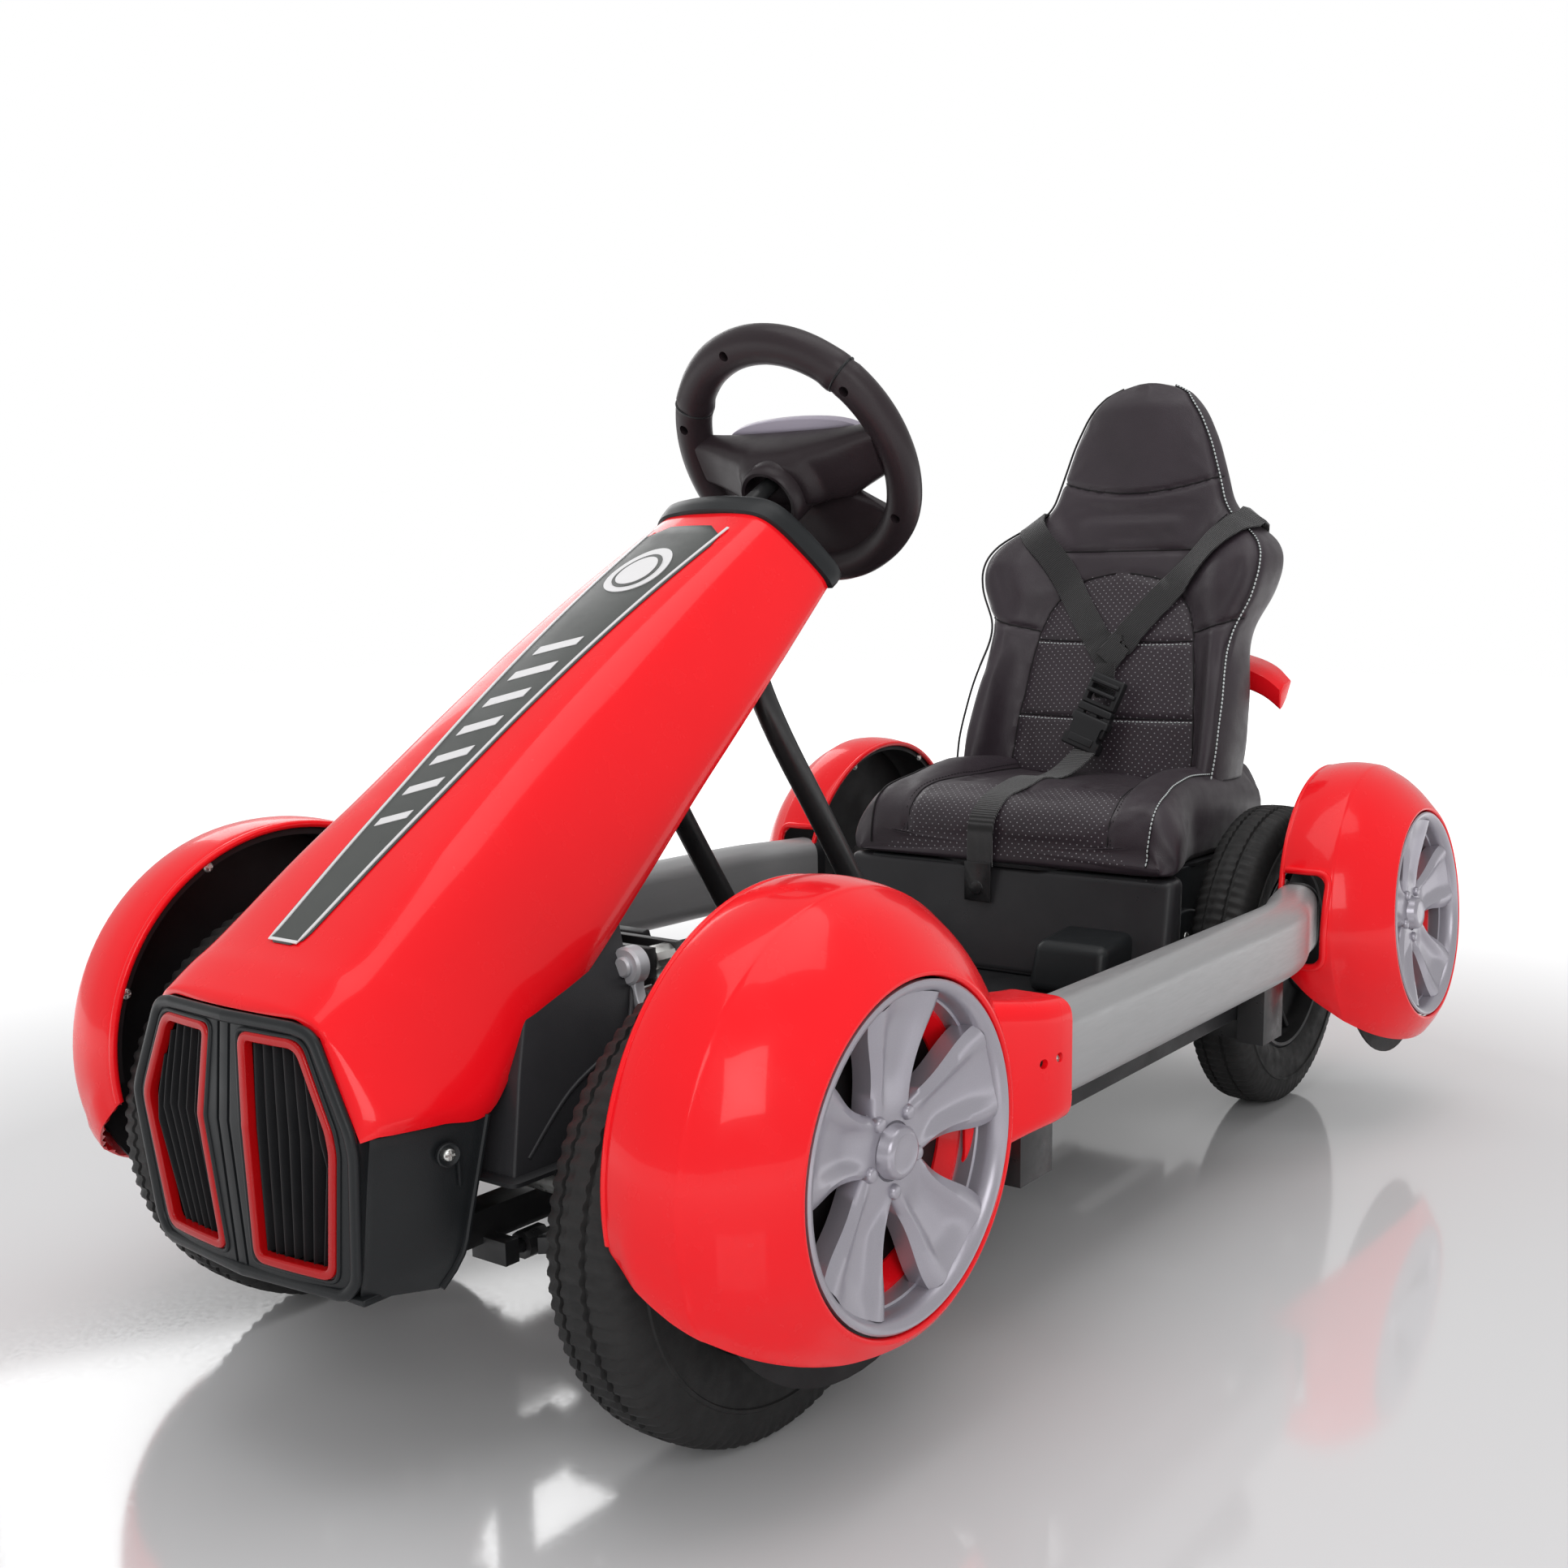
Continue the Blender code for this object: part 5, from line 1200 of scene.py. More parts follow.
def make_wheel(end):
    """Treaded tyres and their ribbed rims."""
    rear = end == "rear"
    x = 0.189 if rear else 0.185
    matrix = axis_frame((x, AXLE_Y[end], TYRE_RADIUS), (1, 0, 0))
    half = [(0.0240, 0.0870, 0), (0.0262, 0.0905, 0), (0.0285, 0.0960, 0), (0.0297, 0.1030, 0),
            (0.0300, 0.1100, 0),
            (0.0300, 0.1135, 0), (0.0312, 0.1142, 0), (0.0312, 0.1160, 0), (0.0300, 0.1168, 0),
            (0.0297, 0.1220, 0.3),
            (0.0284, 0.1290, 1.0), (0.0262, 0.1345, 1.0), (0.0225, 0.1377, 1.0), (0.0165, 0.1392, 1.0),
            (0.0120, 0.1396, 1.0), (0.0112, 0.1366, 0), (0.0088, 0.1366, 0), (0.0080, 0.1399, 1.0),
            (0.0040, 0.1400, 1.0),
            (0.0, 0.1400, 1.0)]
    profile = half + [(-INBOARD_SHARE * z, r, w) for z, r, w in half[-2::-1]]
    steps = TREAD_BLOCKS * 4
    rings = []
    for k in range(steps):
        ring = []
        for z, r, tread in profile:
            angle = 2 * math.pi * k / steps + 0.030 * abs(z) / 0.03
            low = 0.0017 * tread if k % 4 in (2, 3) and abs(z) > 0.002 else 0.0
            ring.append(matrix @ polar(r - low, angle, z))
        rings.append(ring)
    tyre = paint(loft(end + "_tyre_tread", rings, closed=True), TYRE)
    body = end + "_wheel_{}"
    both_sides(tyre, end + "_tyre_tread", body, [end + "_tyre_{}"])

    bore = 0.0064 if rear else 0.0069
    outer = [(0.0235, 0.0868), (0.0252, 0.0850), (0.0245, 0.0822), (0.0180, 0.0800), (0.0095, 0.0775),
            (0.0068, 0.0740),
             (0.0060, 0.0600), (0.0085, 0.0420), (0.0110, 0.0260), (0.0165, 0.0200), (0.0200, 0.0185),
             (0.0206, 0.0160),
             (0.0206, bore)]
    back = [(-0.0206, bore), (-0.0206, 0.0165), (-0.0180, 0.0190), (-0.0040, 0.0210), (-0.0020, 0.0750),
            (-0.0060, 0.0785), (-0.0180, 0.0812), (-0.0184, 0.0868)]
    rim = turned("rim", outer + back, 72, matrix)
    ribs = []
    for k in range(10):
        turn = Matrix.Rotation(2 * math.pi * k / 10, 4, "Z")
        rings = []
        for r, z, wide in ((0.0230, 0.0150, 0.0022), (0.0420, 0.0120, 0.0020), (0.0620, 0.0105, 0.0020),
                           (0.0780, 0.0150, 0.0026)):
            rings.append([matrix @ (turn @ Vector((r, a, h)))
                    for a, h in ((-wide, 0.002), (wide, 0.002), (wide, z - 0.001),
                    (0.4 * wide, z), (-0.4 * wide, z),
                    (-wide, z - 0.001))])
        ribs.append(loft("rib", rings))
    wheel = paint(join(end + "_rim_dish", [rim] + ribs), BLACK)
    both_sides(wheel, end + "_rim_dish", body, [end + "_rim_{}"])


# ---------------------------------------------------------------- seat
BACK_LINE = [(0.290, 0.423), (0.300, 0.425), (0.357, 0.438), (0.431, 0.457), (0.500, 0.482), (0.552, 0.499),
             (0.589, 0.506), (0.640, 0.511), (0.690, 0.516)]
SEAT_LOW, SEAT_HIGH = 0.2965, 0.6862
SEAT_OUTLINE = [(0.2960, 0.142), (0.330, 0.144), (0.380, 0.141), (0.425, 0.134), (0.445, 0.136),
        (0.475, 0.151),
                (0.500, 0.156), (0.520, 0.152), (0.535, 0.136), (0.548, 0.112), (0.562, 0.098),
                (0.590, 0.089), (0.625, 0.077),
                (0.655, 0.062), (0.675, 0.045), (0.6835, 0.026), (0.6862, 0.006)]
BOLSTER_RISE = [(0.290, 0.046), (0.340, 0.044), (0.400, 0.034), (0.440, 0.020), (0.462, 0.022),
        (0.490, 0.031),
                (0.515, 0.029), (0.535, 0.016), (0.552, 0.004), (0.562, 0.0), (0.700, 0.0)]
PANEL_HALF = [(0.290, 0.102), (0.355, 0.097), (0.400, 0.091), (0.435, 0.086), (0.458, 0.078),
        (0.475, 0.066),
              (0.487, 0.049), (0.4945, 0.027), (0.497, 0.0), (0.700, 0.0)]


def graph(points, value):
    """Value read from a line graph with softened corners."""
    if value <= points[0][0]:
        return points[0][1]
    for (a, b), (c, d) in zip(points, points[1:]):
        if value <= c:
            return b + (d - b) * (value - a) / (c - a)
    return points[-1][1]


def soft_graph(points, value, reach=0.012):
    return sum(graph(points, value + reach * k) for k in (-1, -0.5, 0, 0.5, 1)) / 5


def seat_half(z):
    return graph(SEAT_OUTLINE, z) if z > 0.668 else soft_graph(SEAT_OUTLINE, z, 0.008)


def backrest_y(x, z):
    """Front face of the backrest before it is puffed."""
    half = seat_half(z)
    panel = graph(PANEL_HALF, z)
    base = soft_graph(BACK_LINE, z) + 0.0065
    wide = max(panel, 0.060)
    s = max(0.0, abs(x) - wide) / max(half - wide, 1e-6)
    rise = soft_graph(BOLSTER_RISE, z) * smoothstep(0.0, 0.62, s)
    crown = 0.006 * (1 - min(1.0, abs(x) / wide) ** 2)
    if z > 0.552:
        crown = 0.008 * (1 - (abs(x) / half) ** 2) * smoothstep(0.552, 0.575, z)
    return base - rise - crown


def make_backrest():
    """Padded backrest skin: wings, waist and headrest, to be puffed by cloth pressure between pinned seams.
    """
    levels = [SEAT_LOW + (SEAT_HIGH - SEAT_LOW) * k / 76 for k in range(77)]
    rings = []
    for z in levels:
        half = seat_half(z)
        thick = 0.050 if z < 0.53 else 0.050 - 0.010 * smoothstep(0.53, 0.58, z)
        close = smoothstep(SEAT_HIGH, 0.660, z)
        bottom = smoothstep(SEAT_LOW, 0.303, z)
        ring = []
        steps = 44
        for j in range(steps + 1):
            x = half * math.sin(math.pi / 2 * (2 * j / steps - 1) * 0.97) / math.sin(math.pi / 2 * 0.97)
            edge = max(0.0, abs(x) / half - 0.90) / 0.10 if half > 0.01 else 0.0
            y = backrest_y(x, z) + 0.013 * edge ** 2.2 + 0.012 * (1 - close) + 0.004 * (1 - bottom)
            ring.append(Vector((x, y, z)))
        back_y = soft_graph(BACK_LINE, z) + thick - 0.010 * (1 - close)
        front_y = ring[-1].y
        for f in (0.25, 0.5, 0.75):
            ring.append(Vector((half * (1 + 0.012 * math.sin(math.pi * f)),
                    front_y + (back_y - 0.008 - front_y) * f, z)))
        for k in range(15):
            x = half * (1 - 2 * k / 14)
            corner = max(0.0, abs(x) / half - 0.86) / 0.14
            ring.append(Vector((x, back_y - 0.008 * corner ** 2, z)))
        for f in (0.75, 0.5, 0.25):
            ring.append(Vector((-half * (1 + 0.012 * math.sin(math.pi * f)),
                    front_y + (back_y - 0.008 - front_y) * f, z)))
        rings.append(ring)
    return loft("seat_back_padded", rings)


def seam_curves():
    """Sewn lines of the backrest as (x, z) lists, with the name of each."""
    def border(side):
        zs = [0.300 + (0.4962 - 0.300) * k / 40 for k in range(41)]
        return [(side * graph(PANEL_HALF, z), z) for z in zs]

    def across(z, bow, half):
        return [(half * (k / 12 - 1), z + bow * (1 - (k / 12 - 1) ** 2)) for k in range(25)]

    def shoulder(side):
        return [(side * x, z) for x, z in ((0.072, 0.519), (0.083, 0.530), (0.093, 0.541), (0.101, 0.552))]

    curves = {"border_left": border(1), "border_right": border(-1), "waist": across(0.4300, -0.0015, 0.085),
              "lumbar": across(0.3550, -0.0010, 0.0965), "neck": across(0.5190, -0.0005, 0.072),
              "head": across(0.5900, -0.0140, 0.088), "back_left": shoulder(1), "back_right": shoulder(-1)}
    for side, name in SIDES:
        curves["wing_" + name] = [(side * (0.0850 + 0.054 * k / 12), 0.4380 + 0.014 * (k / 12))
                for k in range(13)]
    return curves


def distance_to(curve, x, z):
    best = 1e9
    for (ax, az), (bx, bz) in zip(curve, curve[1:]):
        dx, dz = bx - ax, bz - az
        t = max(0.0, min(1.0, ((x - ax) * dx + (z - az) * dz) / max(dx * dx + dz * dz, 1e-12)))
        best = min(best, math.hypot(x - ax - t * dx, z - az - t * dz))
    return best


CLOTH_FRAMES = 18


def puff(obj, pinned, cap, pressure):
    """Inflate a closed skin with cloth pressure.

    pinned(co) in 0..1 holds the seams, and cap limits how far a point may move."""
    group = obj.vertex_groups.new(name="seams")
    for vert in obj.data.vertices:
        group.add([vert.index], pinned(vert.co), "REPLACE")
    before = [vert.co.copy() for vert in obj.data.vertices]
    mod = obj.modifiers.new("cloth", "CLOTH")
    settings = mod.settings
    settings.quality = 6
    settings.mass = 0.25
    settings.tension_stiffness = settings.compression_stiffness = 18.0
    settings.shear_stiffness = 8.0
    settings.bending_stiffness = 0.8
    settings.use_pressure = True
    settings.uniform_pressure_force = pressure
    settings.vertex_group_mass = "seams"
    settings.effector_weights.gravity = 0.0
    mod.point_cache.frame_start = 1
    mod.point_cache.frame_end = CLOTH_FRAMES
    scene = bpy.context.scene
    for number in range(1, CLOTH_FRAMES + 1):
        scene.frame_set(number)
    graph_now = bpy.context.evaluated_depsgraph_get()
    mesh = obj.evaluated_get(graph_now).to_mesh()
    moved = [vert.co.copy() for vert in mesh.vertices]
    obj.evaluated_get(graph_now).to_mesh_clear()
    obj.modifiers.remove(mod)
    obj.vertex_groups.clear()
    scene.frame_set(1)
    for vert, start, end in zip(obj.data.vertices, before, moved):
        step = end - start
        if step.length > cap:
            step *= cap / step.length
        vert.co = start + step
    return obj


def groove_seams(obj, curves, depth, width, facing):
    """Press the sewn lines into the skin; facing(normal) says how far a point faces the seams' side."""
    obj.data.update()
    normals = [vert.normal.copy() for vert in obj.data.vertices]
    for vert, normal in zip(obj.data.vertices, normals):
        share = facing(normal)
        if share <= 0:
            continue
        near = min(distance_to(curve, vert.co.x, vert.co.z) for curve in curves)
        if near < 3 * width:
            vert.co -= normal * depth * share * math.exp(-(near / width) ** 2)
    return obj


def drop_on(tree, points, direction, lift):
    """Points carried along direction onto a surface, then lifted off it; misses are left out."""
    landed, ups = [], []
    direction = Vector(direction).normalized()
    for point in points:
        hit, normal, _, _ = tree.ray_cast(Vector(point) - direction * 0.3, direction)
        if hit is None:
            continue
        if normal.dot(direction) > 0:
            normal = -normal
        landed.append(hit + normal * lift)
        ups.append(normal)
    return landed, ups


def tree_of(obj):
    bm = bmesh.new()
    bm.from_mesh(obj.data)
    tree = BVHTree.FromBMesh(bm)
    bm.free()
    return tree


def resample(path, ups, pitch):
    """Points a fixed pitch apart along a path, with the up vector and the direction at each."""
    out = []
    left = 0.0
    for a, b, up in zip(path, path[1:], ups):
        length = (b - a).length
        while left < length:
            out.append((a.lerp(b, left / length), up, (b - a).normalized()))
            left += pitch
        left -= length
    return out


def stitch_line(name, path, ups, pitch=0.0040, long=0.0027, thick=0.00055):
    """Row of separate thread stitches lying on a surface."""
    verts, faces = [], []
    for point, up, along in resample(path, ups, pitch):
        across = along.cross(up).normalized()
        start = len(verts)
        for f, s in ((-0.5, 0.35), (-0.25, 1.0), (0.25, 1.0), (0.5, 0.35)):
            for a, h in ((-1, 0.0), (-0.5, 0.8), (0.5, 0.8), (1, 0.0), (0, -0.6)):
                verts.append(point + along * long * f + across * a * thick * s + up * h * thick * s)
        for i in range(3):
            for j in range(5):
                a, b = start + i * 5 + j, start + i * 5 + (j + 1) % 5
                faces.append((a, b, b + 5, a + 5))
        faces.append(tuple(start + j for j in range(5))[::-1])
        faces.append(tuple(start + 15 + j for j in range(5)))
    line = link_mesh(name, verts, faces)
    return dress(line, THREAD, "root")


def seam_cord(name, path, ups, radius):
    line = sweep(name, path, circle(radius, 8), ups=ups)
    return dress(line, LINER, "root")


def finish_backrest(back):
    """Puff the backrest, press its seams in and lay cords and stitches on them."""
    curves = seam_curves()
    sewn = list(curves.values())

    def pinned(co):
        if co.y > backrest_y(co.x, co.z) + 0.022:
            return 1.0
        near = min(distance_to(curve, co.x, co.z) for curve in sewn)
        return max(0.0, 1 - near / 0.006)

    def facing(normal):
        return smoothstep(0.1, 0.5, -normal.y)

    puff(back, pinned, 0.0045, 5.0)
    apply_all(add_subdivision(back, 1))
    groove_seams(back, sewn, 0.0032, 0.0030, facing)
    back.data.materials.append(LEATHER)
    back.data.materials.append(PERFORATED)
    for face in back.data.polygons:
        c = face.center
        if face.normal.y < -0.3 and abs(c.x) < graph(PANEL_HALF, c.z) - 0.0015 and c.z > 0.300:
            face.material_index = 1
    dress(back, None, "root", ["seat_back"], 60.0)
    tree = tree_of(back)
    for key, curve in curves.items():
        points = [(x, 0.45, z) for x, z in smooth_flat(curve)]
        path, ups = drop_on(tree, points, (0, 1, 0), 0.0002)
        seam_cord("seam_" + key, path, ups, 0.0007)
        if key in ("waist", "lumbar"):
            lifted, lifted_ups = drop_on(tree, [(x, 0.45, z - 0.0032) for x, _, z in points], (0, 1, 0),
                    0.0004)
            stitch_line("stitch_" + key, lifted, lifted_ups)
    return back


def smooth_flat(curve, per_span=3):
    return [(p.x, p.y) for p in smooth_path([Vector((x, z, 0)) for x, z in curve], per_span)]


def make_piping():
    """White piping along the front edge of the backrest's left side and headrest, dark on the right."""
    for side, name in SIDES:
        path, ups = [], []
        for k in range(90):
            z = 0.306 + (0.6820 - 0.306) * k / 89
            half = seat_half(z)
            close = smoothstep(SEAT_HIGH, 0.660, z)
            point = Vector((side * half * 0.985, backrest_y(half * 0.93, z) + 0.0045 + 0.012 * (1 - close),
                    z))
            path.append(point)
            ups.append(Vector((side * 0.8, -0.8, 0.2)))
        line = sweep("piping_back_" + name, path, circle(0.0011, 8), ups=ups)
        dress(line, LINER, "root")
        if side > 0:
            lifted = [p + u.normalized() * 0.0010 for p, u in zip(path, ups)]
            stitch_line("piping_back_thread", lifted, [u.normalized() for u in ups], pitch=0.0040,
                    long=0.0030,
                        thick=0.0008)


# ---------------------------------------------------------------- seat cushion
CUSHION_FRONT, CUSHION_BACK, CUSHION_LOW, CUSHION_TOP = 0.245, 0.498, 0.2335, 0.2955
CUSHION_HALF = 0.147


def cushion_half(y):
    """Half width of the cushion: flared at the front corners, narrow between the wheels."""
    flare = 0.022 * (1 - smoothstep(0.255, 0.345, y))
    return CUSHION_HALF + flare - 0.010 * (1 - smoothstep(0.0, 0.014, y - CUSHION_FRONT)) ** 2


def cushion_z(x, y):
    """Top face of the cushion: a dished middle between two bolsters, rolled over at the front."""
    s = abs(x) / CUSHION_HALF
    along = (y - CUSHION_FRONT) / (CUSHION_BACK - CUSHION_FRONT)
    bolster = 0.021 * smoothstep(0.54, 0.80, s) * smoothstep(0.02, 0.45, along)
    front = max(0.0, 1 - along / 0.135)
    roll = 0.040 * (1 - math.sqrt(max(0.0, 1 - front ** 2.2)))
    crown = 0.004 * math.sin(math.pi * min(1.0, along * 1.2)) * (1 - s * s)
    side = 0.030 * max(0.0, (s - 0.86) / 0.14) ** 1.8
    return CUSHION_TOP - roll + bolster + crown - side


def make_cushion():
    """Padded cushion with its seams, stitches, eyelets and piping; returns its surface for the straps."""
    rings = []
    count = 54
    for i in range(count + 1):
        f = i / count
        y = CUSHION_FRONT + (CUSHION_BACK - CUSHION_FRONT) * (1 - math.cos(math.pi * f)) / 2
        ends = 0.004 * (1 - smoothstep(0.0, 0.06, f))
        half = cushion_half(y)
        low = CUSHION_LOW + ends
        ring = []
        for j in range(41):
            x = half * (j / 20 - 1)
            ring.append(Vector((x, y, max(low + 0.004, cushion_z(x * CUSHION_HALF / half, y)))))
        top = ring[-1].z
        ring.append(Vector((half + 0.0015, y, top - (top - low) * 0.35)))
        ring.append(Vector((half + 0.0010, y, top - (top - low) * 0.7)))
        for j in range(17):
            ring.append(Vector((half * (1 - j / 8), y, low)))
        ring.append(Vector((-half - 0.0010, y, top - (top - low) * 0.7)))
        ring.append(Vector((-half - 0.0015, y, top - (top - low) * 0.35)))
        rings.append(ring)
    cushion = loft("seat_cushion_padded", rings)

    def front_seam(x):
        return CUSHION_FRONT + 0.105 - 0.010 * (x / 0.09) ** 2

    sewn = [[(side * (0.090 + 0.016 * (1 - smoothstep(0.26, 0.36, 0.2500 + 0.0205 * k))),
            0.2500 + 0.0205 * k)
             for k in range(13)] for side in (1, -1)]
    sewn.append([(0.088 * (k / 12 - 1), front_seam(0.088 * (k / 12 - 1))) for k in range(25)])

    def near_seam(co):
        return min(distance_to(curve, co.x, co.y) for curve in sewn)

    def pinned(co):
        if co.z < cushion_z(co.x * CUSHION_HALF / cushion_half(co.y), co.y) - 0.02:
            return 1.0
        return max(0.0, 1 - near_seam(co) / 0.006)

    puff(cushion, pinned, 0.0045, 5.0)
    apply_all(add_subdivision(cushion, 1))
    cushion.data.update()
    normals = [vert.normal.copy() for vert in cushion.data.vertices]
    buttons = [(0.058, 0.318), (-0.072, 0.318)]
    for vert, normal in zip(cushion.data.vertices, normals):
        up = smoothstep(0.0, 0.5, normal.z - 0.4 * normal.y)
        near = near_seam(vert.co)
        vert.co -= normal * 0.0026 * up * math.exp(-(near / 0.0028) ** 2)
        for bx, by in buttons:
            vert.co -= normal * 0.0065 * up * math.exp(-(math.hypot(vert.co.x - bx,
                    vert.co.y - by) / 0.0095) ** 2)
    cushion.data.materials.append(LEATHER)
    cushion.data.materials.append(PERFORATED)
    for face in cushion.data.polygons:
        c = face.center
        if abs(c.x) < 0.0885 + 0.016 * (1 - smoothstep(0.26, 0.36,
                c.y)) and c.y < front_seam(c.x) - 0.052 and (face.normal.z > 0.2 or face.normal.y < -0.5) \
                and c.z > CUSHION_LOW + 0.006:
            face.material_index = 1
    dress(cushion, None, "root", ["seat_cushion"], 60.0)
    tree = tree_of(cushion)
    down = Vector((0, 0, -1))
    for k, curve in enumerate(sewn):
        points = [(x, y, 0.3) for x, y in smooth_flat(curve)]
        path, ups = drop_on(tree, points, down, 0.0002)
        seam_cord("cushion_seam_%d" % (k + 1), path, ups, 0.0006)
        if k < 2:
            shift = 0.0035 if k == 0 else -0.0035
            lifted, lifted_ups = drop_on(tree, [(x + shift, y, 0.3) for x, y, _ in points], down, 0.0003)
            line = stitch_line("cushion_stitch_%d" % (k + 1), lifted, lifted_ups, pitch=0.0042,
                    thick=0.0004)
            paint(line, LINER)
    for k, (x, y) in enumerate(buttons):
        hit, normal, _, _ = tree.ray_cast(Vector((x, y, 0.4)), down)
        eyelet = turned("eyelet_%d" % (k + 1), [(-0.0004, 0.0022), (-0.0004, 0.0052), (0.0006, 0.0050),
                (0.0010, 0.0040),
                                                (0.0004, 0.0026)], 24, axis_frame(hit, normal))
        dress(eyelet, SATIN, "root")
    # white piping over the side bolster and down its front
    for side, name in SIDES:
        flat = [(0.137, 0.432), (0.136, 0.400), (0.135, 0.360), (0.137, 0.320), (0.142, 0.290),
                (0.145, 0.272),
                (0.1465, 0.260), (0.1470, 0.2530)]
        points = [(side * x, y, 0.3) for x, y in smooth_flat(flat, 6)]
        path, ups = drop_on(tree, points, down, 0.0006)
        front, front_ups = drop_on(tree, [(side * 0.1468, 0.3, 0.272 - 0.0012 * k) for k in range(26)],
                (0, 1, 0), 0.0006)
        path, ups = path + front[6:], ups + front_ups[6:]
        dress(sweep("cushion_piping_" + name, path, circle(0.0009, 8), ups=ups), LINER, "root")
        if side > 0:
            lifted = [p + u * 0.0008 for p, u in zip(path, ups)]
            stitch_line("cushion_piping_thread", lifted, ups, pitch=0.0040, long=0.0030, thick=0.0007)
    return tree


# ---------------------------------------------------------------- harness
def strap(name, path, ups, width, thickness, mat, replaced=()):
    """Flat webbing with rolled edges along a path."""
    half, t = width / 2, thickness / 2
    section = [(-half, -t * 0.5), (-half * 0.97, -t), (0, -t), (half * 0.97, -t), (half, -t * 0.5),
            (half, t * 0.5),
               (half * 0.97, t), (0, t), (-half * 0.97, t), (-half, t * 0.5)]
    return dress(sweep(name, path, section, ups=ups), mat, "root", replaced)


def make_harness(back_tree, cushion_tree):
    """Shoulder straps, twisted tail, buckle and crotch strap."""
    forward = Vector((0, 1, 0))
    for side, name in SIDES:
        lift = 0.0042 if side > 0 else 0.0016
        start = Vector((side * (0.1230 if side > 0 else 0.1120), 0, 0.545))
        end = Vector((side * -0.002 + 0.002, 0, 0.4085))
        bend = Vector((side * 0.046, 0, 0.468))
        line = smooth_path([start, start.lerp(bend, 0.5) + Vector((0, 0, 0.003)), bend,
                bend.lerp(end, 0.55), end], 12)
        path, ups = drop_on(back_tree, [(p.x, 0.45, p.z) for p in line], forward, lift)
        # even out the path so that the webbing bridges the hollows
        path = eased(path, 14, lambda a, b, c: Vector((b.x, min(b.y, (a.y + c.y) / 2), b.z)))
        ups = eased(ups, 4, lambda a, b, c: (a + b + c).normalized())
        over = path[0]
        tail = [over + Vector((side * -0.0120, 0.0400, -0.0340)),
                over + Vector((side * -0.0050, 0.0375, -0.0080)),
                over + Vector((side * 0.0010, 0.0240, 0.0030)),
                over + Vector((side * 0.0020, 0.0090, 0.0050))]
        tail_ups = [Vector((side * 0.2, 1, 0.1)), Vector((side * 0.55, 0.6, 0.8)),
                Vector((side * 0.62, 0.1, 0.8)),
                    Vector((side * 0.5, -0.4, 0.8))]
        strap("harness_strap_" + name, tail + path, tail_ups + ups, 0.0285, 0.0016, WEBBING,
              ["shoulder_strap_" + name])
    # twisted tail from the crossing to the buckle
    hit = back_tree.ray_cast(Vector((0.003, 0.0, 0.400)), forward)[0]
    top = hit + Vector((0, -0.0085, 0.008))
    points = smooth_path([top, top + Vector((0.001, -0.004, -0.018)),
            top + Vector((0.002, -0.006, -0.034))], 8)
    ups = [Vector((math.sin(0.9 * k / 16), -math.cos(0.9 * k / 16), 0)) for k in range(len(points))]
    strap("harness_tail", points, ups, 0.020, 0.0034, WEBBING)
    make_buckle()
    # crotch strap: from the buckle over the cushion to the anchor in front
    points = [(0.000, 0.412, 0.326), (-0.004, 0.400, 0.316), (-0.008, 0.385, 0.306)]
    run = [(-0.011 - 0.009 * k / 20, 0.372 - 0.116 * k / 20) for k in range(21)]
    over, over_ups = drop_on(cushion_tree, [(x, y, 0.3) for x, y in run], (0, 0, -1), 0.0018)
    front = [Vector((-0.0200, 0.2418, z)) for z in (0.276, 0.268, 0.258, 0.248, 0.238, 0.230)]
    path = [Vector(p) for p in points] + over + front
    ups = [Vector((0, -0.6, 0.8))] * 3 + over_ups + [Vector((0, -1, 0.1))] * 6
    ups = eased(ups, 3, lambda a, b, c: (a + b + c).normalized())
    path = eased(path, 3, lambda a, b, c: b.lerp((a + c) / 2, 0.5))
    strap("harness_crotch_strap", path, ups, 0.027, 0.0017, WEBBING_FLAT, ["crotch_strap"])


def make_buckle():
    """Side-release buckle: ladder adjuster above, two-prong body below."""
    tilt = Matrix.Translation((0.001, 0.4185, 0.352)) @ Matrix.Rotation(math.radians(-14), 4, "X") \
        @ Matrix.Rotation(math.radians(19), 4, "Y") @ Matrix.Scale(1.16, 4)

    def block(low, high, bevel, name="part"):
        return round_box(name, low, high, bevel, 3, tilt)

    body = block((-0.0185, -0.0055, -0.026), (0.0185, 0.0055, 0.0040), 0.0026)
    pieces = [body]
    for s in (1, -1):
        cut(body, block((s * 0.020 - 0.006, -0.02, -0.016), (s * 0.020 + 0.006, 0.02, -0.003), 0.0025))
        prong = block((s * 0.0135 - 0.0035, -0.0032, -0.012), (s * 0.0135 + 0.0035, 0.0032, 0.012), 0.0018)
        pieces.append(prong)
    pieces.append(block((-0.0170, -0.0045, 0.0060), (0.0170, 0.0045, 0.0130), 0.0020))
    pieces.append(block((-0.0035, -0.0028, -0.004), (0.0035, 0.0028, 0.010), 0.0012))
    frame_piece = block((-0.0165, -0.0040, 0.0130), (0.0165, 0.0040, 0.0400), 0.0022)
    for low, high in ((0.0165, 0.0225), (0.0260, 0.0310)):
        cut(frame_piece, block((-0.0120, -0.02, low), (0.0120, 0.02, high), 0.0012))
    pieces.append(frame_piece)
    for z in (0.0245, 0.0335):
        pieces.append(rod("bar", tilt @ Vector((-0.014, -0.0042, z)), tilt @ Vector((0.014, -0.0042, z)),
                0.0024, 14))
    pieces.append(block((-0.0120, -0.0066, -0.0215), (0.0120, -0.0048, -0.0150), 0.0008))
    dress(join("harness_buckle_body", pieces), BLACK, replaced=["harness_buckle"])


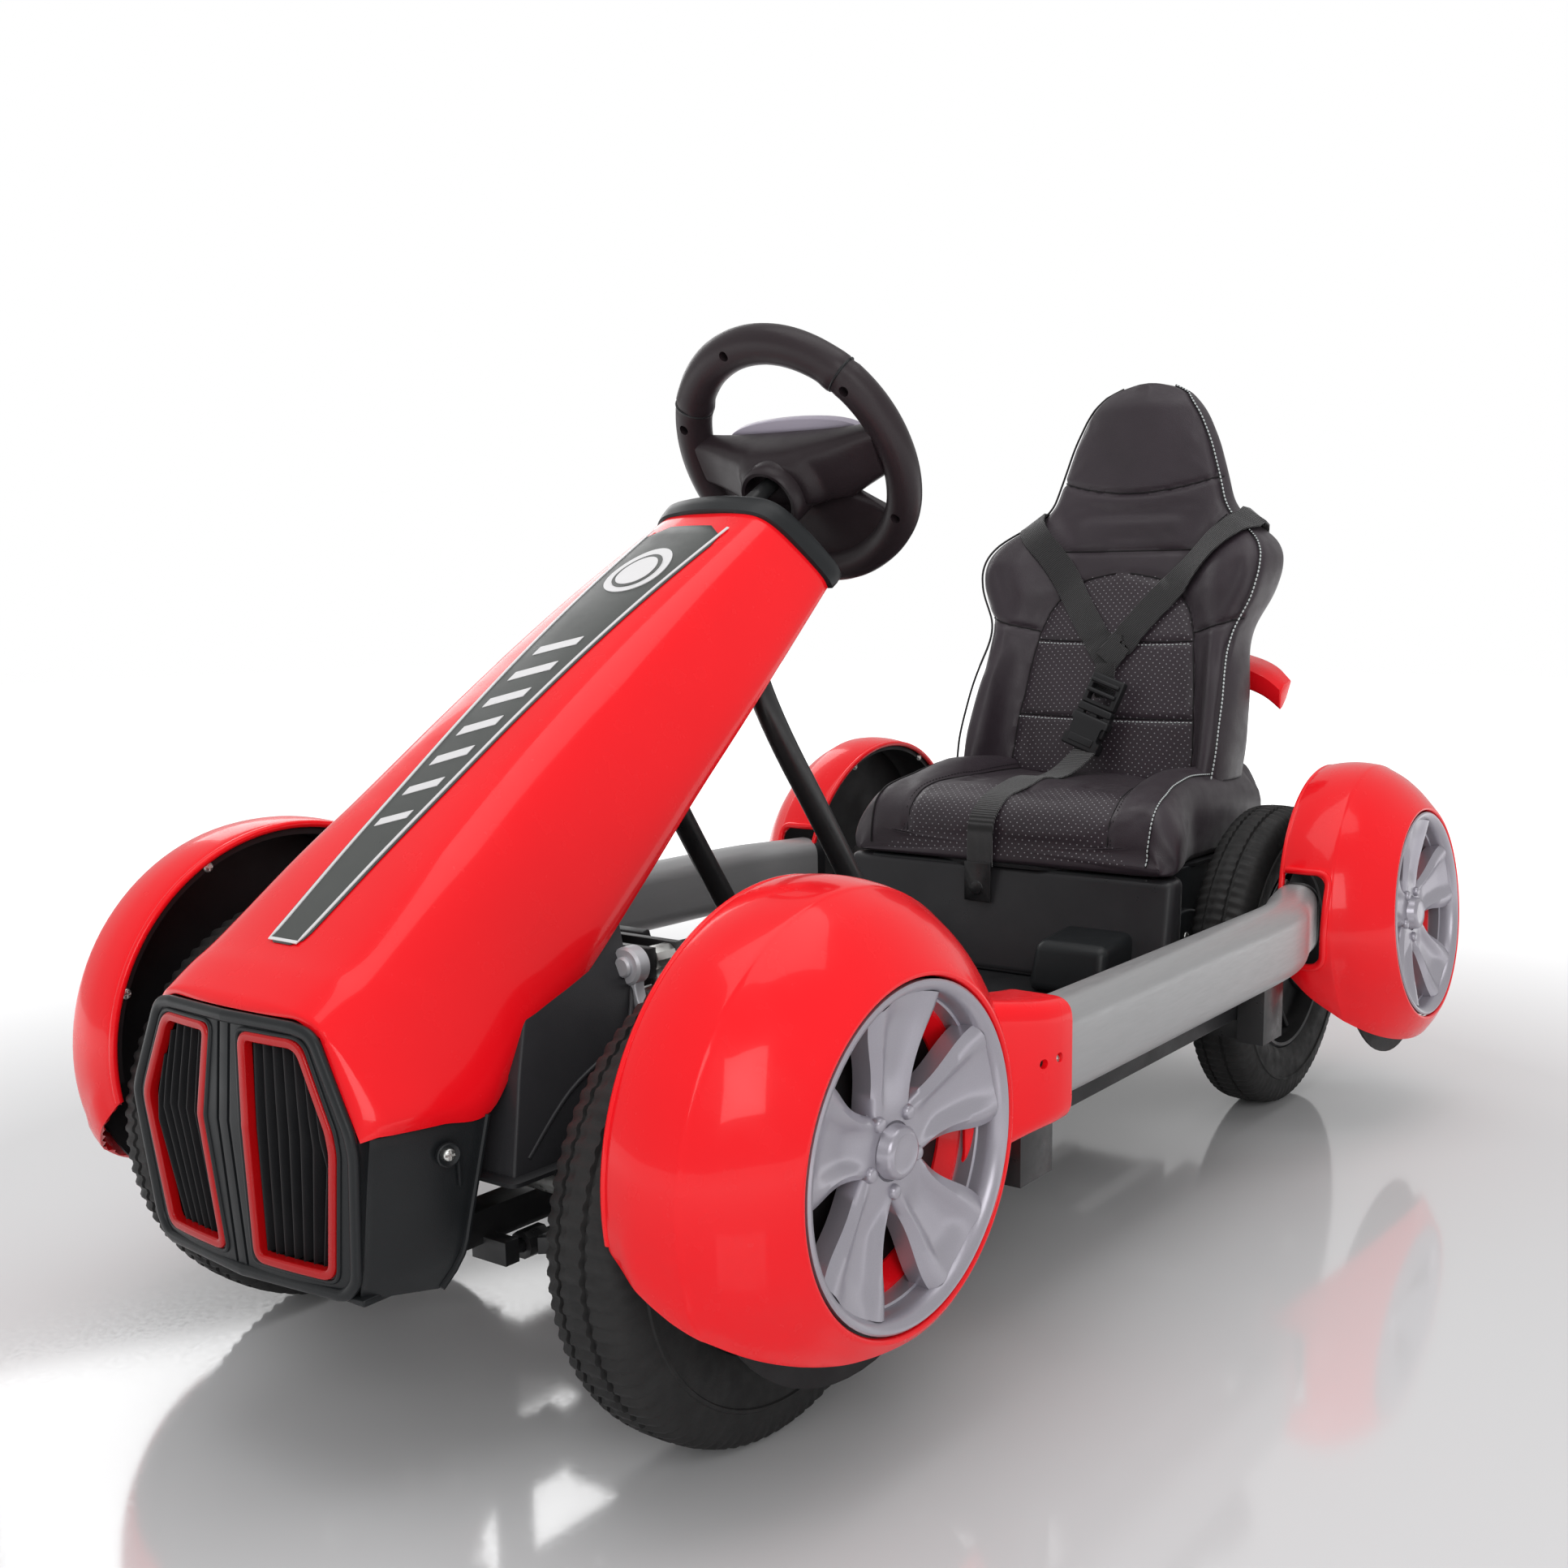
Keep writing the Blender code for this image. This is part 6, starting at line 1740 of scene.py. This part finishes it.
# ---------------------------------------------------------------- steering wheel and column
WHEEL_CENTRE = Vector((0, -0.046, 0.572))
COLUMN_ANGLE = math.radians(31)
COLUMN_DIR = Vector((0, -math.cos(COLUMN_ANGLE), -math.sin(COLUMN_ANGLE)))
WHEEL_FRAME = Matrix((Vector((1, 0, 0)), Vector((0, -math.sin(COLUMN_ANGLE), math.cos(COLUMN_ANGLE))),
                      COLUMN_DIR)).transposed().to_4x4()
WHEEL_FRAME.translation = WHEEL_CENTRE
RIM_RADIUS = 0.0902


def rim_point(angle, around, size=1.0):
    """Point on the rim's surface; angle runs round the wheel from +X, around runs round the grip."""
    top = math.sin(angle)
    wide = 0.0130 + 0.0006 * top
    low = smoothstep(-0.35, -0.95, top)
    inner = math.cos(around) < 0
    across = wide * math.cos(around) * (1.10 if inner and top > 0 else 1.0)
    deep = 0.0128 * math.sin(around)
    radius = RIM_RADIUS - 0.0010 * low + across * size
    return Vector((radius * math.cos(angle), radius * math.sin(angle) + 0.0035 * low, deep * size))


def make_steering_wheel():
    """Steering wheel with its grip beads and pad, the horn button and the column."""
    steps, around = 144, 24
    breaks = [math.radians(a) for a in (43, 148)]
    rings = []
    for i in range(steps):
        angle = 2 * math.pi * i / steps
        ring = []
        for j in range(around):
            turn = 2 * math.pi * j / around
            size = 1.0
            # grip zones bulge where they meet the spokes, and a moulded step closes each of them
            for side in (0, 1):
                off = (angle - breaks[side]) * (1 if side == 0 else -1)
                if off > math.pi:
                    off -= 2 * math.pi
                elif off < -math.pi:
                    off += 2 * math.pi
                size += 0.055 * math.exp(-((off - 0.05) / 0.07) ** 2) * (1.6 if math.cos(turn) < 0 else 0.6)
                size -= 0.075 * math.exp(-(off / 0.016) ** 2)
            ring.append(WHEEL_FRAME @ rim_point(angle, turn, size))
        rings.append(ring)
    rim = loft("rim", rings, closed=True)
    for x, y in ((-0.0200, 0.0880), (-0.0830, 0.0360), (0.0720, 0.0545), (0.0795, -0.0430),
            (-0.0700, -0.0570)):
        matrix = WHEEL_FRAME @ Matrix.Translation((x, y, 0.0055))
        cut(rim, turned("hole", [(0.0, 0.0), (0.0, 0.0037), (0.0120, 0.0037), (0.0120, 0.0)], 20, matrix))
    pieces = [rim]

    # broad cross-bar with a boss towards the column, and the wide, recessed lower spoke
    def high(x):
        return 0.0225 + 0.0030 * (x / 0.08) ** 4

    def bar_low(x):
        return -0.0265 + 0.44 * max(0.0, abs(x) - 0.047)

    def spoke_high(x):
        return -0.0235 - 0.73 * max(0.0, abs(x) - 0.043)

    def spoke_low(x):
        return -math.sqrt(0.0850 ** 2 - x * x)

    def bar_front(x, y):
        reach = abs(x) / 0.08
        dish = 0.0190 * (1 - smoothstep(0.15, 1.0, reach)) * smoothstep(-0.075, 0.0, y)
        boss = 1 - smoothstep(0.0245, 0.0380, math.hypot(x, y + 0.0085))
        return 0.0120 + dish * (1 - boss) + 0.0230 * boss

    def spoke_front(x, y):
        return 0.0040 + 0.0110 * (1 - smoothstep(0.010, 0.060, abs(x))) * smoothstep(-0.080, -0.020, y)

    def plate(name, half, low, high, front, columns, rows):
        rings = []
        for i in range(columns + 1):
            x = half * (i / columns * 2 - 1)
            line_f, line_b = [], []
            for j in range(rows + 1):
                across = -math.cos(math.pi * j / rows)
                y = 0.5 * (low(x) + high(x)) + 0.5 * (high(x) - low(x)) * across
                full = (1.0 - abs(across) ** 5) ** 0.45
                line_f.append(WHEEL_FRAME @ Vector((x, y, (front(x, y) + 0.0010) * full - 0.0010)))
                line_b.append(WHEEL_FRAME @ Vector((x, y, -0.0010 - 0.0055 * full)))
            rings.append(line_f + line_b[-2:0:-1])
        return loft(name, rings)

    pieces.append(plate("cross_bar", 0.0810, bar_low, high, bar_front, 96, 48))
    pieces.append(plate("lower_spoke", 0.0765, spoke_low, spoke_high, spoke_front, 60, 32))

    # round end of the boss that the column runs into
    boss = [(0.0200, 0.0), (0.0200, 0.0247), (0.0345, 0.0250), (0.0440, 0.0238), (0.0455, 0.0222),
            (0.0450, 0.0196),
            (0.0330, 0.0188), (0.0330, 0.0)]
    pieces.append(turned("boss", boss, 64, WHEEL_FRAME @ Matrix.Translation((0, -0.0085, 0))))
    wheel = join("steering_wheel_moulding", pieces)
    dress(wheel, WHEEL_BLACK, "steering", ["steering_wheel"], 42.0)
    for k, (angle, side) in enumerate(((43, 1), (148, -1))):
        a = math.radians(angle) + side * 0.010
        path = [WHEEL_FRAME @ rim_point(a, 2 * math.pi * j / 32, 0.99) for j in range(32)]
        bead = pipe("grip_bead_%d" % (k + 1), path, 0.0009, 8, True, up=COLUMN_DIR)
        dress(bead, CHARCOAL, "steering")

    # pad on the driver's side, coloured pinkish grey as a painted highlight on its upper face
    pad = []
    outline = rounded([Vector(p) for p in ((-0.066, 0.0140, 0), (-0.048, 0.0245, 0), (0.0, 0.0280, 0),
            (0.048, 0.0245, 0),
                                           (0.066, 0.0140, 0), (0.054, -0.012, 0), (0.022, -0.026, 0),
                                           (-0.022, -0.026, 0), (-0.054, -0.012, 0))], 3, True)
    for depth, grow in ((-0.0070, 1.0), (-0.0125, 1.0), (-0.0158, 0.94), (-0.0172, 0.80), (-0.0180, 0.40)):
        pad.append([WHEEL_FRAME @ Vector((p.x * grow, p.y * grow + 0.002, depth)) for p in outline])
    cover = apply_all(add_bevel(loft("wheel_pad", pad), 0.0008, 2))
    dress(cover, PAD_PAINTED_HIGHLIGHT, "steering")
    button = turned("horn_button_cap", [(-0.0172, 0.0), (-0.0172, 0.0152), (-0.0190, 0.0150),
            (-0.0206, 0.0128),
                                        (-0.0212, 0.0080), (-0.0214, 0.0)], 40, WHEEL_FRAME)
    dress(button, CHARCOAL, "horn", ["horn_button"])
    column = turned("steering_column_tube", [(0.0110, 0.0), (0.0110, 0.0059), (0.1055, 0.0059),
            (0.1062, 0.0090),
                                             (0.1105, 0.0092), (0.1110, 0.0)], 32, WHEEL_FRAME)
    ears = [round_box("ear", (x0, -0.0034, 0.1090), (x1, 0.0034, 0.1205), 0.0008, 2, WHEEL_FRAME)
            for x0, x1 in ((0.0067, 0.0094), (-0.0094, -0.0067))]
    dress(join("steering_column_tube", [column] + ears), STEEL, "steering",
            ["steering_column"])
    soften("lower_steering_shaft", STEEL, "lower_shaft", "frame_steel", 0.0006, 2)


# ---------------------------------------------------------------- collar, dash and hoop
COLLAR_NORMAL = Vector((0, 0.743, 0.669))


def make_collar():
    """Black end plate round the cowl's upper end, the dash hump and the rocker."""
    points = cowl_section(LAST_STATION)
    middle = sum(points, Vector()) / len(points)

    def ring(lift, drop):
        return [p + (p - middle).normalized() * lift + COLLAR_NORMAL * drop for p in points]

    plate = loft("collar", [ring(0.0014, -0.0030), ring(0.0036, -0.0016), ring(0.0044, 0.0040),
                            ring(0.0042, 0.0110), ring(0.0026, 0.0134), ring(-0.004, 0.0140)])
    apply_all(add_bevel(plate, 0.0008, 2, 60.0))
    base = Vector((0, -0.1151, 0.5137))
    hump = round_box("hump", (-0.036, base.y - 0.010, base.z - 0.030),
            (0.036, base.y + 0.040, base.z - 0.004), 0.004, 4)
    cut(hump, round_box("pocket", (-0.0255, base.y + 0.016, base.z - 0.024),
            (-0.0095, base.y + 0.032, base.z + 0.010),
                        0.0008, 1))
    for piece in (plate, hump):
        cut(piece, rod("bore", WHEEL_CENTRE + COLUMN_DIR * 0.03, WHEEL_CENTRE + COLUMN_DIR * 0.13, 0.0076,
                32))
    dress(plate, CHARCOAL, replaced=["cowl_collar"])
    dress(hump, BLACK)
    half = [(0.0700, 0.006, 0.1352), (0.0700, 0.006, 0.150), (0.070, -0.010, 0.172), (0.070, -0.100, 0.302),
            (0.063, -0.168, 0.402), (0.040, -0.160, 0.455), (0.0, -0.150, 0.462)]
    line = half + [(-x, y, z) for x, y, z in half[-2::-1]]
    hoop = pipe("column_hoop_tube", rounded(line, 3), 0.0088, 20, up=Vector((1, 0.2, 0)))
    dress(hoop, STEEL, "root", ["column_hoop"])
    soften("direction_switch", BLACK, "switch", "black_plastic", 0.0014, 3)


# ---------------------------------------------------------------- side bars
BAR_STATIONS = [(0.268, -0.238, -16), (0.281, -0.205, -9), (0.285, -0.170, 0), (0.285, -0.080, 0),
        (0.285, 0.010, 0),
                (0.285, 0.100, 0), (0.285, 0.190, 0), (0.282, 0.225, 9), (0.270, 0.262, 18),
                (0.262, 0.300, 10)]
BAR_Z, BAR_HEIGHT, BAR_WIDTH = 0.200, 0.062, 0.038


def make_bars():
    """Oval side tubes, each with a black plug in its rear end."""
    rings = []
    stations = []
    for (x0, y0, a0), (x1, y1, a1) in zip(BAR_STATIONS, BAR_STATIONS[1:]):
        count = 5
        stations += [(x0 + (x1 - x0) * k / count, y0 + (y1 - y0) * k / count, a0 + (a1 - a0) * k / count)
                     for k in range(count)]
    stations.append(BAR_STATIONS[-1])
    stations = eased(stations, 3, lambda a, b, c: tuple((p + 2 * q + r) / 4 for p, q, r in zip(a, b, c)))
    half_w, half_h, corner = BAR_WIDTH / 2, BAR_HEIGHT / 2, 0.0165
    outline = []
    for sx, sz, start in ((1, 1, 0), (-1, 1, 90), (-1, -1, 180), (1, -1, 270)):
        for k in range(9):
            angle = math.radians(start + 90 * k / 8)
            outline.append((sx * (half_w - corner) + corner * math.cos(angle),
                            sz * (half_h - corner) + corner * math.sin(angle)))
    for x, y, lean in stations:
        c, s = math.cos(math.radians(lean)), math.sin(math.radians(lean))
        rings.append([Vector((x + a * c, y + a * s, BAR_Z + b)) for a, b in outline])
    tube = add_bevel(loft("side_bar_tube", rings), 0.0015, 3, 60.0)
    both_sides(paint(apply_all(tube), SILVER), "side_bar_tube", "root", ["side_bar_{}"])
    x, y, lean = stations[-1]
    c, s = math.cos(math.radians(lean)), math.sin(math.radians(lean))
    plug = [[Vector((x + a * k * c - s * d, y + a * k * s + c * d, BAR_Z + b * k)) for a, b in outline]
            for k, d in ((1.012, -0.006), (1.02, 0.0), (1.0, 0.004), (0.86, 0.0052))]
    both_sides(paint(loft("side_bar_plug", plug), BLACK), "side_bar_plug")


# ---------------------------------------------------------------- suspension
COIL_RADIUS, COIL_TURNS, COIL_STEPS = 0.0146, 6.5, 28


def make_suspension():
    """Springs, shocks, arms, knuckles and tie rods of both front wheels."""
    for side, name in SIDES:
        top = Vector((side * 0.100, -0.316, 0.262))
        foot = Vector((side * 0.116, -0.316, 0.124))
        matrix = axis_frame(top, foot - top)
        length = (foot - top).length
        low, high = 0.0232, length - 0.0312
        path = []
        for i in range(int(COIL_TURNS * COIL_STEPS) + 1):
            angle = 2 * math.pi * i / COIL_STEPS
            f = i / (COIL_TURNS * COIL_STEPS)
            rise = low + (high - low) * (f - 0.035 * math.sin(2 * math.pi * f))
            path.append(matrix @ polar(COIL_RADIUS, angle, rise))
        axis = (foot - top).normalized()
        coil = pipe("shock_coil_" + name, path, 0.0025, 12, up=axis)
        dress(coil, SPRING, "shock_" + name, ["shock_spring_" + name])
        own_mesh(coil)
        for node, body in (("shock_body", "shock_"), ("shock_rod", "shock_rod_")):
            soften(node + "_" + name, ZINC, body + name, "zinc_steel", 0.0006, 2)
        # cast clevis that holds the upper eye
        eye = top + Vector((side * 0.002, -0.0240, 0))
        head = rod("head", eye - Vector((0, 0.0070, 0)), eye + Vector((0, 0.0040, 0)), 0.0115, 40, 0.0016)
        bolt = rod("bolt", eye - Vector((0, 0.0100, 0)), eye, 0.0062, 24, 0.0012)
        neck = loft("neck", [[eye + Vector((x * a, -0.0050 + b, -0.0260 * f))
                for a, b in ((-1, 0), (1, 0), (1, 0.008),
                (-1, 0.008))]
                             for f, x in ((0.0, 0.0080), (0.45, 0.0062), (0.75, 0.0078), (1.0, 0.0120))])
        apply_all(add_bevel(neck, 0.0012, 3))
        dress(join("shock_fork_" + name, [head, bolt, neck]), ALLOY, "shock_" + name)
        collar = turned("shock_collar_" + name, [(0.0222, 0.0072), (0.0222, 0.0098), (0.0262, 0.0098),
                (0.0262, 0.0072)],
                        24, matrix)
        dress(collar, BLACK, "shock_" + name)
        soften("lower_arm_" + name, STEEL, "arm_" + name, "frame_steel", 0.0009, 2)
        soften("knuckle_" + name, ZINC, "knuckle_" + name, "zinc_steel", 0.0007, 2)
        soften("tie_rod_" + name, ZINC, "tie_" + name, "zinc_steel", 0.0006, 2)
        sleeve = rod("tie_sleeve_" + name, (side * 0.062, -0.395, 0.150), (side * 0.108, -0.395, 0.150),
                0.0125, 40, 0.0022)
        dress(sleeve, ZINC, "tie_" + name)
        nut = turned("tie_nut_" + name, [(0.0, 0.0), (0.0, 0.0046), (0.0045, 0.0046), (0.0045, 0.0)], 6,
                     Matrix.Translation((side * 0.140, -0.395, 0.1556)))
        dress(apply_all(add_bevel(nut, 0.0004, 2)), ZINC, "tie_" + name)


# ---------------------------------------------------------------- underbody, seat base and back
SOFTENED = (
    # node, material, body, slot, bevel width, bevel segments
    ("main_frame", STEEL, "root", "frame_steel", 0.0012, 2),
    ("floor_pan", BLACK, "root", "black_plastic", 0.0016, 3),
    ("seat_base", CHARCOAL, "root", "black_plastic", 0.0060, 4),
    ("under_tray", BLACK, "root", "black_plastic", 0.0040, 4),
    ("battery", BLACK, "root", "black_plastic", 0.0020, 3),
    ("rear_axle", ZINC, "root", "zinc_steel", 0.0006, 2),
    ("accelerator_pedal", BLACK, "pedal", "black_plastic", 0.0015, 3),
    ("gearbox_left", CHARCOAL, "root", "black_plastic", 0.0030, 3),
    ("gearbox_right", CHARCOAL, "root", "black_plastic", 0.0030, 3),
    ("strap_anchor", STEEL, "root", "frame_steel", 0.0008, 2),
)


def make_body_parts():
    for part in SOFTENED:
        soften(*part)
    make_inner_cover()
    make_rear_fairing()
    make_seat_skirt()
    make_seat_base_details()
    make_floor_details()
    make_pedal_details()


def make_inner_cover():
    """Black moulding under the cowl with a flange round its foot and a crease across each side."""
    def ring(half, front, back, z):
        flat = [(-half, front), (half, front), (half, back), (-half, back)]
        return [Vector((x, y, z)) for x, y in flat]

    body = loft("inner_cover", [ring(0.1230, -0.456, -0.351, 0.169), ring(0.1170, -0.444, -0.350, 0.222),
                                ring(0.0860, -0.402, -0.334, 0.290)])
    hollow = loft("hollow", [ring(0.1195, -0.4525, -0.3545, 0.150), ring(0.1135, -0.4405, -0.3535, 0.222),
                             ring(0.0825, -0.3985, -0.3375, 0.286)])
    cut(body, hollow)
    apply_all(add_bevel(body, 0.0030, 4, 25.0))
    shaft = Vector((0, -0.376, 0.168)), Vector((0, -0.147146, 0.511226))
    cut(body, rod("hole", shaft[0], shaft[1], 0.017, 32))
    dress(body, SATIN, replaced=["front_inner_cover"])
    flange = []
    for z, grow in ((0.1670, 0.0), (0.1670, 0.0050), (0.1695, 0.0055), (0.1705, 0.0035), (0.1710, 0.0)):
        flat = fillet([(-0.1230 - grow, -0.456 - grow), (0.1230 + grow, -0.456 - grow),
                (0.1230 + grow, -0.351),
                       (-0.1230 - grow, -0.351)], 0.006, 4)
        flange.append([Vector((p.x, p.y, z)) for p in flat])
    dress(loft("inner_cover_flange", flange, caps=False), BLACK)
    for side, name in SIDES:
        crease = [Vector((side * 0.1215, -0.4440, 0.178)), Vector((side * 0.1190, -0.4100, 0.206)),
                  Vector((side * 0.1165, -0.3640, 0.228)), Vector((side * 0.1040, -0.3440, 0.250))]
        dress(pipe("inner_cover_crease_" + name, smooth_path(crease, 6), 0.0013, 10), SATIN)


def make_rear_fairing():
    """Glossy red panel behind the seat and the short wing whose tips droop."""
    rows = []
    for k in range(15):
        z = 0.151 + (0.392 - 0.151) * k / 14
        half = 0.148 - 0.034 * smoothstep(0.215, 0.265, z)
        rows.append([Vector((half * (j / 10 - 1), 0.5285 - 0.0020 * (j / 10 - 1) ** 2, z))
                for j in range(21)])
    panel = skin("rear_panel", rows, 0.0070, (0, 0.3, 0.25), 0.0014)
    dress(panel, RED, "root", ["rear_fairing"])
    sections = []
    side = [(0.080, 0.4020, 0.044), (0.115, 0.3960, 0.042), (0.140, 0.3870, 0.036), (0.158, 0.3740, 0.028)]
    line = [(-x, z, chord) for x, z, chord in reversed(side)] + [(0.0, 0.4040, 0.044)] + side
    for x, z, chord in smooth_path([Vector(p) for p in line], 4):
        sections.append([Vector((x, 0.5135 + chord * f, z + h))
                for f, h in ((0.0, -0.009), (0.03, 0.007), (0.25, 0.0125),
                (0.6, 0.0140), (0.95, 0.0170),
                (1.0, 0.0140),
                (0.6, -0.0015), (0.25, -0.0095),
                (0.04, -0.0120))])
    wing = apply_all(add_bevel(loft("rear_wing", sections), 0.0014, 3, 60.0))
    dress(wing, RED, "root")


def make_seat_skirt():
    """Moulded front of the seat base, flared out in front of the rear wheels."""
    rings = []
    for z, half, front in ((0.1366, 0.172, 0.2245), (0.1700, 0.173, 0.2345), (0.2310, 0.171, 0.2480)):
        flat = [(-half, front), (half, front), (half + 0.001, front + 0.018), (0.1632, 0.283),
                (-0.1632, 0.283),
                (-half - 0.001, front + 0.018)]
        rings.append([Vector((x, y, z)) for x, y in flat])
    skirt = apply_all(add_bevel(loft("seat_base_skirt", rings), 0.0070, 5, 25.0))
    dress(skirt, SATIN)


def make_seat_base_details():
    """Boss and step on each side of the base, screws, and the lip under the cushion."""
    for side, name in SIDES:
        boss = []
        for x, grow in ((0.1470, 1.0), (0.1555, 1.0), (0.1580, 0.93)):
            outline = rounded([Vector((y, z, 0))
                    for y, z in ((0.262, 0.146), (0.352, 0.146), (0.352, 0.176),
                                                              (0.330, 0.196), (0.285, 0.196),
                                                              (0.262, 0.180))], 2, True)
            boss.append([Vector((side * x, 0.307 + (p.x - 0.307) * grow, 0.170 + (p.y - 0.170) * grow))
                    for p in outline])
        piece = apply_all(add_bevel(loft("seat_base_boss_" + name, boss), 0.0012, 3))
        dress(piece, CHARCOAL)
        foot = [(0.066, 0.176, 0.1366), (0.142, 0.176, 0.1366), (0.142, 0.250, 0.1366),
                (0.066, 0.250, 0.1366)]
        top = [(0.070, 0.186, 0.1800), (0.139, 0.186, 0.1800), (0.139, 0.250, 0.1860),
                (0.070, 0.250, 0.1860)]
        step = loft("seat_step_" + name, [[Vector((side * x, y, z)) for x, y, z in ring]
                for ring in (foot, top)])
        dress(apply_all(add_bevel(step, 0.0090, 5)), CHARCOAL)
        screw("seat_base_screw_" + name, (side * 0.1578, 0.306, 0.172), (side, 0, 0), 0.0042)
        for k, (y, z) in enumerate(((0.470, 0.165), (0.470, 0.212), (0.262, 0.215))):
            screw("seat_base_screw_%s_%d" % (name, k + 1), (side * 0.1478, y, z), (side, 0, 0), 0.0034)
    lip = []
    for z, grow in ((0.2290, 0.0), (0.2302, 0.0028), (0.2330, 0.0028), (0.2342, 0.0)):
        outline = rounded([Vector((x, y, 0))
                for x, y in ((-0.146 - grow, 0.248 - grow), (0.146 + grow, 0.248 - grow),
                                                          (0.146 + grow, 0.512), (-0.146 - grow, 0.512))],
                                                          2, True)
        lip.append([Vector((p.x, p.y, z)) for p in outline])
    dress(loft("seat_base_lip", lip), BLACK)


def make_floor_details():
    """Foot ribs on the floor, screws into the frame and cast ribs under the tray."""
    for side, name in SIDES:
        for k in range(7):
            y = -0.020 + 0.020 * k
            rib = round_box("foot_rib_%s_%d" % (name, k + 1), (side * 0.155 - 0.045, y - 0.0035, 0.1355),
                            (side * 0.155 + 0.045, y + 0.0035, 0.1388), 0.0012, 2)
            dress(rib, BLACK)
        for k, (x, y) in enumerate(((0.075, -0.150), (0.235, -0.120), (0.235, 0.090), (0.075, 0.150))):
            screw("floor_screw_%s_%d" % (name, k + 1), (side * x, y, 0.1364), (0, 0, 1), 0.0036)
    for k, x in enumerate((-0.100, -0.050, 0.0, 0.050, 0.100)):
        rib = round_box("tray_rib_%d" % (k + 1), (x - 0.002, 0.0866, 0.068), (x + 0.002, 0.0905, 0.104),
                0.0008, 2)
        dress(rib, BLACK)


def make_pedal_details():
    """Grip ribs across the pedal's face."""
    for k in range(4):
        f = 0.25 + 0.18 * k
        y, z = -0.105 - 0.006 - 0.014 * f, 0.1463 + 0.006 + 0.074 * f
        rib = round_box("pedal_rib_%d" % (k + 1), (-0.138, y + 0.001, z - 0.002),
                (-0.092, y + 0.0075, z + 0.002), 0.001, 2)
        dress(rib, BLACK, "pedal")


# ---------------------------------------------------------------- run
make_stage()
make_cowl()
make_nose()
for end in ENDS:
    make_pod(end)
    make_cap(end)
    make_wheel(end)
make_sleeve()
back_tree = tree_of(finish_backrest(make_backrest()))
make_piping()
cushion_tree = make_cushion()
make_harness(back_tree, cushion_tree)
make_steering_wheel()
make_collar()
make_bars()
make_suspension()
make_body_parts()
